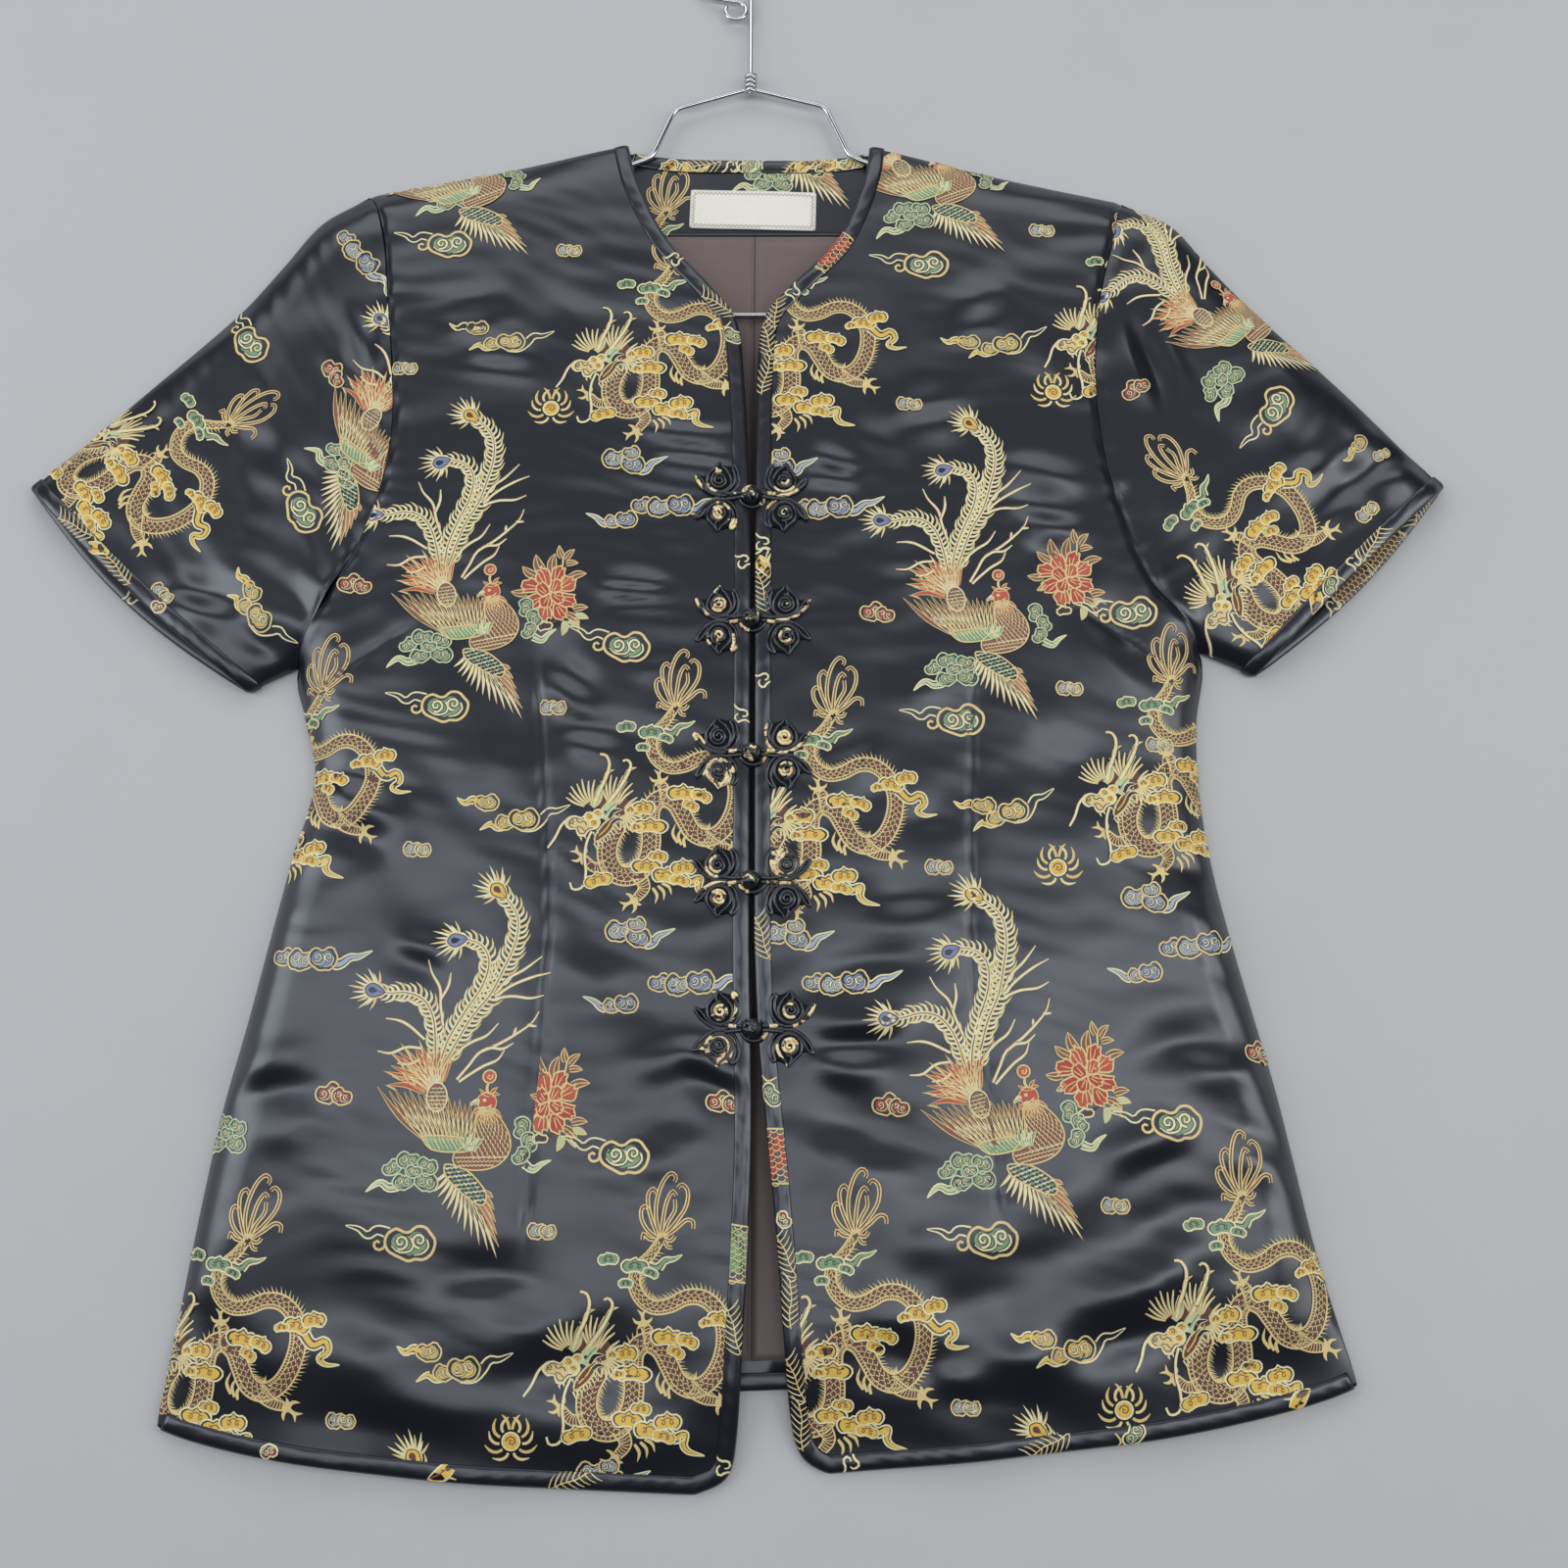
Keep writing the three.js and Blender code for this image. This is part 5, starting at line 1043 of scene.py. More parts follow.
def dragon():
    p = Pen()
    path = [(6.9, 42), (3.2, 36.5), (-1.8, 31), (-3.8, 25), (-1.4, 18.6), (4.6, 14.2), (12, 15), (19.5, 18.6), (27, 18.2), (33.4, 12.6), (36.4, 3.4), (35.2, -7), (30.6, -15.6), (23.6, -19.6), (16.8, -17.2), (12.4, -10), (8.2, -3.2), (2.2, -0.6), (-2.6, -4.6), (-3.4, -12), (-2.6, -21), (-4.2, -30.4), (-10.4, -37), (-18, -36.6), (-22.6, -29.6), (-22.2, -20.6), (-18.6, -12.6), (-19.6, -7)]
    half = [(0, 1.7), (0.1, 2.5), (0.25, 3.2), (0.5, 3.9), (0.8, 4.3), (1, 4.5)]
    # hind legs and arms under the body
    limb(p, [(21, -19), (28, -23.4), (34, -24.6)], 6.5, 3.4)
    limb(p, [(5, -1.6), (2.6, 4.4), (1.2, 6.6)], 6.5, 3.4)
    limb(p, [(-8, -37), (-5.4, -43), (-9, -48)], 6.5, 3.6)
    limb(p, [(-23, -33), (-29, -33.4), (-33.4, -29)], 5.5, 3.2)
    dragon_body(p, path, half, 0.47)
    claw(p, 34.8, -25.0, -20)
    claw(p, 0.9, 7.4, 110, 0.85)
    claw(p, -10.0, -49.0, 215, 0.95)
    claw(p, -34.0, -28.4, 150, 0.9)
    for x0, y0, x1, y1 in ((0.8, -42, 3.6, -49), (2.6, -40.8, 7.2, -46.4), (-1.6, -43, -0.4, -50.6), (9.6, -22, 8.6, -12.6), (11.4, -23, 11.6, -14.6), (13, -24, 14.4, -17.4)):
        blade((x0, y0), (x1, y1), 1.5, 0.2, pen=p, layer=2)
    # tail plume: looping strands from one root
    root = (7.6, 43)
    for pts in (
        [(7, 43), (4, 49), (1.6, 56), (1.2, 62), (3.4, 64.6), (5, 62.4)],
        [(7.2, 43.5), (5, 52), (5.2, 60), (7.6, 67.6), (11, 71.4), (13.4, 69.6), (12.6, 67.6)],
        [(7.6, 44), (8.2, 52), (9.6, 59.4), (12, 63.6), (13.6, 61.6)],
        [(8, 44), (10.2, 50), (13.2, 55.4), (13, 60)],
        [(8.4, 44), (13.6, 50), (18, 57), (18.6, 63.6), (16, 66.6), (14.2, 65)],
        [(8.6, 43.6), (14, 47.6), (18.4, 51.4), (21.4, 50.6), (21.4, 47.6)],
        [(6.6, 43), (1.8, 46.4), (-1.2, 51), (-1.6, 55.6), (0.4, 57), (2, 54.6)],
        [(6.6, 42.6), (2.4, 43), (-0.4, 45.4), (-0.6, 42.6)],
        [(9, 43), (12, 42.4), (13.6, 44.6)],
        [(9, 42.4), (10.6, 39.6), (12.6, 39.6)],
    ):
        c = curve(pts, 1.2)
        p.line(c, 1.5, "plum", (0.9, 0.5), 1)
        _, n = normals(c)
        p.line(c + n * 0.62, 0.5, "gold", (0.8, 0.6), 2)
        p.line(c - n * 0.62, 0.5, "gold", (0.8, 0.6), 2)
    # mane: fans of separate hairs over a dark red ground
    p.fill(curve([(-35, -3), (-31, 0.6), (-25, 2.4), (-18, 1.8), (-13.4, -2), (-12, -7), (-13.6, -12), (-18, -14.6), (-22, -12), (-27, -5)], 1.6, closed=True), "plum", 1)
    mane(p, (-30.6, -6.4), 152, 74, 8, 4.0, 15.8, layer=3)
    mane(p, (-21.6, -7.0), 108, 44, 8, 4.8, 18.0, layer=3)
    mane(p, (-17.0, -6.8), 40, -92, 12, 2.2, 11.6, layer=3)
    # head
    h = Pen()
    jaw = curve([(-19.4, -9.0), (-20.0, -13.4), (-23.4, -18.2), (-28.4, -21.6), (-28.6, -18.6), (-26.4, -14.8), (-23.6, -11.6)], 1.0, closed=True)
    for k in range(9):
        f = k / 8
        x, y = -19.6 - 9.4 * f, -13.0 - 9.0 * f ** 0.9
        h.line([(x, y), (x + 2.3 - 0.8 * f, y - 3.0)], 0.62, "cream", (1, 0.5), 6)
    h.fill(jaw, "plum", 7)
    h.line(np.vstack([jaw, jaw[:1]]), 0.62, "gold", layer=8)
    h.line(curve([(-21.4, -11.4), (-23.4, -15.0), (-26.8, -18.6)], 1.0), 0.5, "amber", layer=8)
    snout = curve([(-29.4, -8.6), (-33, -8.4), (-35.2, -10.2), (-38.2, -9.2), (-41.4, -10.2), (-42.6, -13.0), (-40.4, -15.4), (-37.6, -15.0), (-36.6, -18.2), (-33.6, -18.6), (-31.6, -15.8), (-28.0, -15.0), (-26.6, -11.6)], 1.0, closed=True)
    h.fill(snout, "gold", 7)
    h.line(np.vstack([snout, snout[:1]]), 0.62, "cream", layer=9)
    h.line(snout.mean(0) + (snout - snout.mean(0)) * 0.80, 0.42, "night", layer=8)
    h.line(spiral(-39.8, -12.2, 0.3, 1.3, 40, 1.1), 0.42, "night", layer=9)
    h.line(curve([(-37.4, -10.6), (-36.4, -12.6), (-34.0, -11.4), (-32.8, -13.6)], 1.0), 0.42, "night", layer=9)
    h.line(curve([(-37.2, -14.0), (-35.2, -14.6), (-33.6, -16.4)], 1.0), 0.42, "rust", layer=9)
    for x, y, r in ((-31.6, -9.4, 2.3), (-27.6, -8.2, 2.4), (-29.4, -12.6, 2.1)):
        h.fill(arc(x, y, r, r * 0.92, 0, 330), "amber", 9)
        h.line(arc(x, y, r + 0.1, r * 0.92 + 0.1, 0, 362), 0.5, "cream", layer=10)
        h.line(spiral(x, y, 0.3, r * 0.62, 120, 1.1), 0.42, "rust", layer=10)
    # teeth on the open jaws
    for k in range(5):
        x, y = -35.4 + k * 1.9, -19.4 + 0.85 * k
        h.fill([(x - 0.5, y), (x + 0.6, y + 0.2), (x + 0.7, y - 1.8)], "cream", 8)
    # eye patch, brow and ear
    blade((-25.6, -10.4), (-18.2, -2.4), 5.0, 0.12, "leaf", "gold", h, 9, 0.6)
    h.line(curve([(-24.2, -8.6), (-21.8, -5.2), (-19.6, -3.4)], 1.0), 0.5, "green", layer=11)
    h.fill(arc(-24.0, -7.4, 1.0, 0.9, 0, 330), "night", 11)
    blade((-30.6, -4.6), (-26.2, 3.4), 3.2, -0.10, "leaf", "gold", h, 9, 0.5)
    blade((-22.4, -10.2), (-16.0, -6.4), 2.2, 0.25, "night", "cream", h, 11, 0.42)
    blade((-21.2, -12.8), (-15.4, -11.4), 2.0, 0.25, "night", "cream", h, 11, 0.42)
    p.add(h)
    # horns
    for pts in ([(-29.6, -4), (-27.4, 2.6), (-24.4, 9), (-22.8, 15.4), (-24.4, 19.6), (-27.2, 20.2)], [(-23.4, -3.6), (-18, 4), (-14.4, 10.4), (-12.8, 15.2), (-14.6, 17.8), (-16.6, 17)]):
        c = curve(pts, 1.1)
        p.line(c, 1.9, "night", (0.9, 0.35), 9)
        _, n = normals(c)
        tt = np.linspace(1.0, 0.35, len(c))[:, None]
        p.line(c, 0.9, "cream", (0.9, 0.35), 10)
        p.line(c + n * 0.85 * tt, 0.42, "gold", layer=10)
        p.line(c - n * 0.85 * tt, 0.42, "gold", layer=10)
    for x0, y0, x1, y1 in ((-25, 8.4, -20.4, 13), (-15.4, 9.6, -10, 14)):
        blade((x0, y0), (x1, y1), 1.4, 0.2, "cream", "gold", p, 9, 0.3)
    # whiskers
    for pts in ([(-40.6, -9.6), (-44.4, -13.2), (-47.4, -19.6), (-50.4, -24.2)], [(-30.4, -16.4), (-32.6, -22), (-33.4, -29), (-32.6, -36), (-34, -42.6), (-38.4, -43.6), (-39.6, -40.4)]):
        c = curve(pts, 1.2)
        p.line(c, 1.15, "cream", (0.8, 0.6), 9)
        _, n = normals(c)
        p.line(c - n * 0.6, 0.34, "plum", (1, 0.4), 10)
    # clouds gathered round the body
    cloud_tail(p, [(2, 31), (6.5, 30.6), (9.4, 34), (13.4, 34.6), (17, 36.6)], 4.2, "green", 4)
    cloud_head(p, -3.6, 31.4, 11, 7, 0, "green", 5)
    cloud_head(p, 3.4, 28.6, 7, 5, -20, "green", 5, False)
    cloud_head(p, -15.4, 34, 9, 6.4, 5, "green", 5, False)
    cloud_head(p, -7.4, 24, 6.4, 5, 0, "green", 5, False)
    cloud_tail(p, [(38, 7), (43, 2.4), (48, 4.6), (50, 0.4), (46.4, -2.6), (50, -5), (56, -4.4)], 4.8, "amber", 4)
    cloud_head(p, 34.6, 9.6, 11, 7.6, -8, "amber", 5)
    cloud_head(p, 41.6, 12.6, 9.6, 7.6, 8, "amber", 5)
    cloud_head(p, 28.2, 8.2, 6.4, 4.8, 10, "amber", 5, False)
    cloud_head(p, 11.6, 1.6, 13.4, 8.6, -4, "amber", 5)
    cloud_head(p, 20.4, 0.4, 9, 6.8, -22, "amber", 5)
    cloud_head(p, 15.4, -4.4, 8, 6.4, -30, "amber", 5, False)
    cloud_head(p, -6.6, -5.4, 9.6, 8.4, 4, "amber", 5)
    cloud_head(p, -12.6, -6.4, 5, 4.4, 0, "amber", 5, False)
    cloud_head(p, -3.4, -14, 15.4, 8, -2, "amber", 5)
    cloud_head(p, -9.6, -14.6, 6, 5, 10, "amber", 5, False)
    cloud_tail(p, [(11, -38), (16, -40.4), (20, -38.4), (19.4, -43), (22, -46), (28.6, -47.6)], 5.0, "amber", 4)
    cloud_head(p, 0.6, -28.6, 8.4, 6.6, 0, "amber", 5)
    cloud_head(p, -4.6, -33, 13, 8, -4, "amber", 5)
    cloud_head(p, 4.8, -37.4, 12.6, 8.6, -10, "amber", 6)
    cloud_head(p, 12.4, -33.6, 11, 8, 4, "amber", 6)
    cloud_head(p, 11, -39.6, 10, 6.4, -14, "amber", 6, False)
    cloud_head(p, -26.6, -39.4, 13.4, 8, 14, "amber", 5, False)
    return p


def inside(poly, x, y):
    a, b = poly, np.roll(poly, -1, axis=0)
    hit = (a[:, 1] > y) != (b[:, 1] > y)
    with np.errstate(divide="ignore", invalid="ignore"):
        xs = a[:, 0] + (y - a[:, 1]) * (b[:, 0] - a[:, 0]) / (b[:, 1] - a[:, 1])
    return bool(np.count_nonzero(hit & (x < xs)) % 2)


# --- phoenix
def plume(pen, points, eye, eye_colour, length=7.0, step=2.5):
    """A tail feather: a quill with separate curved barbs on both sides, a fan at its tip and an eye."""
    c, s = evenly(curve(points, 0.8), step)
    t, n = normals(c)
    f = s / s[-1]
    w = length * (0.66 + 0.40 * np.sin(np.pi * np.clip(f * 0.9 + 0.1, 0, 1)) ** 0.8)
    pen.line(c, 1.5, "cream", (0.8, 0.9), 1)
    for i in range(1, len(c)):
        for sgn in (1, -1):
            wob = 1 + 0.15 * math.sin(i * 2.1 + sgn)
            reach = w[i] * wob
            foot = c[i] - t[i] * (0.9 if sgn > 0 else 0.2)
            tip = foot + (n[i] * sgn * 0.70 + t[i] * 0.84) * reach
            blade(foot, tip, 1.2, 0.20 * sgn, "cream" if (i + sgn) % 3 else "gold", pen=pen, layer=1)
    fan_a = math.degrees(math.atan2(t[-1][1], t[-1][0]))
    for k in range(13):
        a = math.radians(fan_a - 96 + 16 * k)
        blade(c[-1] - t[-1] * 1.5, c[-1] + np.array([math.cos(a), math.sin(a)]) * (11.4 - 2.2 * (k % 2) - 0.06 * (k - 6) ** 2), 1.3, 0.12 * (k - 6) / 6, "cream" if k % 3 else "gold", pen=pen, layer=1)
    pen.line(c, 0.42, "rust", (1, 0.6), 3)
    e = np.array(c[-1]) - t[-1] * eye
    rim = curve([(-5.2, 0), (-2.2, 2.3), (1.4, 3.0), (3.9, 0), (1.4, -3.0), (-2.2, -2.3)], 1.0, closed=True)
    q = Pen()
    q.fill(rim * 1.22, "cream", 2)
    q.fill(rim, eye_colour, 3)
    q.line(np.vstack([rim, rim[:1]]) * 1.02, 0.42, "brown", layer=4)
    q.fill(rim * 0.45 + (0.6, 0), "plum" if eye_colour == "amber" else "night", 5)
    pen.add(q, e, fan_a)


def feathers(pen, roots, tips, width, colour, rim="cream", bend=0.05, layer=2):
    for (a, b) in zip(roots, tips):
        blade(a, b, width, bend, colour, rim, pen, layer, 0.34)


def between(a, b, n):
    return [np.array(a) + (np.array(b) - np.array(a)) * k / (n - 1) for k in range(n)]


def phoenix():
    p = Pen()
    # three long tail feathers
    plume(p, [(-4, -10), (1.5, 0), (8, 11), (16, 21), (22, 33), (26.6, 44), (27.6, 55), (23, 63.6), (16.8, 69.6)], 1.5, "amber", 7.0)
    plume(p, [(-6, -10), (-2.4, 1), (4.6, 13), (12, 24.4), (15, 35.4), (11.6, 43), (4.6, 46), (-1, 45.6)], 0.5, "blue", 6.4)
    plume(p, [(-8, -10), (-8.2, 0), (-9.6, 10.6), (-14, 18.6), (-21.6, 22), (-30, 22), (-37.6, 23.4)], 0.5, "blue", 6.0)
    # fine wisps between them
    for pts in (
        [(-5, 7), (-6.4, 16), (-7, 24), (-11, 31), (-12.6, 37)], [(-6.4, 19), (-3.2, 25), (-2.2, 31)],
        [(18, 21), (24, 28), (31, 32), (39, 38)], [(18, 20), (26, 25), (35, 28.6), (43, 30.6)], [(18, 19), (26, 20), (34, 19), (40, 20.4)],
        [(-13, 1), (-20, 7), (-25, 9.6), (-31, 10.6)], [(-14, -3), (-21, -2.4), (-28, -5), (-34, -4)], [(-15, -8), (-20, -10), (-25, -9.4)],
        [(2, -17), (7, -11), (12, -5), (21, -1), (29, 3.6), (35, 8), (38, 13)], [(27, 2.4), (28, 6)], [(33, 7), (37, 6.4)],
        [(3, -18), (8, -14.6), (14, -11), (20, -8.4), (23, -4)], [(-1, -8), (4, -3), (9, 0), (15, 2.6), (20, 8)], [(12, -5), (17, -3), (22, -3.6), (27, -1)],
    ):
        c = curve(pts, 1.3)
        p.line(c, 0.9, "cream", (0.9, 0.4), 2)
        _, n = normals(c)
        p.line(c + n * 0.75, 0.36, "rust", (1, 0.4), 2)
    # back: flames in three rows that sweep up and to the left
    hub = np.array((-6.6, -23.0))
    for row, (n_, a0, a1, r0, r1, colour, edge) in enumerate(((15, 176, 66, 6.0, 21.5, "coral", "gold"), (12, 170, 72, 4.0, 17.0, "red", "gold"), (10, 164, 78, 3.0, 12.6, "coral", "cream"))):
        for k in range(n_):
            f = (k + 0.3 * row) / (n_ - 1)
            a = math.radians(a0 + (a1 - a0) * f)
            d = np.array([math.cos(a), math.sin(a)])
            q = np.array([-d[1], d[0]])
            grow = 1.0 + 0.30 * math.exp(-((f - 0.34) / 0.26) ** 2) - 0.10 * (k % 2)
            tip = hub + d * r1 * grow - q * (2.6 + 1.4 * math.sin(k * 1.9)) * (0.9 - f)
            blade(hub + d * r0, tip, 2.3 - 0.2 * row, -0.10 + 0.16 * f, colour, edge, p, 1 + row, 0.30)
            if (k + row) % 2 == 0:
                blade(hub + d * (r0 + 0.78 * (r1 - r0)), tip + d * 1.2, 0.8, -0.05, "gold", pen=p, layer=3 + row)
    # shoulder: an oval of small scales
    oval = arc(-6.6, -24.6, 4.6, 6.4, 0, 345)
    p.fill(oval, "rust", 5)
    p.line(np.vstack([oval, oval[:1]]), 0.5, "cream", layer=7)
    for j in range(6):
        for k in range(5):
            x, y = -10.0 + k * 1.75 + 0.8 * (j % 2), -20.2 - j * 1.75
            if inside(oval, x, y):
                p.line(arc(x, y, 0.85, 0.8, 200, 340, 0.7), 0.46, "leaf" if (j + k) % 3 else "cream", layer=6)
    # raised wing: long quills that fan from the root, then two rows of coverts
    for row, (n_, a0, a1, l0, l1, width, colour, edge) in enumerate(((16, 134, 84, 33.0, 19.0, 2.5, "rust", "gold"), (14, 126, 80, 20.0, 13.5, 2.0, "brown", "cream"), (12, 116, 80, 9.0, 6.4, 1.7, "plum", "gold"))):
        for k in range(n_):
            f = k / (n_ - 1)
            a = math.radians(a0 + (a1 - a0) * f)
            d = np.array([math.cos(a), math.sin(a)])
            foot = np.array((-10.4, -43.6)) + np.array((19.4, -2.4)) * f
            l = l1 + (l0 - l1) * (1 - f) ** 1.7
            l *= 1 - 0.07 * (k % 2)
            blade(foot, foot + d * l, width, 0.05 * (1 - f), colour, edge, p, 6 + row, 0.36)
    # scalloped green band at the wing root
    band = curve([(-12.4, -42.0), (-6, -41.4), (0, -41.8), (6.6, -42.8), (9.4, -45.4), (7.4, -48.4), (1, -48.6), (-5.0, -48.2), (-9.4, -46.6)], 1.4, closed=True)
    p.fill(band, "green", 9)
    for k in range(11):
        x = -11.4 + k * 1.85
        p.line(curve([(x, -42.2 - 0.05 * k), (x + 1.5, -44.6), (x + 3.2, -47.4)], 1.0), 0.4, "leaf" if k % 2 else "cream", layer=10)
    p.line(np.vstack([band, band[:1]]), 0.55, "gold", layer=10)
    # breast: a full round, rust ground with fine streaks, then a belly of scales
    body = curve([(2.0, -49), (8.0, -44.6), (10.6, -38.6), (11.6, -32.6), (15.4, -29.6), (19.6, -31.6), (23.6, -36.2), (26.4, -42.0), (26.6, -48.0), (23.0, -53.4), (16.6, -56.2), (8.4, -56.4), (2.0, -54.0)], 1.4, closed=True)
    p.fill(body, "rust", 7)
    p.line(np.vstack([body, body[:1]]), 0.5, layer=11)
    for j in range(12):
        for k in range(8):
            u = (k + 0.5 * (j % 2)) / 7.5
            y = -32.4 - j * 1.7
            left = 12.4 - 0.30 * j
            right = 17.6 + 9.0 * math.sin(min(1, (j + 0.6) / 9) * 1.45)
            x = left + (right - left) * u
            if inside(body, x, y - 0.9) and inside(body, x, y + 0.9):
                p.line(curve([(x - 0.2, y + 1.0), (x + 0.4, y), (x + 0.2, y - 1.0)], 0.9), 0.46, "gold" if (j + k) % 3 else "cream", (0.8, 0.4), 9)
    for j in range(3):
        for k in range(14):
            x = 3.0 + k * 1.75 + 0.85 * (j % 2)
            y = -50.6 - j * 1.75
            if inside(body, x, y - 0.9):
                p.line(arc(x, y, 0.85, 0.85, 190, 350, 0.7), 0.46, "cream" if j != 1 else "gold", layer=10)
    # folded wing on the flank
    for k in range(5):
        blade((8.2 + 0.5 * k, -48.4), (6.8 + 2.0 * k, -40.4 - 0.55 * k), 2.1, 0.08, "leaf" if k % 2 else "green", "cream", p, 11, 0.4)
    # neck and head
    for row, (l, colour) in enumerate(((7.6, "coral"), (4.6, "salmon"))):
        for k in range(9):
            a = math.radians(196 + 17 * k)
            d = np.array([math.cos(a), math.sin(a)])
            blade(np.array((16.0, -29.2)) + d * 0.8, np.array((16.2, -30.4)) + d * l * (1 - 0.14 * (k % 2)), 1.5, 0.10 * (k - 4) / 4, colour, "gold", p, 11 + row, 0.4)
    head = curve([(11.6, -25.6), (13.6, -23.4), (17.0, -23.0), (19.8, -25.2), (20.0, -28.8), (17.6, -31.2), (14.0, -30.6), (11.8, -28.4)], 1.0, closed=True)
    p.fill(head, "coral", 13)
    p.line(np.vstack([head, head[:1]]), 0.42, layer=14)
    beak = curve([(12.4, -25.4), (10.4, -25.8), (8.6, -27.6), (8.8, -28.6), (10.6, -28.0), (12.4, -28.2)], 1.0, closed=True)
    p.fill(beak, "cream", 13)
    p.line([(9.0, -27.8), (12.0, -27.0)], 0.32, "rust", layer=14)
    p.fill(arc(14.8, -26.2, 0.9, 0.8, 0, 320), "cream", 15)
    p.fill(arc(14.7, -26.2, 0.4, 0.4, 0, 300), "night", 16)
    p.line(curve([(12.6, -29.4), (15.4, -29.6), (18.2, -28.2)], 1.0), 0.4, "cream", layer=15)
    # comb: a stalk and a round crest
    p.line(curve([(16.4, -23.4), (15.8, -20.8), (16.6, -18.4)], 0.9), 1.0, "gold", (1, 0.8), 12)
    p.fill(arc(16.8, -15.8, 2.9, 2.8, 0, 340), "coral", 13)
    p.line(arc(16.8, -15.8, 3.0, 2.9, 0, 362), 0.55, "gold", layer=14)
    p.line(spiral(16.8, -15.8, 0.4, 1.7, 0, 1.1), 0.42, "cream", layer=14)
    for tip in ((20.8, -20.6), (21.8, -23.8), (12.4, -21.0)):
        blade((17.4, -24.2), tip, 1.5, 0.12, "coral", "gold", p, 12)
    # lower wing, swept down: long quills, small coverts above them
    roots = between((-1.0, -57.5), (11.6, -71.5), 12)
    tips = between((-8.4, -62.5), (21.8, -94.5), 12)
    tips = [t_ + np.array((-4.0 * math.sin(k * 0.285), -0.6 * (k % 2))) for k, t_ in enumerate(tips)]
    feathers(p, roots, tips, 2.0, "cream", "brown", 0.04)
    for a, b in zip(between((11.0, -70), (16.4, -66), 5), between((22.6, -89.5), (19.6, -68.5), 5)):
        blade(a, b, 1.8, 0.03, "salmon", "gold", p, 2, 0.4)
    upper = curve([(-2.2, -54), (3.8, -55.0), (9.0, -57.6), (13.4, -62.0), (16.6, -67.0), (15.4, -71.6), (11.0, -70.4), (6.0, -66.6), (1.4, -62.4), (-1.8, -58.6)], 1.4, closed=True)
    p.fill(upper, "night", 4)
    p.line(np.vstack([upper, upper[:1]]), 0.55, layer=6)
    for j in range(10):
        for k in range(9):
            x = -3 + k * 1.95 + j * 1.15
            y = -55.4 - j * 1.8 + 0.2 * k
            if inside(upper, x, y) and inside(upper, x, y - 1.2):
                p.line(arc(x, y, 0.9, 0.95, 190, 350, 0.7), 0.6, ("leaf", "green", "cream", "leaf")[(j + 2 * k) % 4], layer=5)
    # cloud at the breast
    cloud_tail(p, [(33, -54), (37, -56.6), (40.6, -54.2), (45, -52.6)], 3.4, "leaf", 4)
    for x, y, w, h, t, f in ((31.6, -38.4, 9.6, 7.6, 70, False), (35.0, -44.6, 9.0, 7.0, -60, True), (31.4, -50.6, 8.6, 6.8, 40, False)):
        swirl_head(p, x, y, w, h, t, "green", 5, f, "leaf")
    return p


# --- peony
def peony():
    p = Pen()
    p.fill(arc(0.2, -2.6, 5.6, 6.4, 0, 345), "red", 1)
    petals = [(-1.6, 6.2, 6.6, 9.6, 14), (4.6, 6.6, 6.2, 8.8, -24), (-7.6, 3.0, 6.4, 9.2, 72), (8.0, 1.6, 7.0, 8.6, -66), (-7.2, -4.0, 6.6, 8.6, 112), (7.2, -5.4, 6.6, 8.8, -116), (-3.0, -9.6, 6.4, 9.4, 166), (3.4, -10.4, 6.0, 8.6, -160),
              (-2.6, 0.8, 5.6, 7.2, 34), (3.0, 1.4, 5.4, 7.4, -30), (-1.8, -4.6, 5.4, 7.0, 150), (3.2, -3.8, 5.2, 6.6, -128)]
    for i, (x, y, w, h, turn) in enumerate(petals):
        q = Pen()
        ragged = 1 + 0.17 * np.sin(np.arange(13) * 2.3 + i * 1.7)
        pts = np.array([(-0.30, -0.36), (-0.50, 0.02), (-0.46, 0.30), (-0.30, 0.26), (-0.22, 0.48), (-0.06, 0.36), (0.06, 0.54), (0.20, 0.34), (0.34, 0.44), (0.42, 0.22), (0.54, 0.06), (0.32, -0.34), (0.0, -0.46)]) * ragged[:, None] * [w, h]
        rim = curve(pts, 0.8, closed=True)
        layer = 2 + (i > 7) * 2
        q.fill(rim, "red" if i % 3 else "coral", layer)
        q.line(np.vstack([rim, rim[:1]]), 0.52, "gold", layer=layer + 1)
        for k in (-0.26, 0.08):
            q.line(curve([(k * w * 0.4, -0.30 * h), (k * w * 0.8, 0.02 * h), (k * w * 1.0, 0.26 * h)], 1.0), 0.40, "gold", (0.8, 0.4), layer + 1)
        p.add(q, (x, y - 1.4), turn)
    # buds and leaves
    def leaf(x, y, l, a, hue="rust"):
        r = math.radians(a)
        tip = (x + math.cos(r) * l, y + math.sin(r) * l)
        c = blade((x, y), tip, l * 0.46, 0.08, hue, "gold", p, 1, 0.45)
        p.line(c, 0.34, "gold", layer=3)
    for x, y, l, a in ((-1.6, 6.6, 9.4, 104), (-4.6, 5.6, 8.0, 136), (2.2, 6.8, 8.6, 74), (7.4, 12.6, 6, 96), (8.4, 11.6, 6.4, 40), (8.6, 9.6, 5.6, -4), (9.6, 3.0, 7.6, 6), (-9.6, -1.0, 7.0, 168), (-9, -4.6, 5, 205), (6.4, -13.6, 7, -42), (9.4, -11.6, 6.6, 0)):
        leaf(x, y, l, a)
    p.line(curve([(5, 4), (7, 8.6), (7.8, 13)], 1.1), 0.6)
    p.line(curve([(6, -12), (2, -15.6), (-1.8, -17.4)], 1.1), 0.9, "brown")
    for x, y, l, a in ((7.6, -16, 6.6, -60), (5.6, -16.6, 6.6, -110), (10, -14.6, 6, -20)):
        leaf(x, y, l, a, "leaf")
    cloud_head(p, -3.4, -17.6, 6.4, 4.6, 0, "brown", 3, False)
    return p


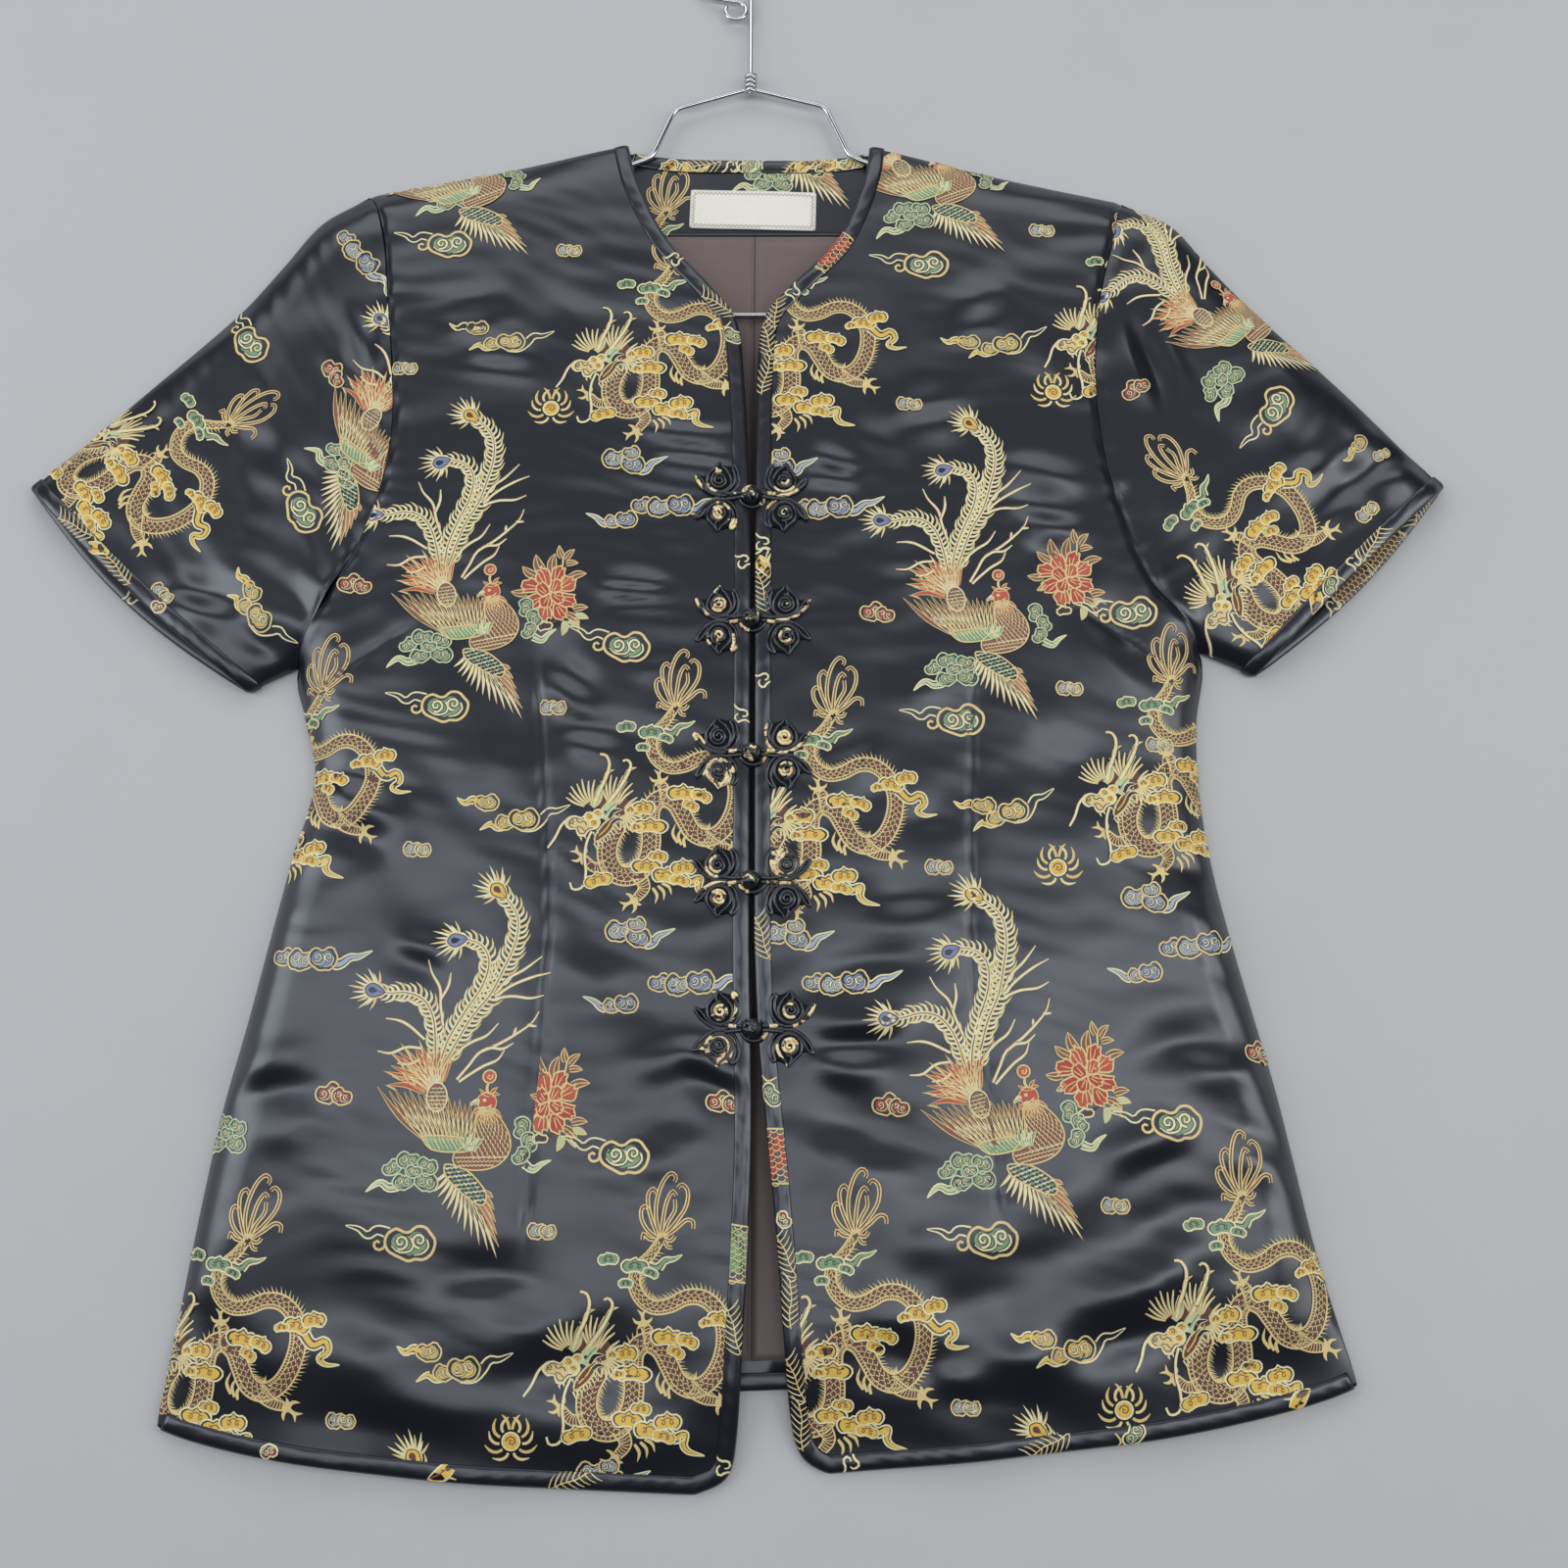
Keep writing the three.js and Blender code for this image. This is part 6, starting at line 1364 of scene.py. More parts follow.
# Where each woven motif falls on the fronts and sleeves: motif, x, y (mm), turn (degrees), scale
LAYOUT = {
    "front_right": [
        ("dragon", -48.4, 221.2, 1, 0.98), ("dragon", -43.8, -9.9, 0, 1), ("dragon", -47.2, -251.6, -1, 1), ("dragon", -232.7, -251.2, -6, 1),
        ("dragon", -213.2, -0.3, -3, 0.98), ("phoenix", -144.5, 113.7, 9.9, 0.96), ("phoenix", -133.7, -122.8, 0.5, 1), ("phoenix", -169.3, 344.6, 24, 0.95),
        ("phoenix", -172.4, -365.7, -8, 1), ("peony", -97.7, 92.6, 8, 1.1), ("pearl", -99.5, 185.4, 0, 1),
        ("pearl", -102.9, -293.3, 0, 1), ("cloud0", -158.8, 277.6, 0, 1), ("cloud0", -149.4, 34.1, 0, 1), ("cloud0", -153.8, -209.9, -2, 1),
        ("cloud0", -64.4, 64.1, -6, 1), ("cloud0", -60.4, -172.5, -4, 1), ("cloud7", -123.5, 220.8, -2, 1), ("cloud7", -108.5, -21.2, 0, 1),
        ("cloud7", -126.5, -263.8, 0, 1), ("cloud8", -140, 229.8, 0, 1), ("cloud8", -125.2, -12.8, 0, 1), ("cloud8", -141.2, -256.2, 0, 1),
        ("cloud1", -191.7, 94.2, 0, 1), ("cloud1", -187, -146.3, 0, 1), ("cloud1", -12.6, -149.8, 0, 1), ("cloud4", -94.8, 273.7, 0, 1),
        ("cloud4", -174, 207.5, 0, 1), ("cloud4", -95.2, 33.6, 0, 1), ("cloud4", -155.7, -34.7, 0, 1), ("cloud4", -178.5, -285, 0, 1),
        ("cloud4", -92.8, -205.3, 0, 1), ("cloud2", -38.3, 133.9, 0, 1), ("cloud2", -197.8, -86.1, -4, 1), ("cloud2", -26, -96.8, 0, 1),
        ("cloud9", -65.8, 126.8, 0, 1), ("cloud9", -61, -106.1, 0, 1), ("cloud10", -61.7, 158.4, 0, 1), ("cloud10", -54.6, -73.5, 0, 1),
        ("cloud10", -62.7, -307.5, 0, 1), ("cloud5", -155.4, 63.1, 6, 1), ("cloud5", -150.6, -180.1, 0, 1), ("cloud5", -155.1, 305.3, 10, 1),
        ("cloud5", -236.6, -163.5, 0, 1),
    ],
    "front_left": [
        ("dragon", 21, 222.2, 1, 0.98), ("dragon", 30.4, -13.6, 0, 1), ("dragon", 39.4, -250.3, 1, 1), ("dragon", 215, -234.6, 7, 1),
        ("dragon", 194.5, 3.9, 5, 0.98), ("dragon", 189.7, 236.1, 6, 0.96), ("phoenix", 99.7, 110.7, 9.3, 0.94), ("phoenix", 102.4, -125.5, 15, 0.98),
        ("phoenix", 71.5, 346.3, 24, 0.95), ("phoenix", 119.3, -360.1, 10, 1), ("peony", 149.7, 100.5, 8, 1.1), ("peony", 150, -135, 10, 1.1),
        ("pearl", 147.7, 194.3, 0, 1), ("pearl", 141.3, -43.4, 0, 1), ("pearl", 162.5, -280.6, 0, 1), ("cloud0", 82.1, 265.5, 2, 1),
        ("cloud0", 93.6, 27.4, 4, 1), ("cloud0", 102, -209.1, 4, 1), ("cloud0", 185.2, -158.8, 4, 1), ("cloud0", 177.3, 80.3, 4, 1),
        ("cloud7", 123.2, 219.7, 8, 1), ("cloud7", 119, -18, 12, 1), ("cloud7", 141.1, -256.2, 6, 1), ("cloud8", 104.8, 221.8, 0, 1),
        ("cloud8", 105.9, -14.2, 0, 1), ("cloud8", 125.6, -250.9, 0, 1), ("cloud1", 58.6, 79.8, 0, 1), ("cloud1", 61.9, -151.1, 0, 1),
        ("cloud1", 230.5, -127.6, 0, 1), ("cloud4", 144.5, 285.3, 0, 1), ("cloud4", 75.4, 188.5, 0, 1), ("cloud4", 148.7, 42.7, 0, 1),
        ("cloud4", 85.2, -43, 0, 1), ("cloud4", 160, -194.4, 0, 1), ("cloud4", 92.6, -279.4, 0, 1), ("cloud4", 190, 15.4, 0, 1),
        ("cloud2", 38.8, 132.8, 0, 1), ("cloud2", 44, -96.8, 0, 1), ("cloud2", 206.7, -79.3, 6, 1), ("cloud9", 177, -92.3, 4, 1),
        ("cloud10", 11.6, 157.4, 0, 1), ("cloud10", 18.1, -74.4, 0, 1), ("cloud10", 181.8, -57.6, 4, 1), ("cloud5", 94.1, 51.5, 6, 1),
        ("cloud5", 95.8, -180.1, 8, 1), ("cloud5", 78.1, 293, 14, 1),
    ],
    "sleeve_right": [
        ("dragon", -298.2, 159.9, -52.7, 1), ("phoenix", -169.9, 197, -34, 0.95), ("cloud0", -253.6, 226.1, -52, 1), ("cloud1", -208.4, 205.9, -50, 1),
        ("cloud5", -200.7, 157.4, -46, 1), ("cloud0", -219.9, 135.4, -58, 1), ("cloud7", -238.8, 80.3, -50, 1), ("cloud8", -242.1, 93.2, -50, 1),
        ("cloud4", -285.8, 92.7, -40, 1), ("cloud2", -197.9, 268.3, -52, 1), ("cloud9", -178.1, 247.6, -40, 1), ("cloud4", -271.7, 63.6, -50, 1),
    ],
    "sleeve_left": [
        ("phoenix", 212.8, 256.4, 46, 0.9), ("dragon", 237.8, 114.8, 47.6, 1), ("cloud5", 231.3, 200.6, 60, 1), ("cloud1", 187.9, 195.9, 40, 0.9),
        ("cloud0", 255.5, 184.4, 62, 1), ("cloud8", 297, 167.5, 55, 0.85), ("cloud4", 298.7, 132.8, 45, 1), ("cloud4", 309, 164.5, 30, 0.75),
        ("cloud10", 304.6, 88.2, 50, 1),
    ],
}


# ------------------------------------------------------------------ finishes
def srgb(r, g, b):
    f = lambda v: v / 12.92 if v <= 0.04045 else ((v + 0.055) / 1.055) ** 2.4
    return (f(r / 255), f(g / 255), f(b / 255), 1.0)


class Nodes:
    def __init__(self, name):
        self.material = bpy.data.materials.new(name)
        self.material.use_nodes = True
        self.tree = self.material.node_tree
        self.tree.nodes.clear()
        self.out = self.tree.nodes.new("ShaderNodeOutputMaterial")
        self.shader = self.tree.nodes.new("ShaderNodeBsdfPrincipled")
        self.tree.links.new(self.shader.outputs["BSDF"], self.out.inputs["Surface"])
        self.coord = self.tree.nodes.new("ShaderNodeTexCoord")

    def node(self, kind, **values):
        n = self.tree.nodes.new(kind)
        for k, v in values.items():
            if hasattr(n, k):
                setattr(n, k, v)
            else:
                n.inputs[k].default_value = v
        return n

    def link(self, a, b):
        self.tree.links.new(a, b)

    def set(self, **values):
        for k, v in values.items():
            self.shader.inputs[k.replace("_", " ")].default_value = v

    def noise(self, size_mm, detail=2.0, rough=0.5, stretch=(1, 1, 1), turn=0.0):
        m = self.node("ShaderNodeMapping")
        m.inputs["Scale"].default_value = stretch
        m.inputs["Rotation"].default_value = (0, 0, math.radians(turn))
        self.link(self.coord.outputs["Object"], m.inputs["Vector"])
        n = self.node("ShaderNodeTexNoise")
        n.inputs["Scale"].default_value = 1000.0 / size_mm
        n.inputs["Detail"].default_value = detail
        n.inputs["Roughness"].default_value = rough
        self.link(m.outputs["Vector"], n.inputs["Vector"])
        return n.outputs["Fac"]

    def bands(self, period_mm, turn=0.0, distort=0.0):
        m = self.node("ShaderNodeMapping")
        m.inputs["Rotation"].default_value = (0, 0, math.radians(turn))
        self.link(self.coord.outputs["Object"], m.inputs["Vector"])
        n = self.node("ShaderNodeTexWave")
        n.inputs["Scale"].default_value = 0.314159 / (period_mm * MM)
        n.inputs["Distortion"].default_value = distort
        self.link(m.outputs["Vector"], n.inputs["Vector"])
        return n.outputs["Fac"]

    def ramp(self, fac, *stops):
        r = self.node("ShaderNodeValToRGB")
        el = r.color_ramp.elements
        el[0].position, el[0].color = stops[0]
        el[1].position, el[1].color = stops[-1]
        for pos, col in stops[1:-1]:
            e = el.new(pos)
            e.color = col
        self.link(fac, r.inputs["Fac"])
        return r.outputs["Color"]

    def mix(self, fac, a, b, blend="MIX"):
        n = self.node("ShaderNodeMix")
        n.data_type = "RGBA"
        n.blend_type = blend
        for v, sock in ((a, n.inputs[6]), (b, n.inputs[7])):
            if hasattr(v, "default_value"):
                self.link(v, sock)
            else:
                sock.default_value = v
        if hasattr(fac, "default_value"):
            self.link(fac, n.inputs[0])
        else:
            n.inputs[0].default_value = fac
        return n.outputs[2]

    def bump(self, height, strength, distance_mm, below=None):
        b = self.node("ShaderNodeBump")
        b.inputs["Strength"].default_value = strength
        b.inputs["Distance"].default_value = distance_mm * MM
        self.link(height, b.inputs["Height"])
        if below is not None:
            self.link(below, b.inputs["Normal"])
        return b.outputs["Normal"]

    def range(self, fac, lo, hi):
        n = self.node("ShaderNodeMapRange")
        n.inputs["To Min"].default_value = lo
        n.inputs["To Max"].default_value = hi
        self.link(fac, n.inputs["Value"])
        return n.outputs["Result"]


def satin(name, dark, light, rough=(0.28, 0.34), sheen=0.05, grain=0.10, turn=0.0):
    n = Nodes(name)
    broad = n.noise(46, 3, 0.55)
    fine = n.noise(0.9, 2, 0.6, (1, 1, 1))
    thread = n.noise(0.55, 1, 0.5, (0.22, 1, 1), turn)
    col = n.mix(n.range(broad, 0.15, 0.85), dark, light)
    col = n.mix(n.range(thread, 0.0, 0.42), col, (light[0] * 1.8, light[1] * 1.8, light[2] * 1.8, 1.0))
    n.link(col, n.shader.inputs["Base Color"])
    n.link(n.range(fine, rough[0], rough[1]), n.shader.inputs["Roughness"])
    weave = n.bump(n.bands(0.42, 90 + turn), 0.06, 0.05)
    weave = n.bump(thread, grain, 0.07, weave)
    slow = n.bump(n.noise(7.5, 3, 0.5, (0.5, 1, 1), turn), 0.10, 0.5, weave)
    n.link(slow, n.shader.inputs["Normal"])
    n.set(Sheen_Weight=sheen, Sheen_Roughness=0.35, Sheen_Tint=(0.66, 0.74, 0.95, 1.0), Specular_IOR_Level=0.85, Specular_Tint=(0.88, 0.92, 1.0, 1.0), Coat_Weight=0.10, Coat_Roughness=0.20, Coat_IOR=1.45)
    return n.material


def yarn(name, rgb, shade=0.62, shine=0.5, metal=0.0, turn=45.0):
    n = Nodes(name)
    base = srgb(*rgb)
    low = tuple(c * shade for c in base[:3]) + (1.0,)
    high = tuple(min(1.0, c * 1.16) for c in base[:3]) + (1.0,)
    twist = n.bands(0.46, turn, 1.2)
    patch = n.noise(1.6, 2, 0.6)
    wide = n.noise(24, 2, 0.5)
    col = n.mix(n.range(patch, 0.1, 0.9), low, high)
    col = n.mix(n.range(twist, 0.0, 0.34), col, low)
    col = n.mix(n.range(wide, 0.0, 0.26), col, tuple(c * 0.72 for c in base[:3]) + (1.0,))
    n.link(col, n.shader.inputs["Base Color"])
    n.link(n.range(patch, 0.40, 0.62), n.shader.inputs["Roughness"])
    n.link(n.bump(patch, 0.35, 0.12, n.bump(twist, 0.5, 0.10)), n.shader.inputs["Normal"])
    n.set(Specular_IOR_Level=shine, Metallic=metal, Sheen_Weight=0.18, Sheen_Roughness=0.4)
    return n.material


GROUND = satin("satin_ground", (0.0040, 0.0046, 0.0072, 1), (0.0072, 0.0084, 0.0128, 1))
GROUND_BIAS = satin("satin_bias", (0.0040, 0.0046, 0.0070, 1), (0.0076, 0.0086, 0.0128, 1), (0.27, 0.35), 0.05, 0.10, 45.0)
CORD = satin("satin_cord", (0.0044, 0.0050, 0.0076, 1), (0.0090, 0.0102, 0.0150, 1), (0.24, 0.33), 0.05, 0.14, 30.0)
YARNS = {
    "gold": yarn("yarn_gold", (242, 216, 150), 0.66, 0.7, 0.06),
    "cream": yarn("yarn_cream", (250, 236, 188), 0.72, 0.65),
    "plum": yarn("yarn_plum", (112, 74, 68), 0.6, 0.4),
    "amber": yarn("yarn_amber", (242, 200, 86), 0.70, 0.6),
    "green": yarn("yarn_green", (140, 172, 130), 0.66, 0.45),
    "leaf": yarn("yarn_leaf", (204, 220, 176), 0.72, 0.5),
    "teal": yarn("yarn_teal", (108, 142, 116), 0.62, 0.45),
    "blue": yarn("yarn_blue", (132, 148, 188), 0.68, 0.45),
    "ice": yarn("yarn_ice", (176, 188, 208), 0.70, 0.45),
    "red": yarn("yarn_red", (194, 76, 62), 0.66, 0.45),
    "coral": yarn("yarn_coral", (204, 96, 74), 0.66, 0.45),
    "salmon": yarn("yarn_salmon", (192, 138, 112), 0.66, 0.45),
    "brown": yarn("yarn_brown", (100, 70, 56), 0.6, 0.4),
    "rust": yarn("yarn_rust", (148, 100, 80), 0.62, 0.45),
    "night": satin("yarn_night", (0.0050, 0.0055, 0.0080, 1), (0.0090, 0.0100, 0.0140, 1), (0.36, 0.46)),
}
YARN_ORDER = list(YARNS)


def lining_cloth():
    n = Nodes("lining_cloth")
    broad = n.noise(30, 3, 0.5)
    slub = n.noise(1.3, 2, 0.6, (0.12, 1, 1))
    col = n.mix(n.range(broad, 0.2, 0.8), srgb(92, 78, 78), srgb(116, 101, 98))
    col = n.mix(n.range(slub, 0, 0.3), col, srgb(134, 118, 114))
    n.link(col, n.shader.inputs["Base Color"])
    n.link(n.range(slub, 0.44, 0.6), n.shader.inputs["Roughness"])
    n.link(n.bump(slub, 0.3, 0.1, n.bump(n.bands(0.4, 0), 0.12, 0.06)), n.shader.inputs["Normal"])
    n.set(Sheen_Weight=0.25, Sheen_Roughness=0.5, Specular_IOR_Level=0.45)
    return n.material


def label_cloth(name, rgb, rgb2):
    n = Nodes(name)
    weave = n.bands(0.6, 0)
    patch = n.noise(3.0, 3, 0.6)
    col = n.mix(n.range(patch, 0.1, 0.9), srgb(*rgb), srgb(*rgb2))
    col = n.mix(n.range(weave, 0.0, 0.16), col, srgb(*[int(c * 0.8) for c in rgb]))
    n.link(col, n.shader.inputs["Base Color"])
    n.link(n.range(patch, 0.6, 0.8), n.shader.inputs["Roughness"])
    n.link(n.bump(weave, 0.3, 0.12, n.bump(n.bands(0.6, 90), 0.3, 0.1)), n.shader.inputs["Normal"])
    n.set(Specular_IOR_Level=0.35, Sheen_Weight=0.2)
    return n.material


def steel():
    n = Nodes("bright_steel")
    streak = n.noise(9.0, 2, 0.5)
    spots = n.noise(14.0, 3, 0.6)
    col = n.mix(n.range(spots, 0.0, 1.0), (0.54, 0.55, 0.57, 1), (0.64, 0.65, 0.66, 1))
    n.link(col, n.shader.inputs["Base Color"])
    n.link(n.range(streak, 0.16, 0.21), n.shader.inputs["Roughness"])
    n.link(n.bump(streak, 0.02, 0.01), n.shader.inputs["Normal"])
    n.set(Metallic=1.0)
    return n.material


def floor_paint():
    n = Nodes("floor_paint")
    col = n.mix(n.range(n.noise(60, 4, 0.6), 0.3, 0.7), (0.50, 0.505, 0.515, 1), (0.545, 0.55, 0.56, 1))
    n.link(col, n.shader.inputs["Base Color"])
    n.link(n.range(n.noise(2.0, 3, 0.6), 0.75, 0.9), n.shader.inputs["Roughness"])
    n.set(Specular_IOR_Level=0.25)
    return n.material


def cord_bed_painted_shade():
    """The turned satin between the coils of a frog, with its colour painted darker than the ground satin as the shade
    that falls between the coils; the weave lies on edge there and hardly shines.
    """
    n = Nodes("cord_bed_painted_shade")
    fine = n.noise(0.8, 2, 0.6)
    # painted shade: a base colour darker than the satin around it, standing in for the shadow between the coils
    n.link(n.mix(fine, (0.0030, 0.0034, 0.0052, 1), (0.0060, 0.0068, 0.0100, 1)), n.shader.inputs["Base Color"])
    n.link(n.range(fine, 0.60, 0.78), n.shader.inputs["Roughness"])
    n.link(n.bump(fine, 0.3, 0.1), n.shader.inputs["Normal"])
    n.set(Specular_IOR_Level=0.16)
    return n.material


LINING, STEEL, PAINTED_SHADE_BED = lining_cloth(), steel(), cord_bed_painted_shade()
LABEL_CLOTH = label_cloth("label_cloth", (246, 243, 235), (234, 230, 219))
LABEL_EDGE = label_cloth("label_thread", (120, 124, 108), (98, 102, 90))
THREAD = yarn("sewing_thread", (34, 34, 42), 0.7, 0.4)


# ------------------------------------------------------------------ motifs laid on cloth
def soup_of(pen, cell=2.6, seg=1.7, weight=1.0):
    """All triangles of a drawing: points, height steps, corners and yarn numbers."""
    V, H, T, C = [], [], [], []
    count = 0
    for outline, colour, layer in pen.fills:
        v, t = fill_outline(outline, cell)
        if not len(t):
            continue
        V.append(v)
        H.append(np.full(len(v), float(layer)))
        T.append(t + count)
        C.append(np.full(len(t), YARN_ORDER.index(colour)))
        count += len(v)
    for points, width, colour, layer in pen.lines:
        d = np.r_[0, np.cumsum(np.linalg.norm(np.diff(points, axis=0), axis=1))]
        if d[-1] < 0.15:
            continue
        n = max(2, int(math.ceil(d[-1] / seg)) + 1)
        if d[-1] < 6 and len(points) > 4:
            n = max(n, min(len(points), 7))
        s = np.linspace(0, d[-1], n)
        p = np.c_[np.interp(s, d, points[:, 0]), np.interp(s, d, points[:, 1])]
        w = np.interp(s, d, width) * 0.5 * weight * (1.3 if np.max(width) >= 0.5 else 1.12)
        _, nn = normals(p)
        V.append(np.vstack([p + nn * w[:, None], p - nn * w[:, None]]))
        H.append(np.full(2 * n, layer + 0.5))
        k = np.arange(n - 1)
        T.append(np.vstack([np.stack([k, k + n, k + n + 1], -1), np.stack([k, k + n + 1, k + 1], -1)]) + count)
        C.append(np.full(2 * (n - 1), YARN_ORDER.index(colour)))
        count += 2 * n
    V, H, T, C = np.vstack(V), np.concatenate(H), np.vstack(T), np.concatenate(C)
    a, b = V[T[:, 1]] - V[T[:, 0]], V[T[:, 2]] - V[T[:, 0]]
    cross = a[:, 0] * b[:, 1] - a[:, 1] * b[:, 0]
    T = np.where((cross > 0)[:, None], T, T[:, ::-1])
    keep = np.abs(cross) > 1e-5
    return V, H, T[keep], C[keep]


class Panel:
    """A stretch of cloth that motifs are laid on: its plan outline and either its surface or a plane."""
    def __init__(self, outline, tree=None, level=0.0, base=0.15, step=0.034, under=False):
        self.outline, self.tree, self.level, self.base, self.step, self.under = np.asarray(outline, float), tree, level, base, step, under
        self.lo, self.hi = self.outline.min(0), self.outline.max(0)
        self.verts, self.tris, self.colours, self.count = [], [], [], 0

    def lay(self, soup, x, y, turn=0.0, scale=1.0, flip=False):
        V, H, T, C = soup
        c, s = math.cos(math.radians(turn)), math.sin(math.radians(turn))
        m = np.array([[c, -s], [s, c]]) * scale
        if flip:
            m = m @ np.diag([-1.0, 1.0])
        p = V @ m.T + (x, y)
        if (p.max(0) < self.lo).any() or (p.min(0) > self.hi).any():
            return
        inside = in_polygon(self.outline, p[:, 0], p[:, 1])
        if not inside.any():
            return
        ok = inside[T].any(axis=1)
        if not inside.all():
            mixed = ok & ~inside[T].all(axis=1)
            out = np.unique(T[mixed])
            out = out[~inside[out]]
            if len(out):
                qx, qy, d = nearest_on(self.outline, p[out, 0], p[out, 1])
                p = p.copy()
                p[out, 0], p[out, 1] = qx, qy
                far = np.zeros(len(p), bool)
                far[out[d > 4.5]] = True
                ok &= ~far[T].any(axis=1)
        T, C = T[ok], C[ok]
        if flip:
            T = T[:, ::-1]
        e1, e2 = p[T[:, 1]] - p[T[:, 0]], p[T[:, 2]] - p[T[:, 0]]
        solid = np.abs(e1[:, 0] * e2[:, 1] - e1[:, 1] * e2[:, 0]) > 2e-4
        T, C = T[solid], C[solid]
        used, T = np.unique(T, return_inverse=True)
        T = T.reshape(-1, 3)
        lift = self.base + self.step * H[used]
        pts = np.empty((len(used), 3))
        if self.tree is None:
            pts[:, :2] = p[used]
            pts[:, 2] = self.level + (-lift if self.under else lift)
        else:
            down = Vector((0, 0, -1))
            for i, (px, py) in enumerate(p[used]):
                hit, normal, _, _ = self.tree.ray_cast(Vector((px, py, 80.0)), down)
                if hit is None:
                    hit, normal, _, _ = self.tree.find_nearest(Vector((px, py, 10.0)))
                if normal.z < 0:
                    normal = -normal
                pts[i] = (hit.x + normal.x * lift[i], hit.y + normal.y * lift[i], hit.z + normal.z * lift[i])
        if self.under:
            T = T[:, ::-1]
        self.verts.append(pts)
        self.tris.append(T + self.count)
        self.colours.append(C)
        self.count += len(pts)

    def build(self, name):
        C = np.concatenate(self.colours)
        used, C = np.unique(C, return_inverse=True)
        return make(name, np.vstack(self.verts), np.vstack(self.tris), [YARNS[YARN_ORDER[k]] for k in used], C.ravel())


def curve3(points, step=0.5):
    """A smooth line through points in space."""
    p = np.asarray(points, float)
    t = np.linspace(0, len(p) - 1, max(8, int(np.linalg.norm(np.diff(p, axis=0), axis=1).sum() / step)))
    return np.stack([by_row(p[:, k], t) for k in range(3)], -1)


# ------------------------------------------------------------------ pieces of the garment
PIECES = {}           # name: object


def piece(ob, slot_name, *nodes):
    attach(ob, "root")
    if nodes:
        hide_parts(*nodes)
    PIECES[ob.name] = ob
    return ob


def mesh_area(ob):
    n = len(ob.data.polygons)
    a = np.empty(n, np.float64)
    ob.data.polygons.foreach_get("area", a)
    return float(a.sum())


# ---- fronts
ROWS, COLS = 264, 106


def front_grid(side):
    fine = np.linspace(0, SHOULDER, 1600)
    mid = (side_point(side, fine) + edge_point(side, fine)) / 2
    run = np.r_[0, np.cumsum(np.linalg.norm(np.diff(mid, axis=0), axis=1))]
    t = np.interp(np.linspace(0, run[-1], ROWS), run, fine)
    u = np.linspace(0, 1, COLS)
    u = np.r_[0, 0.003, 0.007, 0.012, u[2:-2], 1 - 0.4 / (COLS - 1), 1]
    T, U = np.meshgrid(t, u, indexing="ij")
    a, b = side_point(side, T), edge_point(side, T)
    p = a + (b - a) * U[..., None]
    p[..., 1] -= HEM_BULGE * np.sin(np.pi * U ** 0.7) * np.maximum(0, 1 - T / 6) ** 2
    z = front_height(side, p[..., 0], p[..., 1])
    return np.dstack([p, z]), t


FRONT, FRONT_TREE, FRONT_EDGE = {}, {}, {}
for side in ("right", "left"):
    top, row_t = front_grid(side)
    bottom = top.copy()
    bottom[..., 2] = np.maximum(top[..., 2] - CLOTH, 0.35)
    verts, quads = shell(top, bottom)
    quads = outward_faces(verts, quads)
    ob = make("front_panel_" + side, verts, quads, [GROUND])
    FRONT[side] = piece(ob, "brocade", "front_" + side)
    n, m = top.shape[:2]
    FRONT_TREE[side] = surface_of(top.reshape(-1, 3), grid_quads(n, m))
    # plan outline
    outline = np.vstack([top[:, -1, :2], top[::-1, 0, :2], top[0, 1:-1, :2]])
    FRONT_EDGE[side] = dict(grid=top, outline=outline)

print("fronts", {s: len(o.data.polygons) for s, o in FRONT.items()})


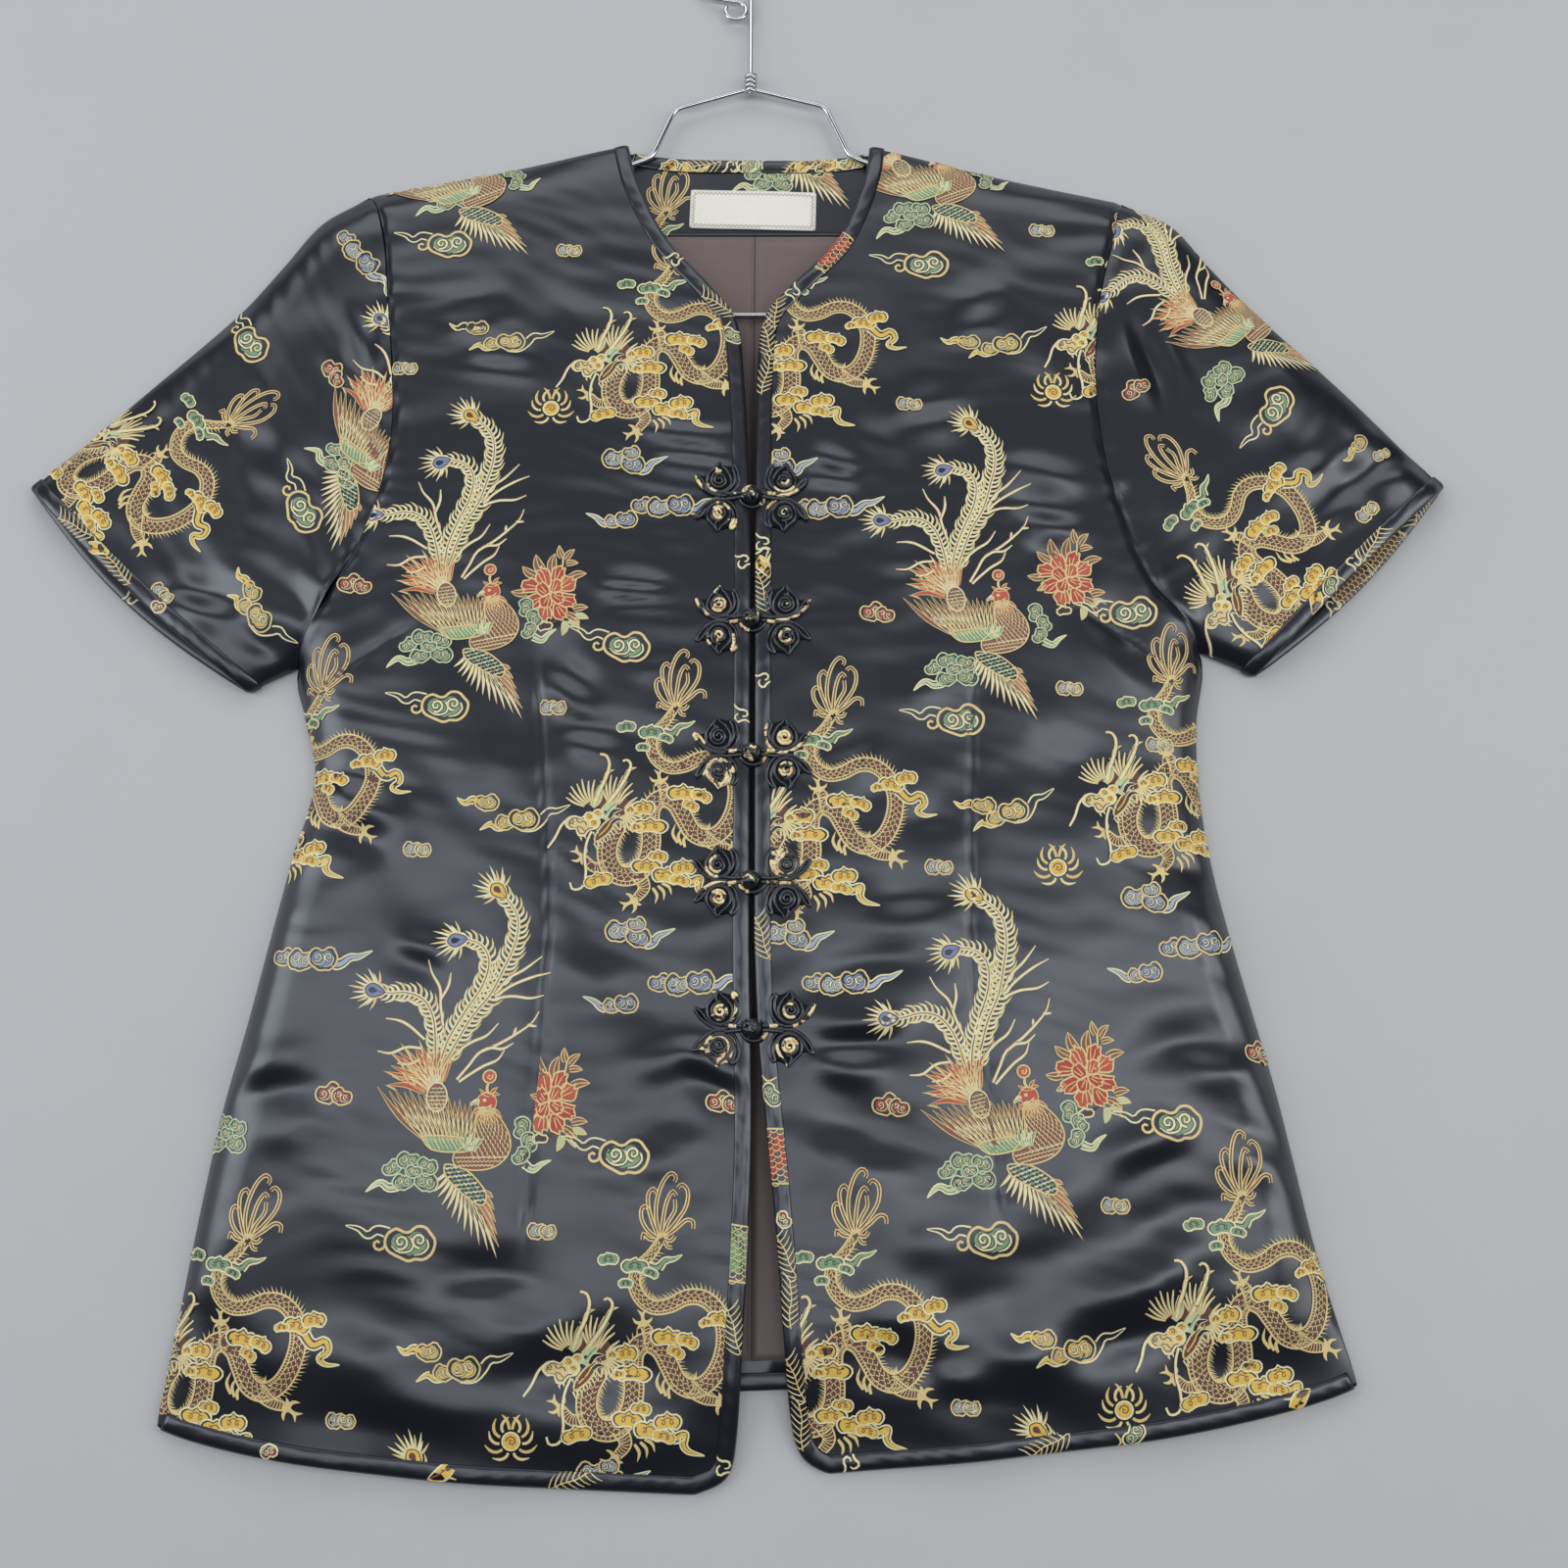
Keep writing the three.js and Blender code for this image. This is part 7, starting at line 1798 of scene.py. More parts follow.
# ---- sleeves
def sleeve_rings(side, rows=92, upper=96, lower=46):
    along = np.r_[np.linspace(0, 1, rows)[:-1], 1 - 0.25 / rows, 1.0]
    along[1] = 0.35 / rows
    outer, inner = [], []
    for k, al in enumerate(along):
        p0, p1 = sleeve_plan(side, al, 0.0), sleeve_plan(side, al, 1.0)
        width = float(np.hypot(*(p1 - p0)))
        rim = np.array([0, 0.10, 0.42, 0.95, 1.7]) / width
        up = np.r_[rim, np.linspace(rim[-1], 1 - rim[-1], upper - 8)[1:-1], 1 - rim[::-1]]
        down = np.r_[rim[1:], np.linspace(rim[-1], 1 - rim[-1], lower - 8)[1:-1], 1 - rim[::-1][:-1]][::-1]
        lift = CUFF_LIFT * float(smooth((al - 0.86) / 0.1))
        mid = 1.6 + lift
        pu, pd = sleeve_plan(side, np.full(up.shape, al), up), sleeve_plan(side, np.full(down.shape, al), down, True)
        # both layers share the folds
        blend = np.clip(np.minimum(down, 1 - down) * width / 6, 0, 1)[:, None]
        pd = pd * blend + sleeve_plan(side, np.full(down.shape, al), down) * (1 - blend)
        zu = sleeve_height(side, pu[:, 0], pu[:, 1], np.full(up.shape, al), up)
        if al > 0.9:
            zu = zu + 0.6 * np.sin(up * 17 + 1.3) * smooth((al - 0.9) / 0.1) * np.sin(np.pi * up)
        du = np.minimum(up, 1 - up) * width
        dd = np.minimum(down, 1 - down) * width
        arc_u = np.sqrt(np.clip(1 - (1 - np.minimum(du, 1.6) / 1.6) ** 2, 0, 1))
        arc_d = np.sqrt(np.clip(1 - (1 - np.minimum(dd, 1.6) / 1.6) ** 2, 0, 1))
        zu = mid + (zu - mid) * arc_u
        zd = mid + (lift - mid) * arc_d
        under_wave = 0.25 * (1 + np.sin(pd[:, 0] / 19 + 2) * np.cos(pd[:, 1] / 23)) * arc_d * smooth((dd - 6) / 20)
        zd = zd + under_wave * 0.6
        ins = CLOTH / width
        iu, idn = ins + up * (1 - 2 * ins), ins + down * (1 - 2 * ins)
        qu = sleeve_plan(side, np.full(up.shape, al), iu)
        qd = sleeve_plan(side, np.full(down.shape, al), idn, True)
        qd = qd * blend + sleeve_plan(side, np.full(down.shape, al), idn) * (1 - blend)
        outer.append(np.vstack([np.c_[pu, zu], np.c_[pd, zd]]))
        inner.append(np.vstack([np.c_[qu, np.maximum(zu - CLOTH, mid + 0.02)], np.c_[qd, np.minimum(zd + CLOTH, mid - 0.02)]]))
    return np.array(outer), np.array(inner), along, len(up)


SLEEVE, SLEEVE_TREE, SLEEVE_RINGS = {}, {}, {}
for side in ("right", "left"):
    outer, inner, along, n_up = sleeve_rings(side)
    n, m = outer.shape[:2]
    verts = np.vstack([outer.reshape(-1, 3), inner.reshape(-1, 3)])
    out_q = grid_quads(n, m, 0, wrap=True)
    in_q = grid_quads(n, m, n * m, flip=True, wrap=True)
    k = np.arange(m)
    j = (k + 1) % m
    root = np.stack([j, k, k + n * m, j + n * m], -1)
    e = (n - 1) * m
    mouth = np.stack([k + e, j + e, j + e + n * m, k + e + n * m], -1)
    quads = outward_faces(verts, np.vstack([out_q, in_q, root, mouth]))
    ob = make("sleeve_tube_" + side, verts, quads, [GROUND])
    SLEEVE[side] = piece(ob, "brocade", "sleeve_" + side)
    SLEEVE_TREE[side] = surface_of(outer[:, :n_up].reshape(-1, 3), grid_quads(n, n_up))
    SLEEVE_RINGS[side] = dict(outer=outer, inner=inner, up=n_up, along=along)
    print("sleeve", side, len(ob.data.polygons))


# ---- back, lining, facing, label
BACK_CLOTH, LINING_CLOTH, GAP = 1.2, 0.8, 0.3
NECK_F = np.linspace(0, 1, 43)


def inset_side(side, t, inset):
    a, b = side_point(side, np.maximum(0, t - 0.25)), side_point(side, np.minimum(SHOULDER, t + 0.25))
    d = b - a
    l = np.hypot(d[..., 0], d[..., 1])
    p = side_point(side, t)
    return np.stack([p[..., 0] - OUT[side] * d[..., 1] * inset / l, p[..., 1] + OUT[side] * d[..., 0] * inset / l], -1)


def back_outline(inset):
    t = np.arange(0.5, SHOULDER + 0.01, 0.25)
    hem = np.linspace(BACK_HEM["right"][0] + 0.6, BACK_HEM["left"][0] - 0.6, 80)
    return np.vstack([inset_side("right", t, inset), back_neck(NECK_F), inset_side("left", t, inset)[::-1], np.c_[hem, back_hem_y(hem)][::-1]])


def lining_outline(side):
    seam = 0.2 * OUT[side]
    p = inset_side(side, np.arange(1, SHOULDER - 2 + 0.01, 0.25), 6.0)
    p = p[(p[:, 1] < FACING_SEAM_Y - 2) & (p[:, 1] > back_hem_y(p[:, 0]) + 16)]
    hx = np.linspace(seam, p[0, 0], 30)
    return np.vstack([np.c_[hx, back_hem_y(hx) + 12.0], p, [[p[-1, 0], FACING_SEAM_Y - GAP], [seam, FACING_SEAM_Y - GAP]]])


def facing_outline():
    right, left = side_point("right", SHOULDER), side_point("left", SHOULDER)
    nr, nl = back_neck(0.0), back_neck(1.0)
    f = NECK_F[::-1]
    neck = back_neck(f)
    neck[:, 1] -= np.where((f == 0) | (f == 1), 4.0, 0.2)
    xr, xl = lerp(nr[0], right[0], 0.62), lerp(nl[0], left[0], 0.62)
    bottom = np.linspace(0, 1, 40)
    return np.vstack([
        np.c_[lerp(xr, xl, bottom), np.full(40, FACING_SEAM_Y)],
        [[xl, lerp(nl[1], left[1], 0.62) - 7]], neck, [[xr, lerp(nr[1], right[1], 0.62) - 7]],
    ])


def lining_height(x, y):
    """Thin lining: slack wrinkles that run down from the neck, flatter under the hanger bar."""
    free = smooth(np.abs(y - 243) / 16) * smooth((FACING_SEAM_Y + 2 - y) / 10)
    w = 0.34 * np.sin((x + 0.35 * y) / 6.1 + 1.4 * np.sin(y / 21)) + 0.26 * np.sin((x - 0.5 * y) / 9.7 + 0.7)
    w += 0.5 * np.exp(-((x + 14 + 0.3 * (y - 220)) / 3.2) ** 2) + 0.42 * np.exp(-((x - 11 - 0.22 * (y - 225)) / 2.8) ** 2)
    seam = np.exp(-(x / 1.1) ** 2)
    return 1.5 + LINING_CLOTH + 0.12 + (0.32 * w + 0.2) * free - 0.14 * seam


def back_height(x, y):
    return BACK_CLOTH + 0.0 * x


def back_under(x, y):
    """The back lies on the floor, and on its binding along the hem and the neck."""
    line = back_neck(np.linspace(0, 1, 20))
    bound = (y - back_hem_y(x) < 20) | (distance_to(segments_of([line]), x, y) < 20)
    return np.where(bound, 0.14, 0.0)


back_ob, back_v, back_t = polygon_plate("back_body", back_outline(0.35), 10.0, back_height, back_under, [GROUND])
piece(back_ob, "brocade", "back_panel")
LINING_OB = {}
for side in ("right", "left"):
    ob, _, _ = polygon_plate("lining_half_" + side, lining_outline(side), 5.0, lining_height, lambda x, y: lining_height(x, y) - LINING_CLOTH, [LINING])
    LINING_OB[side] = piece(ob, "lining", "lining_" + side)


def facing_height(x, y):
    near_seam = np.exp(-((y - FACING_SEAM_Y) / 1.6) ** 2)
    return 1.5 + LINING_CLOTH + 0.16 + 0.07 * np.sin(x / 13.0 + 0.6) + 0.05 * np.sin((x + y) / 7.0) + 0.10 * near_seam - 0.16 * np.exp(-((y - FACING_SEAM_Y) / 0.5) ** 2)


facing_ob, facing_v, facing_t = polygon_plate("back_neck_facing", facing_outline(), 3.0, facing_height, lambda x, y: facing_height(x, y) - LINING_CLOTH, [GROUND])
piece(facing_ob, "brocade", "neck_facing")


def rounded_box(width, height, r, n=5):
    pts = []
    for cx, cy, a0 in ((width / 2 - r, height / 2 - r, 0), (-width / 2 + r, height / 2 - r, 90), (-width / 2 + r, -height / 2 + r, 180), (width / 2 - r, -height / 2 + r, 270)):
        for k in range(n):
            a = math.radians(a0 + 90 * k / (n - 1))
            pts.append((cx + r * math.cos(a), cy + r * math.sin(a)))
    return np.array(pts)


def at_label(p):
    c, s = math.cos(math.radians(LABEL["turn"])), math.sin(math.radians(LABEL["turn"]))
    p = np.asarray(p, float)
    return np.c_[LABEL["x"] + c * p[:, 0] - s * p[:, 1], LABEL["y"] + s * p[:, 0] + c * p[:, 1]]


def label_height(x, y):
    return facing_height(x, y) + 0.72 + 0.10 * np.sin(x / 11 + 1) + 0.06 * np.sin(x / 4.3 + y / 5)


label_ob, _, _ = polygon_plate("label_blank", at_label(resample(rounded_box(LABEL["width"], LABEL["height"], 0.8), 1.6, closed=True)), 2.4, label_height, lambda x, y: label_height(x, y) - 0.45, [LABEL_CLOTH])
piece(label_ob, "label", "neck_label")
# woven border: a fine zigzag
stitch_v, stitch_q, count = [], [], 0
for inset_mm, width_mm, zig in ((1.9, 0.36, 0.60),):
    ring = resample(rounded_box(LABEL["width"] - 2 * inset_mm, LABEL["height"] - 2 * inset_mm, 0.5), 1.05, closed=True)
    nn = plan_normals(ring, True)
    ring = ring + nn * (zig * np.where(np.arange(len(ring)) % 2, 1, -1))[:, None]
    nn = plan_normals(ring, True)
    a, b = at_label(ring + nn * width_mm / 2), at_label(ring - nn * width_mm / 2)
    n = len(ring)
    p = np.vstack([a, b])
    stitch_v.append(np.c_[p, label_height(p[:, 0], p[:, 1]) + 0.07])
    k = np.arange(n)
    j = (k + 1) % n
    stitch_q.append(np.stack([k, j, j + n, k + n], -1) + count)
    count += 2 * n
stitch_v, stitch_q = np.vstack(stitch_v), np.vstack(stitch_q)
under = stitch_v.copy()
under[:, 2] -= 0.05
border = make("label_border", stitch_v, stitch_q, [LABEL_EDGE])
piece(border, "label")


# ---- bindings
def sweep(name, edge, inward, heights, profile, materials, closed=False, low=0.12, pucker=0.16, seed=0.0, width=BINDING_WIDTH):
    """Bias binding: a folded strip with its own thickness. profile rows: distance in from the edge (share of the width), rise above
    the cloth, and the side it lies on (1 above, -1 below, 0 past the edge)."""
    n = len(edge)
    run = np.r_[0, np.cumsum(np.linalg.norm(np.diff(edge[:, :2], axis=0), axis=1))]
    rings = np.empty((n, len(profile), 3))
    for k, (d, rise, face) in enumerate(profile):
        xy = edge[:, :2] + inward * (d * width if d > 0 else d)[..., None] if np.ndim(d) else edge[:, :2] + inward * (d * width if d > 0 else d)
        z = heights(max(d, 0.0) * width, face)
        ruffle = pucker * np.sin(run / 1.9 + 2.2 * np.sin(run / 9.5 + seed) + d * 4.4) * math.sin(math.pi * min(max(d, 0.02), 0.98)) if face > 0 and rise > 0.3 else 0.0
        rings[:, k, :2] = xy
        rings[:, k, 2] = np.maximum(z + rise + ruffle, low)
    return rings


BAND = [
    # distance in from the edge (share of the width, or millimetres past it), height over the cloth, side
    (1.0, 0.34, 1), (0.93, 0.78, 1), (0.80, 1.12, 1), (0.60, 1.34, 1), (0.38, 1.38, 1), (0.18, 1.14, 1), (0.04, 0.72, 1),
    (-0.62, 0.10, 1), (-0.80, -0.55, 1), (-0.62, -1.25, 1), (0.05, -0.55, -1), (0.30, -0.70, -1), (0.70, -0.66, -1), (1.0, -0.40, -1),
    (1.0, -0.06, -1), (0.05, -0.05, -1), (0.03, 0.05, 1), (0.97, 0.05, 1),
]


def front_binding(side):
    grid = FRONT_EDGE[side]["grid"]
    edge_line = grid[::-1, -1]
    hem_line = grid[0, ::-1][1:]
    line = np.vstack([edge_line, hem_line])
    line = line[:-2]
    d = np.r_[0, np.cumsum(np.linalg.norm(np.diff(line[:, :2], axis=0), axis=1))]
    n = int(d[-1] / 2.0)
    s = np.linspace(0.2, d[-1], n)
    edge = np.stack([np.interp(s, d, line[:, k]) for k in range(3)], -1)
    nn = plan_normals(edge[:, :2])
    # smooth the turn at the corner so that the strip doesn't fold over itself
    for _ in range(3):
        nn[1:-1] = (nn[:-2] + nn[1:-1] * 2 + nn[2:]) / 4
    nn /= np.linalg.norm(nn, axis=1)[:, None]
    probe = edge[n // 3, :2] + nn[n // 3] * 5
    if (probe[0] - edge[n // 3, 0]) * OUT[side] < 0:
        nn = -nn
    tree = FRONT_TREE[side]

    def heights(dist, face):
        out = np.empty(len(edge))
        for i, (p, w) in enumerate(zip(edge[:, :2], nn)):
            q = p + w * max(dist, 0.15)
            hit = tree.ray_cast(Vector((q[0], q[1], 80.0)), Vector((0, 0, -1)))[0]
            if hit is None:
                hit = tree.find_nearest(Vector((q[0], q[1], edge[i, 2])))[0]
            out[i] = hit.z
        # the strip smooths the small bumps below it
        sm = out.copy()
        sm[2:-2] = (out[:-4] + out[1:-3] + out[2:-2] + out[3:-1] + out[4:]) / 5
        return np.maximum(sm, out - 0.3) - (CLOTH if face < 0 else 0.0)

    rings = sweep("", edge, nn, heights, BAND, None, seed=0.7 if side == "left" else 2.3)
    return rings, edge, nn


BINDING = {}
for side in ("right", "left"):
    rings, edge, nn = front_binding(side)
    ob = loft("bias_binding_front_" + side, rings, [GROUND_BIAS])
    BINDING["front_" + side] = dict(ob=piece(ob, "binding", "binding_front_" + side), rings=rings, edge=edge, inward=nn)


def flat_binding(name, line, inward_turn, level, depth, node):
    line = resample(line, 2.0)
    edge = np.c_[line, np.full(len(line), level)]
    nn = plan_normals(line) * inward_turn
    # over the cloth, round its edge and back under it
    profile = [(1.0, 0.22, 1), (0.9, 0.6, 1), (0.65, 0.84, 1), (0.35, 0.84, 1), (0.1, 0.6, 1), (-0.55, 0.05, 1), (-0.72, -0.8, 1), (-0.6, -level + 0.14, 1), (0.02, -level + 0.03, 1), (0.93, -level + 0.03, 1), (0.93, -level + 0.10, 1), (0.03, -level + 0.11, 1), (0.02, 0.03, 1), (0.97, 0.03, 1)]
    rings = sweep("", edge, nn, lambda dist, face: np.full(len(line), level), profile, None, low=0.03, pucker=0.10, seed=1.0)
    ob = loft(name, rings, [GROUND_BIAS])
    BINDING[name] = dict(ob=piece(ob, "binding", node), rings=rings, edge=edge, inward=nn, profile=profile)


neck_line = back_neck(np.linspace(0.03, 0.97, 60))
flat_binding("bias_binding_back_neck", neck_line, -1.0, 2.5, 0, "binding_back_neck")
hx = np.linspace(BACK_HEM["right"][0] + 3, BACK_HEM["left"][0] - 3, 200)
flat_binding("bias_binding_back_hem", np.c_[hx, back_hem_y(hx)], 1.0, 1.2, 0, "binding_back_hem")


CUFF_BAND = [(7.0, 0.30), (6.6, 0.72), (5.6, 1.05), (4.2, 1.22), (2.6, 1.22), (1.2, 0.98), (0.2, 0.6), (-0.62, 0.0), (-0.78, -0.6), (-0.6, -1.25), (0.2, -1.85), (2.0, -1.95), (5.0, -1.85), (6.8, -1.5), (6.8, -1.26), (0.1, -1.24), (0.1, 0.04), (6.8, 0.05)]


def cuff_binding(side):
    data = SLEEVE_RINGS[side]
    outer, inner, up = data["outer"], data["inner"], data["up"]
    last = outer[-1]
    m = len(last)
    # a binding's width up the sleeve, along each line of the tube
    inward = np.empty((m, 2))
    path = outer[::-1]
    levels = {}
    ahead = np.stack([path[min(6, len(path) - 1), k, :2] - last[k, :2] for k in range(m)])
    inward = ahead / (np.linalg.norm(ahead, axis=1)[:, None] + 1e-9)
    centre = np.array(SLEEVES[side]["top"]) * 0.5 + np.array(SLEEVES[side]["under"]) * 0.5
    tangent = np.roll(last, -1, 0) - np.roll(last, 1, 0)
    din = np.c_[inward, np.zeros(m)]
    normal = np.cross(tangent, din)
    normal /= np.linalg.norm(normal, axis=1)[:, None]
    if normal[up // 2, 2] < 0:
        normal = -normal
    for _ in range(2):
        normal = (np.roll(normal, 1, 0) + normal * 2 + np.roll(normal, -1, 0)) / 4
    normal /= np.linalg.norm(normal, axis=1)[:, None]
    run_along = np.empty((len(path), m))
    for k in range(m):
        run_along[:, k] = np.r_[0, np.cumsum(np.linalg.norm(np.diff(path[:, k, :2], axis=0), axis=1))]
    profile = CUFF_BAND
    rings = np.empty((m, len(profile), 3))
    k_run = np.r_[0, np.cumsum(np.linalg.norm(np.diff(last, axis=0), axis=1))]
    for q, (d, h) in enumerate(profile):
        for k in range(m):
            r = run_along[:, k]
            dd = max(d, 0.0)
            base = np.array([np.interp(dd, r, path[:, k, c]) for c in range(3)]) if dd > 0 else last[k].copy()
            base = np.append(last[k, :2] + inward[k] * d, base[2])
            down = k >= up
            hh = h
            if down and h > 0:
                hh = h * 0.72
            if h > 0.5 and not down:
                hh += 0.12 * math.sin(k_run[k] / 1.9 + 2.2 * math.sin(k_run[k] / 9) + d)
            base = base + normal[k] * hh
            base[2] = max(base[2], 0.06)
            rings[k, q] = base
    ob = loft("bias_binding_cuff_" + side, rings, [GROUND_BIAS], closed_path=True)
    BINDING["cuff_" + side] = dict(ob=piece(ob, "binding", "binding_cuff_" + side), rings=rings, edge=last, inward=inward)


for side in ("right", "left"):
    cuff_binding(side)
print("bindings", {k: len(v["ob"].data.polygons) for k, v in BINDING.items()})


# ------------------------------------------------------------------ the woven design
SOUP = {}


def design(name, weight=1.0, seg=1.7, cell=2.6, plain=False):
    key = (name, weight, seg, plain)
    if key not in SOUP:
        if name.startswith("cloud"):
            pen = small_cloud(int(name[5:]))
        elif name in SPRIGS:
            pen = sprig(name)
        else:
            pen = {"dragon": dragon, "phoenix": phoenix, "peony": peony, "pearl": pearl}[name]()
        if plain:
            pen.lines = [q for q in pen.lines if np.max(q[1]) > 0.46 or q[3] <= 3]
        SOUP[key] = soup_of(pen, cell, seg, weight)
    return SOUP[key]


for side in ("right", "left"):
    # clear of the bound edge, up to the seams
    grid = FRONT_EDGE[side]["grid"]
    b = BINDING["front_" + side]
    inner_edge = b["edge"][:, :2] + b["inward"] * 6.5
    top = grid[:, 0, :2]
    outline = np.vstack([inner_edge, top, grid[-1, ::-4, :2]])
    outline = np.vstack([top[3:], grid[-1, 2:-6:4, :2], inner_edge[3:]])
    panel = Panel(outline, FRONT_TREE[side])
    for motif, x, y, turn, scale in LAYOUT["front_" + side]:
        panel.lay(design(motif), x, y, turn, scale)
    if side == "right":
        # a peony lies across the waist dart, which takes up 10 mm of it
        seam = [q for q in DARTS["front_right"][0] if -190 < q[1] < -70]
        for beyond, x in ((-40, -90.5), (-140, -80.5)):
            part = Panel(np.array(seam + [(beyond, -182), (beyond, -75)], float), FRONT_TREE[side])
            part.lay(design("peony"), x, -146.2, 2, 1.1)
            panel.tris += [t + panel.count for t in part.tris]
            panel.verts += part.verts
            panel.colours += part.colours
            panel.count += part.count
    piece(panel.build("design_front_" + side), "brocade")
    rings = SLEEVE_RINGS[side]
    o, up = rings["outer"], rings["up"]
    cuff = o[-1, 6:up - 6]
    inward = o[-5, 6:up - 6] - cuff
    inward = inward[:, :2] / np.linalg.norm(inward[:, :2], axis=1)[:, None]
    cuff_line = cuff[:, :2] + inward * 6.6
    outline = np.vstack([o[0, 2:up - 2, :2], o[1:-3, up - 3, :2], cuff_line[::-1], o[1:-3, 2, :2][::-1]])
    panel = Panel(outline, SLEEVE_TREE[side])
    for motif, x, y, turn, scale in LAYOUT["sleeve_" + side]:
        panel.lay(design(motif), x, y, turn, scale)
    piece(panel.build("design_sleeve_" + side), "brocade")

# bits of the design that fall on the narrow bindings, cut on the bias
BITS = {
    # fragment, x, y, turn from the run of the strip
    "front_left": [("scales_red", 42, 272.3, 6), ("loops", 21.6, 249.7, 0), ("barbs", 7, 241, 20), ("barbs", 3, 222, 14), ("barbs", 2.4, 203, -16), ("loops", 1.8, 116, 0), ("loops", 1.8, 109.5, 50), ("petal", 1.8, 101.5, 10), ("barbs", 1.8, 90, 8), ("loops", 1.8, 48, 30), ("barbs", 2.2, -76, 12), ("leafy", 7, -147, 0), ("scales_red", 9, -172, 4), ("bead", 11.4, -200, 0), ("barbs", 12.6, -217, 16), ("barbs", 15, -236, -10), ("barbs", 18.4, -268, 14), ("barbs", 22, -288, -12), ("loops", 44, -313.4, 20), ("barbs", 132, -302, 18), ("leafy", 168, -296.8, 10), ("petal", 242, -278, 10)],
    "front_right": [("loops", -46.6, 265, 10), ("barbs", -19, 240, 16), ("leafy", -12, 225, 20), ("loops", -1.8, 106, 24), ("loops", -1.8, 31, 0), ("scales_green", -1.8, -215, 4), ("barbs", -3.4, -248, 14), ("loops", -9, -304, 20), ("barbs", -79, -317.8, 20), ("petal", -133, -310, 10), ("bead", -207, -294, 0)],
}
BIT_ANCHORS = [(-30, -7.5), (20, -40), (10, 30), (-8, -28), (26, -12), (14, 52)]
for side in ("right", "left"):
    b = BINDING["front_" + side]
    rings = b["rings"]
    verts = rings[:, :8].reshape(-1, 3)
    tree = surface_of(verts, grid_quads(len(rings), 8))
    outer_line = b["edge"][:, :2] - b["inward"] * 0.45
    inner_line = b["edge"][:, :2] + b["inward"] * 6.7
    panel = Panel(np.vstack([outer_line, inner_line[::-1]]), tree, base=0.10, step=0.022)
    middle = b["edge"][:, :2] + b["inward"] * 3.1
    for motif, x, y, turn in BITS["front_" + side]:
        k = int(np.clip(np.argmin(np.hypot(middle[:, 0] - x, middle[:, 1] - y)), 1, len(middle) - 2))
        run = middle[k + 1] - middle[k - 1]
        panel.lay(design(motif), middle[k, 0], middle[k, 1], math.degrees(math.atan2(run[1], run[0])) + turn)
    piece(panel.build("design_binding_" + side), "binding")
# bits on the cuffs' bindings, and inside the mouth where the under half shows
CUFF_BITS = {
    "right": dict(upper=[("barbs", -331, 122.7, 10), ("petal", -320, 109.7, 0), ("barbs", -311, 99.6, -12), ("bead", -289, 81.8, 0)], under=[("loops", -300, 96, 0)]),
    "left": dict(upper=[("barbs", 300, 116, 12), ("loops", 293, 108, 0), ("leafy", 283, 90, 0), ("petal", 275, 81, 10)], under=[("barbs", 332, 137, 14), ("scales_brown", 311, 118, 4), ("scales_brown", 292, 99, -4), ("loops", 281, 88, 0)]),
}
for side in ("right", "left"):
    b, up = BINDING["cuff_" + side], SLEEVE_RINGS[side]["up"]
    rings = b["rings"]
    parts = []
    for half, pick, legs in (("upper", slice(4, up - 4), slice(0, 8)), ("under", slice(up + 3, len(rings) - 3), slice(9, 14))):
        r = rings[pick, legs]
        outer_line = b["edge"][pick, :2] - b["inward"][pick] * 0.4
        inner_line = b["edge"][pick, :2] + b["inward"][pick] * 6.6
        middle = b["edge"][pick, :2] + b["inward"][pick] * 3.1
        panel = Panel(np.vstack([outer_line, inner_line[::-1]]), surface_of(r.reshape(-1, 3), grid_quads(*r.shape[:2])), base=0.10, step=0.022)
        for motif, x, y, turn in CUFF_BITS[side][half]:
            k = int(np.clip(np.argmin(np.hypot(middle[:, 0] - x, middle[:, 1] - y)), 1, len(middle) - 2))
            run = middle[k + 1] - middle[k - 1]
            panel.lay(design(motif), middle[k, 0], middle[k, 1], math.degrees(math.atan2(run[1], run[0])) + turn)
        parts.append(panel)
    parts[0].tris += [t + parts[0].count for t in parts[1].tris]
    parts[0].verts += parts[1].verts
    parts[0].colours += parts[1].colours
    piece(parts[0].build("design_cuff_" + side), "binding")

neck = BINDING["bias_binding_back_neck"]
neck_tree = surface_of(neck["rings"][:, :7].reshape(-1, 3), grid_quads(len(neck["rings"]), 7))
panel = Panel(np.vstack([neck["edge"][:, :2] - neck["inward"] * 0.3, (neck["edge"][:, :2] + neck["inward"] * 6.7)[::-1]]), neck_tree, base=0.08, step=0.02)
for k, (x, y, turn) in enumerate(((-35.2, 327.8, 45), (5, 327.8, 40))):
    ax, ay = BIT_ANCHORS[k + 1]
    c, s = math.cos(math.radians(turn)), math.sin(math.radians(turn))
    panel.lay(design("dragon"), x - (c * ax - s * ay), y - (s * ax + c * ay), turn)
for motif, x, turn in (("barbs", -27, 8), ("loops", -14, 0), ("leafy", -3, 0), ("petal", 26, 10), ("leafy", 49, 0)):
    k = int(np.clip(np.argmin(np.abs(neck["edge"][:, 0] - x)), 1, len(neck["edge"]) - 2))
    spot = neck["edge"][k, :2] + neck["inward"][k] * 3.2
    panel.lay(design(motif), spot[0], spot[1], turn)
piece(panel.build("design_binding_neck"), "binding")

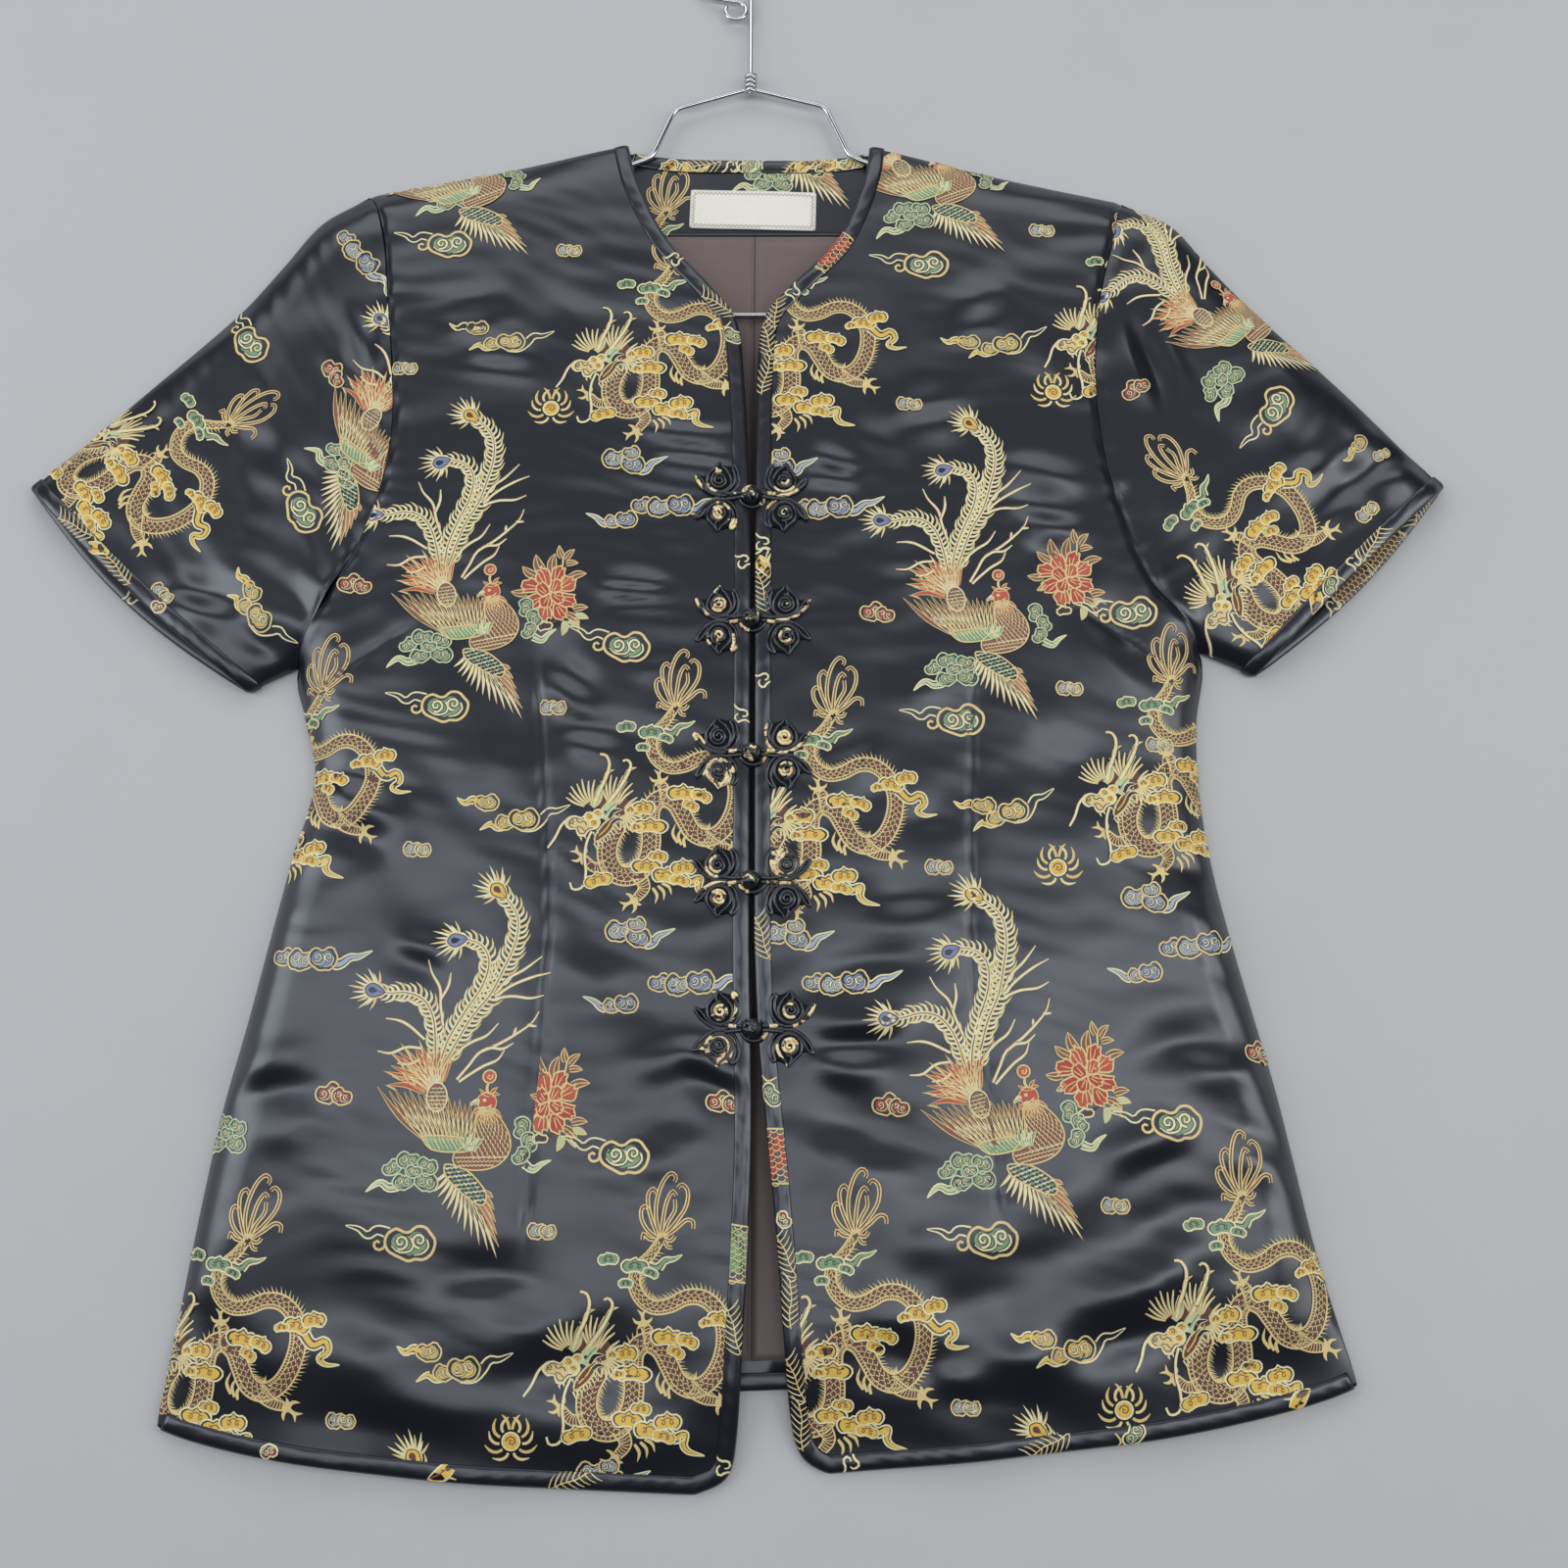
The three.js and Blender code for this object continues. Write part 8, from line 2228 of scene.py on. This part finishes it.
# facing behind the neck
facing_tree = surface_of(np.c_[facing_v, facing_height(facing_v[:, 0], facing_v[:, 1])], facing_t)
panel = Panel(facing_outline() + 0.0, facing_tree, base=0.10, step=0.02)
for motif, px, py, lx, ly, turn in (("dragon", -46.0, 302.0, 7.6, 43, 0), ("phoenix", 44.6, 305.2, 17.8, -91.5, 20), ("cloud5", 7.0, 322.4, 0, 0, 0)):
    c, s = math.cos(math.radians(turn)), math.sin(math.radians(turn))
    panel.lay(design(motif), px - (c * lx - s * ly), py - (s * lx + c * ly), turn)
piece(panel.build("design_facing"), "brocade")


# ------------------------------------------------------------------ frog fastenings
def figured_cord():
    """The bias strip of the same brocade: bits of the gold design run over the satin."""
    n = Nodes("figured_cord")
    fine = n.noise(0.9, 2, 0.6)
    mask = n.ramp(n.noise(4.4, 2, 0.5), (0.42, (0, 0, 0, 1)), (0.46, (1, 1, 1, 1)))
    vein = n.ramp(n.noise(1.5, 2, 0.5), (0.34, (0.35, 0.33, 0.32, 1)), (0.46, (1, 1, 1, 1)))
    tint = n.ramp(n.noise(4.0, 2, 0.5), (0.30, srgb(232, 204, 138)), (0.50, srgb(248, 234, 190)), (0.66, srgb(222, 176, 116)), (0.74, srgb(242, 220, 160)))
    tint = n.mix(1.0, tint, vein, "MULTIPLY")
    col = n.mix(mask, (0.0095, 0.0105, 0.0155, 1), tint)
    n.link(col, n.shader.inputs["Base Color"])
    n.link(n.range(fine, 0.36, 0.52), n.shader.inputs["Roughness"])
    n.link(n.bump(mask, 0.35, 0.12, n.bump(fine, 0.2, 0.08)), n.shader.inputs["Normal"])
    n.set(Specular_IOR_Level=0.55, Sheen_Weight=0.18, Sheen_Roughness=0.4)
    return n.material


FIGURED = figured_cord()
CORD_R = 0.92


def cord_mesh(path, radius, sides=9, closed=False, squash=0.94, taper=None):
    """Rings of a cord lying on the cloth, returned as points and quads with capped ends."""
    p = np.asarray(path, float)
    n = len(p)
    r = np.full(n, radius)
    if taper is not None:
        r = r * taper
    t = (np.roll(p, -1, 0) - np.roll(p, 1, 0)) if closed else np.gradient(p, axis=0)
    t /= np.linalg.norm(t, axis=1)[:, None] + 1e-12
    a = np.cross(np.array([0, 0, 1.0]), t)
    a /= np.linalg.norm(a, axis=1)[:, None] + 1e-12
    b = np.cross(t, a)
    k = np.linspace(0, 2 * np.pi, sides, endpoint=False) + 0.3
    rings = p[:, None] + r[:, None, None] * (np.cos(k)[None, :, None] * a[:, None] + squash * np.sin(k)[None, :, None] * b[:, None])
    verts = rings.reshape(-1, 3)
    if closed:
        i, j = np.meshgrid(np.arange(n), np.arange(sides), indexing="ij")
        q = np.stack([i * sides + j, i * sides + (j + 1) % sides, (i + 1) % n * sides + (j + 1) % sides, (i + 1) % n * sides + j], -1).reshape(-1, 4)
        return verts, q, np.zeros((0, 3), int), np.repeat(np.arange(n), sides), n
    q = grid_quads(n, sides, wrap=True)
    e0 = p[0] - t[0] * r[0] * 0.55
    e1 = p[-1] + t[-1] * r[-1] * 0.55
    verts = np.vstack([verts, e0, e1])
    j = np.arange(sides)
    c0 = np.stack([np.full(sides, n * sides), (j + 1) % sides, j], -1)
    c1 = np.stack([np.full(sides, n * sides + 1), (n - 1) * sides + j, (n - 1) * sides + (j + 1) % sides], -1)
    return verts, q, np.vstack([c0, c1]), np.repeat(np.arange(n - 1), sides), n


class Bunch:
    """Several cords and beads joined into one mesh, each face with its finish."""
    def __init__(self):
        self.v, self.q, self.t, self.qi, self.ti, self.count = [], [], [], [], [], 0

    def add(self, verts, quads, tris, qi, ti):
        tri_all = np.concatenate([verts[quads][:, [0, 1, 2]], verts[quads][:, [0, 2, 3]]] + ([verts[tris]] if len(tris) else []))
        if np.einsum("ij,ij->i", tri_all[:, 0], np.cross(tri_all[:, 1], tri_all[:, 2])).sum() < 0:
            quads = quads[:, ::-1]
            tris = tris[:, ::-1] if len(tris) else tris
        self.v.append(verts)
        self.q.append(quads + self.count)
        if len(tris):
            self.t.append(tris + self.count)
        self.qi.append(qi)
        self.ti.append(ti)
        self.count += len(verts)

    def cord(self, path, radius, figured=(), step=0.78, sides=8, closed=False, squash=0.94, ends=None):
        """figured lists (from, to) shares of the length that carry gold bits."""
        p = resample(path, count=max(6, int(round(np.linalg.norm(np.diff(np.asarray(path, float), axis=0), axis=1).sum() / step))), closed=closed)
        taper = None
        if ends:
            f = np.linspace(0, 1, len(p))
            taper = np.minimum(1, ends[0] + (1 - ends[0]) * f / 0.16) * np.minimum(1, ends[1] + (1 - ends[1]) * (1 - f) / 0.16)
        v, q, t, station, n = cord_mesh(p, radius, sides, closed, squash, taper)
        share = station / max(1, n - 1)
        idx = np.zeros(len(q), int)
        for a, b in figured:
            idx[(share >= a) & (share <= b)] = 1
        self.add(v, q, t, idx, np.zeros(len(t), int))

    def build(self, name):
        groups = [np.vstack(self.q)]
        index = np.concatenate(self.qi)
        if self.t:
            groups.append(np.vstack(self.t))
            index = np.concatenate([index, np.concatenate([i for i in self.ti if len(i)])])
        # the third finish is the bed with painted shade between the coils
        return make(name, np.vstack(self.v), groups, [CORD, FIGURED, PAINTED_SHADE_BED], index)


def ground(side, x, y):
    tree = FRONT_TREE[side]
    hit = tree.ray_cast(Vector((float(x), float(y), 80.0)), Vector((0, 0, -1)))[0]
    if hit is None:
        hit = tree.find_nearest(Vector((float(x), float(y), 14.0)))[0]
    return hit.z


def flower(bunch, side, cx, cy, up, turn, grow, rng, style, low=0.0):
    """A teardrop rosette of rolled cord cupped in a long crescent loop. up is +1 with the point up, -1 down."""
    s = OUT[side]
    c0, s0 = math.cos(math.radians(turn)), math.sin(math.radians(turn))

    def at(points, lift):
        out = []
        for (x, y), l in zip(points, np.broadcast_to(lift, len(points))):
            px, py = x * grow, y * grow * up
            px, py = c0 * px - s0 * py * up, s0 * px * up + c0 * py
            gx, gy = cx + s * px, cy + py
            out.append((gx, gy, ground(side, gx, gy) + l - low))
        return np.array(out)

    R = CORD_R
    heart = style["heart"]
    turns = 2.15 + 0.3 * rng.random()
    a = np.linspace(0, turns * 2 * np.pi, 54)
    r = 0.55 + (4.15 - 0.55) * (a / a[-1]) ** 0.92
    phase = math.pi / 2 - a[-1] + 0.25
    sp = np.c_[np.cos(a + phase) * r * 0.98, np.sin(a + phase) * r * 1.02]
    tip = np.array([[0.9, 5.9], [0.2, 8.9]])
    sp = np.vstack([sp, curve([tuple(sp[-1]), (1.4, 5.2), (0.3, 8.6)], 0.5)[1:]])
    lift = np.linspace(R + 1.55, R + 0.55, len(sp))
    bunch.cord(at(sp, lift), R * 0.88, [(0.0, 0.62)] if heart else style["spots"], ends=(0.7, 0.5))
    # teardrop ring round the spiral
    drop = curve([(0.1, 9.4), (2.4, 6.2), (5.3, 2.6), (5.5, -1.6), (2.8, -4.9), (-1.4, -5.5), (-4.7, -3.2), (-5.6, 0.8), (-3.6, 4.8), (-1.3, 7.0), (-0.4, 9.0)], 0.5)
    bunch.cord(at(drop, R + 0.35), R * 0.9, style["ring"], ends=(0.55, 0.55))
    # crescent loop: outer strand from the outer tip under the rosette to the inner end, and back
    outer = [(11.2, 2.2), (9.6, -1.2), (6.4, -4.6), (2.0, -7.2), (-3.4, -7.2), (-7.6, -4.0), (-9.2, 0.6), (-8.7, 5.0), (-6.7, 7.6)]
    inner = [(-6.2, 6.4), (-7.2, 3.6), (-7.0, -0.2), (-5.2, -3.6), (-1.6, -6.0), (2.6, -5.8), (6.0, -3.0), (8.0, 0.2), (10.2, 2.4)]
    path = curve(outer + inner, 0.5, closed=True)
    lifts = R + 0.15 + 0.25 * np.sin(np.linspace(0, 4 * np.pi, len(path)))
    bunch.cord(at(path, lifts), R * 0.92, style["cup"], closed=True)
    # rolled cloth that fills the crescent and backs the rosette; without gold bits it takes the bed whose colour is
    # painted shade, darker than the cords
    fill = curve([(10.4, 2.0), (8.2, -1.6), (4.4, -5.6), (-2.0, -6.8), (-7.0, -3.4), (-8.4, 2.6), (-7.2, 6.4), (-4.0, 7.4), (0.0, 8.4), (3.6, 5.6), (6.6, 2.4)], 1.0, closed=True)
    base = at(fill, 0.12)
    mid = np.array(fill).mean(0)
    rings = []
    for share, rise in ((1.0, 0.12), (0.97, 0.85), (0.8, 1.3), (0.5, 1.5), (0.2, 1.45)):
        rings.append(at([(mid[0] + (x - mid[0]) * share, mid[1] + (y - mid[1]) * share) for x, y in fill], rise))
    rings = np.array(rings)
    n, m = rings.shape[:2]
    verts = np.vstack([rings.reshape(-1, 3), at([tuple(mid)], 1.45), at([tuple(mid)], 0.12)])
    q = grid_quads(n, m, wrap=True)
    k = np.arange(m)
    j = (k + 1) % m
    t = np.vstack([np.stack([(n - 1) * m + k, (n - 1) * m + j, np.full(m, n * m)], -1), np.stack([j, k, np.full(m, n * m + 1)], -1)])
    tri = verts[t]
    bunch.add(verts, q, t, np.full(len(q), 1 if style["floor"] else 2), np.full(len(t), 1 if style["floor"] else 2))


FROG_LOOK = [
    # for each fastening, wearer's right then left, upper then lower flower: heart, spots on the spiral, ring, cup,
    # floor (1 gold bits on the filling, 0 the bed painted dark as shade between the coils)
    ((0, [(0.76, 0.92)], [(0.30, 0.48)], [(0.0, 0.12)], 0), (1, [], [(0.45, 0.8)], [(0.42, 0.64)], 0), (0, [(0.1, 0.2)], [(0.34, 0.62)], [(0.10, 0.26)], 0), (0, [(0.0, 0.14)], [], [(0.28, 0.38)], 0)),
    ((1, [], [(0.0, 0.10)], [(0.0, 0.14)], 0), (0, [(0.0, 0.3)], [(0.15, 0.3)], [(0.48, 0.66)], 0), (0, [(0.0, 0.08)], [], [(0.0, 0.28)], 0), (0, [(0.24, 0.62)], [], [], 0)),
    ((0, [], [], [(0.90, 1.0), (0.0, 0.04)], 0), (0, [], [(0.0, 1.0)], [(0.62, 0.7)], 1), (1, [], [], [(0.0, 0.5)], 0), (1, [(0.0, 0.2)], [], [], 0)),
    ((0, [(0.5, 0.8)], [(0.3, 0.5)], [], 0), (1, [], [], [(0.1, 0.3)], 0), (0, [], [(0.6, 1.0)], [(0.55, 0.8)], 1), (0, [], [], [(0.2, 0.3)], 0)),
    ((1, [], [], [(0.5, 0.72)], 0), (0, [], [(0.0, 0.4)], [], 1), (0, [(0.3, 0.6)], [], [(0.0, 0.2)], 0), (1, [], [(0.7, 1.0)], [], 0)),
]


def style_of(row, k):
    h, spots, ring, cup, floor_ = FROG_LOOK[row][k]
    return dict(heart=h, spots=spots, ring=ring, cup=cup, floor=floor_)


def edge_shift(side, y):
    t = np.linspace(0, SHOULDER, 400)
    e = edge_point(side, t)
    return float(np.interp(y, e[:, 1], e[:, 0])) - 1.8 * OUT[side]


FROGS = []
for row, y0 in enumerate(FROG_ROWS):
    rng = np.random.default_rng(40 + row)
    for side in ("right", "left"):
        s = OUT[side]
        shift = edge_shift(side, y0)
        bunch = Bunch()
        k = 0 if side == "right" else 2
        jx, jy = rng.uniform(-0.6, 0.6, 2), rng.uniform(-0.5, 0.5, 2)
        flower(bunch, side, shift + s * (15.4 + jx[0]), y0 + 7.2 + jy[0], 1, rng.uniform(-7, 5), 0.97 + 0.06 * rng.random(), rng, style_of(row, k))
        flower(bunch, side, shift + s * (15.6 + jx[1]), y0 - 9.0 + jy[1], -1, rng.uniform(-7, 5), 0.95 + 0.06 * rng.random(), rng, style_of(row, k + 1))
        # the stem: two strands from the flowers to the knot
        for dy in (1.05, -1.05):
            path = []
            for x, y in ((12.6, dy * 1.5), (9.5, dy * 1.1), (6.4, dy), (4.2, dy * 0.9)):
                gx = shift * (0.4 + 0.6 * min(1, (x - 4) / 6)) + s * x
                path.append((gx, y0 - 0.6 + y, ground(side, gx, y0) + CORD_R + (2.1 if x < 9 else 0.7)))
            bunch.cord(curve3(path), CORD_R, [(0.2, 0.6)] if (row + (dy > 0)) % 2 else [])
        ob = bunch.build("frog_%d_half_%s" % (row + 1, side))
        FROGS.append(piece(ob, "frog_cord", "frog_%d_%s" % (row + 1, side)))

    # ball knot of interlaced cord, in its loop
    bunch = Bunch()
    cx = -0.6 + rng.uniform(-0.5, 0.5) + (edge_shift("right", y0) + edge_shift("left", y0)) / 2
    cy = y0 - 0.4
    base = max(ground("right", min(cx - 2, edge_shift("right", y0) - 2), cy), ground("left", max(cx + 2, edge_shift("left", y0) + 2), cy)) + 1.5
    R = 3.5
    cz = base + 2.6
    for q, (tilt, dirn) in enumerate(((18, 15), (62, 75), (58, 195), (64, 315), (88, 40))):
        a = np.linspace(0, 2 * np.pi, 40, endpoint=False)
        ct, st = math.cos(math.radians(tilt)), math.sin(math.radians(tilt))
        cd, sd = math.cos(math.radians(dirn)), math.sin(math.radians(dirn))
        rr = R - 0.55
        x, y, z = rr * np.cos(a), rr * np.sin(a) * ct, rr * np.sin(a) * st
        off = 0.9 if q in (1, 2, 3) else 0.0
        nx, ny, nz = 0.0, -st * off, ct * off
        x, y, z = x + nx, y + ny, z + nz
        X, Y = cd * x - sd * y, sd * x + cd * y
        ring = np.c_[cx + X * 1.08, cy + Y * 1.12, cz + z * 0.82]
        bunch.cord(ring, 1.15, [(0.1, 0.55)] if (q + row) % 3 == 0 else [], closed=True, sides=8)
    # loop from the wearer's left half round the knot
    a = np.linspace(math.radians(35), math.radians(-215), 44)
    loop = np.c_[cx + 0.9 + np.cos(a) * 5.9, cy - 0.5 + np.sin(a) * 5.3, np.full(44, 0.0)]
    for i in range(len(loop)):
        sd = "right" if loop[i, 0] < 0 else "left"
        loop[i, 2] = max(base - 0.9, ground(sd, loop[i, 0], loop[i, 1]) + 0.9) + CORD_R
    bunch.cord(loop, CORD_R * 1.02, [(0.55, 0.8)] if row % 2 else [(0.1, 0.3)])
    ob = bunch.build("frog_%d_button" % (row + 1))
    FROGS.append(piece(ob, "frog_cord", "frog_%d_knot" % (row + 1)))
print("frogs", sum(len(o.data.polygons) for o in FROGS))


# ------------------------------------------------------------------ wire hanger
def tilt_z(y):
    low_y, low_z, high_y, high_z = HANGER_TILT
    return low_z + (high_z - low_z) * (y - low_y) / (high_y - low_y)


def bent(bends, per_mm=1.2):
    path = []
    for i, (x, y, radius) in enumerate(bends):
        b = np.array([x, y], float)
        if not radius:
            path.append(b)
            continue
        a, c = np.array(bends[i - 1][:2], float), np.array(bends[i + 1][:2], float)
        u, v = (a - b) / np.linalg.norm(a - b), (c - b) / np.linalg.norm(c - b)
        for f in np.linspace(0, 1, 14):
            p, q = b + u * radius * (1 - f), b + v * radius * f
            path.append(p + (q - p) * f)
    return np.array(path)


# both ends run into the winding
frame_path = bent(HANGER_BENDS)
frame_path = np.vstack([(STEM_X + 1.9, COLLAR["fromY"] + 2.7), frame_path, (STEM_X - 1.9, COLLAR["fromY"] + 2.7)])
frame_path = resample(frame_path, 2.2)
frame_path = np.c_[frame_path, tilt_z(frame_path[:, 1])]
piece(tube("hanger_wire", frame_path, 1.3, [STEEL], 14), "steel", "hanger_frame")

z0 = tilt_z(COLLAR["fromY"])
hook = [(STEM_X, y) for y in (COLLAR["fromY"] + 0.6, COLLAR["toY"], 395.0, 410.0, 425.0, HOOK["stemY"])]
cxh = STEM_X - HOOK["radius"]
for k in range(1, 31):
    a = k / 30 * math.pi * 1.12
    hook.append((cxh + math.cos(a) * HOOK["radius"], HOOK["stemY"] + math.sin(a) * HOOK["radius"]))
ring_top = HOOK["ringY"] + HOOK["ringRadius"]
hook.append((cxh - 6.5, ring_top + 2.4))
for k in range(0, 41):
    a = math.pi / 2 - (k / 48) * 2 * math.pi
    hook.append((HOOK["ringX"] + math.cos(a) * HOOK["ringRadius"], HOOK["ringY"] + math.sin(a) * HOOK["ringRadius"]))
hook = resample(np.array(hook), 0.9)
for _ in range(4):
    hook[1:-1] = (hook[:-2] + hook[1:-1] * 2 + hook[2:]) / 4
share = np.clip((hook[:, 1] - COLLAR["toY"]) / (HOOK["stemY"] - COLLAR["toY"]), 0, 1)
hook = np.c_[hook, z0 + (HOOK["topZ"] - z0) * share]
piece(tube("hanger_stem", hook, 1.1, [STEEL], 14), "steel", "hanger_hook")

# the wire's ends wound round the stem
turns, wire = 4.0, 1.22
a = np.linspace(0, turns * 2 * np.pi, 190)
coil = np.c_[STEM_X + np.cos(a) * (1.25 + wire * 0.72), COLLAR["fromY"] + 1.3 + (COLLAR["toY"] - COLLAR["fromY"] - 2.6) * a / a[-1], z0 + np.sin(a) * (1.25 + wire * 0.72)]
piece(tube("hanger_collar_coil", coil, wire, [STEEL], 10), "steel", "hanger_collar")


# ------------------------------------------------------------------ surface, light and camera
bpy.ops.mesh.primitive_plane_add(size=8.0, location=(0, 0, -0.0004))
floor = bpy.context.object
floor.name = "floor"
floor.data.materials.append(floor_paint())

world = bpy.data.worlds.new("studio")
bpy.context.scene.world = world
world.use_nodes = True
bg = world.node_tree.nodes["Background"]
bg.inputs["Color"].default_value = (0.80, 0.88, 1.0, 1.0)
bg.inputs["Strength"].default_value = 0.05


def area_light(name, location, target, size, energy, colour=(1, 1, 1)):
    data = bpy.data.lights.new(name, "AREA")
    data.shape = "RECTANGLE"
    data.size, data.size_y = size
    data.energy = energy
    data.color = colour
    ob = bpy.data.objects.new(name, data)
    ob.location = location
    ob.rotation_euler = (Vector(target) - Vector(location)).to_track_quat("-Z", "Y").to_euler()
    bpy.context.scene.collection.objects.link(ob)
    return ob


area_light("window", (-0.15, 1.75, 1.15), (0, 0.15, 0), (2.6, 1.1), 16, (0.97, 0.985, 1.0))
area_light("ceiling", (0.0, 0.55, 2.6), (0, 0.1, 0), (3.4, 2.6), 4.5, (0.93, 0.96, 1.0))
area_light("overhead", (0.05, -0.50, 1.75), (0, -0.2, 0), (1.3, 0.6), 4.6, (0.97, 0.985, 1.0))
area_light("left_panel", (-0.82, 0.02, 1.75), (-0.1, -0.1, 0), (0.55, 1.2), 5, (0.95, 0.975, 1.0))
area_light("right_panel", (0.92, 0.02, 1.75), (0.1, -0.1, 0), (0.6, 1.3), 6.6, (0.97, 0.985, 1.0))
area_light("left_fill", (-1.7, 0.1, 0.9), (0, 0, 0), (0.9, 1.4), 14, (0.94, 0.97, 1.0))
area_light("right_fill", (1.7, -0.1, 1.1), (0, 0, 0), (0.9, 1.4), 12, (1.0, 0.99, 0.97))

camera_data = bpy.data.cameras.new("camera")
camera_data.lens = 38.25
camera_data.sensor_width = 36.0
camera = bpy.data.objects.new("camera", camera_data)
camera.location = (0.02303, -0.2482, 0.7737)
target = Vector((0.02303, -0.0696, 0.0))
camera.rotation_euler = (target - camera.location).to_track_quat("-Z", "Y").to_euler()
bpy.context.scene.collection.objects.link(camera)
bpy.context.scene.camera = camera
bpy.context.scene.view_settings.view_transform = "Standard"


# ------------------------------------------------------------------ cloth sizes
def plan_area(*outlines):
    """Flat area of a cut piece in square metres, from its outline alone."""
    total = 0.0
    for line in outlines:
        x, y = np.asarray(line, float)[:, 0], np.asarray(line, float)[:, 1]
        total += abs(np.dot(x, np.roll(y, -1)) - np.dot(y, np.roll(x, -1))) / 2
    return total * MM * MM


def reach(line, direction):
    """Extent of an outline along a direction, in metres."""
    v = np.asarray(line, float)[:, :2] @ np.asarray(direction, float)
    return float(v.max() - v.min()) * MM


def front_cut(side):
    t = np.linspace(0, SHOULDER, 120)
    hem = HEM_LINE[side] if side == "left" else HEM_LINE[side][::-1]
    return np.vstack([side_point(side, t), edge_point(side, t[::-1]), hem])


def sleeve_cut(side, lower):
    k = np.linspace(0, 1, 40)
    return np.vstack([sleeve_plan(side, k, 0 * k, lower), sleeve_plan(side, 0 * k + 1, k, lower), sleeve_plan(side, k[::-1], 0 * k + 1, lower), sleeve_plan(side, 0 * k, k[::-1], lower)])


def strip_width(section):
    """Width of a binding's strip laid open, in metres: the run of its section from one stitched edge round to the other."""
    return float(np.linalg.norm(np.diff(np.asarray(section, float), axis=0), axis=1).sum()) * MM


def declare(ob, flat, area):
    """The cut comes from the outlines in the plan, never from the finished mesh, so that the two can be compared."""
    print("sheet", ob.name, "flat %.4f x %.4f" % flat, "cut %.5f" % area, "mesh/cut %.4f" % (mesh_area(ob) / 2 / area))


ACROSS, DOWN = (1.0, 0.0), (0.0, 1.0)
for side in ("right", "left"):
    cut = front_cut(side)
    declare(FRONT[side], (reach(cut, ACROSS), reach(cut, DOWN)), plan_area(cut))
    upper, under = sleeve_cut(side, False), sleeve_cut(side, True)
    root, end = SECTIONS[SHOULDER, list(COLUMN[side]["side"])], np.array(SLEEVES[side]["top"], float)
    fold = (end - root) / np.linalg.norm(end - root)
    square = np.array([-fold[1], fold[0]])
    declare(SLEEVE[side], (reach(upper, square) + reach(under, square), max(reach(upper, fold), reach(under, fold))), plan_area(upper, under))
    cut = lining_outline(side)
    declare(LINING_OB[side], (reach(cut, ACROSS), reach(cut, DOWN)), plan_area(cut))
cut = back_outline(0.35)
declare(back_ob, (reach(cut, ACROSS), reach(cut, DOWN)), plan_area(cut))
cut = facing_outline()
declare(facing_ob, (reach(cut, ACROSS), reach(cut, DOWN)), plan_area(cut))
declare(label_ob, (LABEL["width"] * MM, LABEL["height"] * MM), LABEL["width"] * LABEL["height"] * MM * MM)
over_edge = [(d * BINDING_WIDTH if d > 0 else d, rise - (CLOTH if face < 0 else 0.0)) for d, rise, face in BAND[:14]]
STRIP = {"fron": strip_width(over_edge), "cuff": strip_width(CUFF_BAND[:14])}
for key, b in BINDING.items():
    width = STRIP.get(key[:4]) or strip_width([(d * BINDING_WIDTH if d > 0 else d, rise) for d, rise, _ in b["profile"][:10]])
    run = float(np.linalg.norm(np.diff(b["edge"][:, :2], axis=0), axis=1).sum())
    if key.startswith("cuff"):
        run += float(np.linalg.norm(b["edge"][0, :2] - b["edge"][-1, :2]))
    print("strip", key, "%.4f x %.4f" % (width, run * MM), "mesh/cut %.4f" % (mesh_area(b["ob"]) / 2 / (width * run * MM)))

for name, ob in PIECES.items():
    print(name, len(ob.data.polygons), round(mesh_area(ob), 5))

bpy.context.view_layer.update()
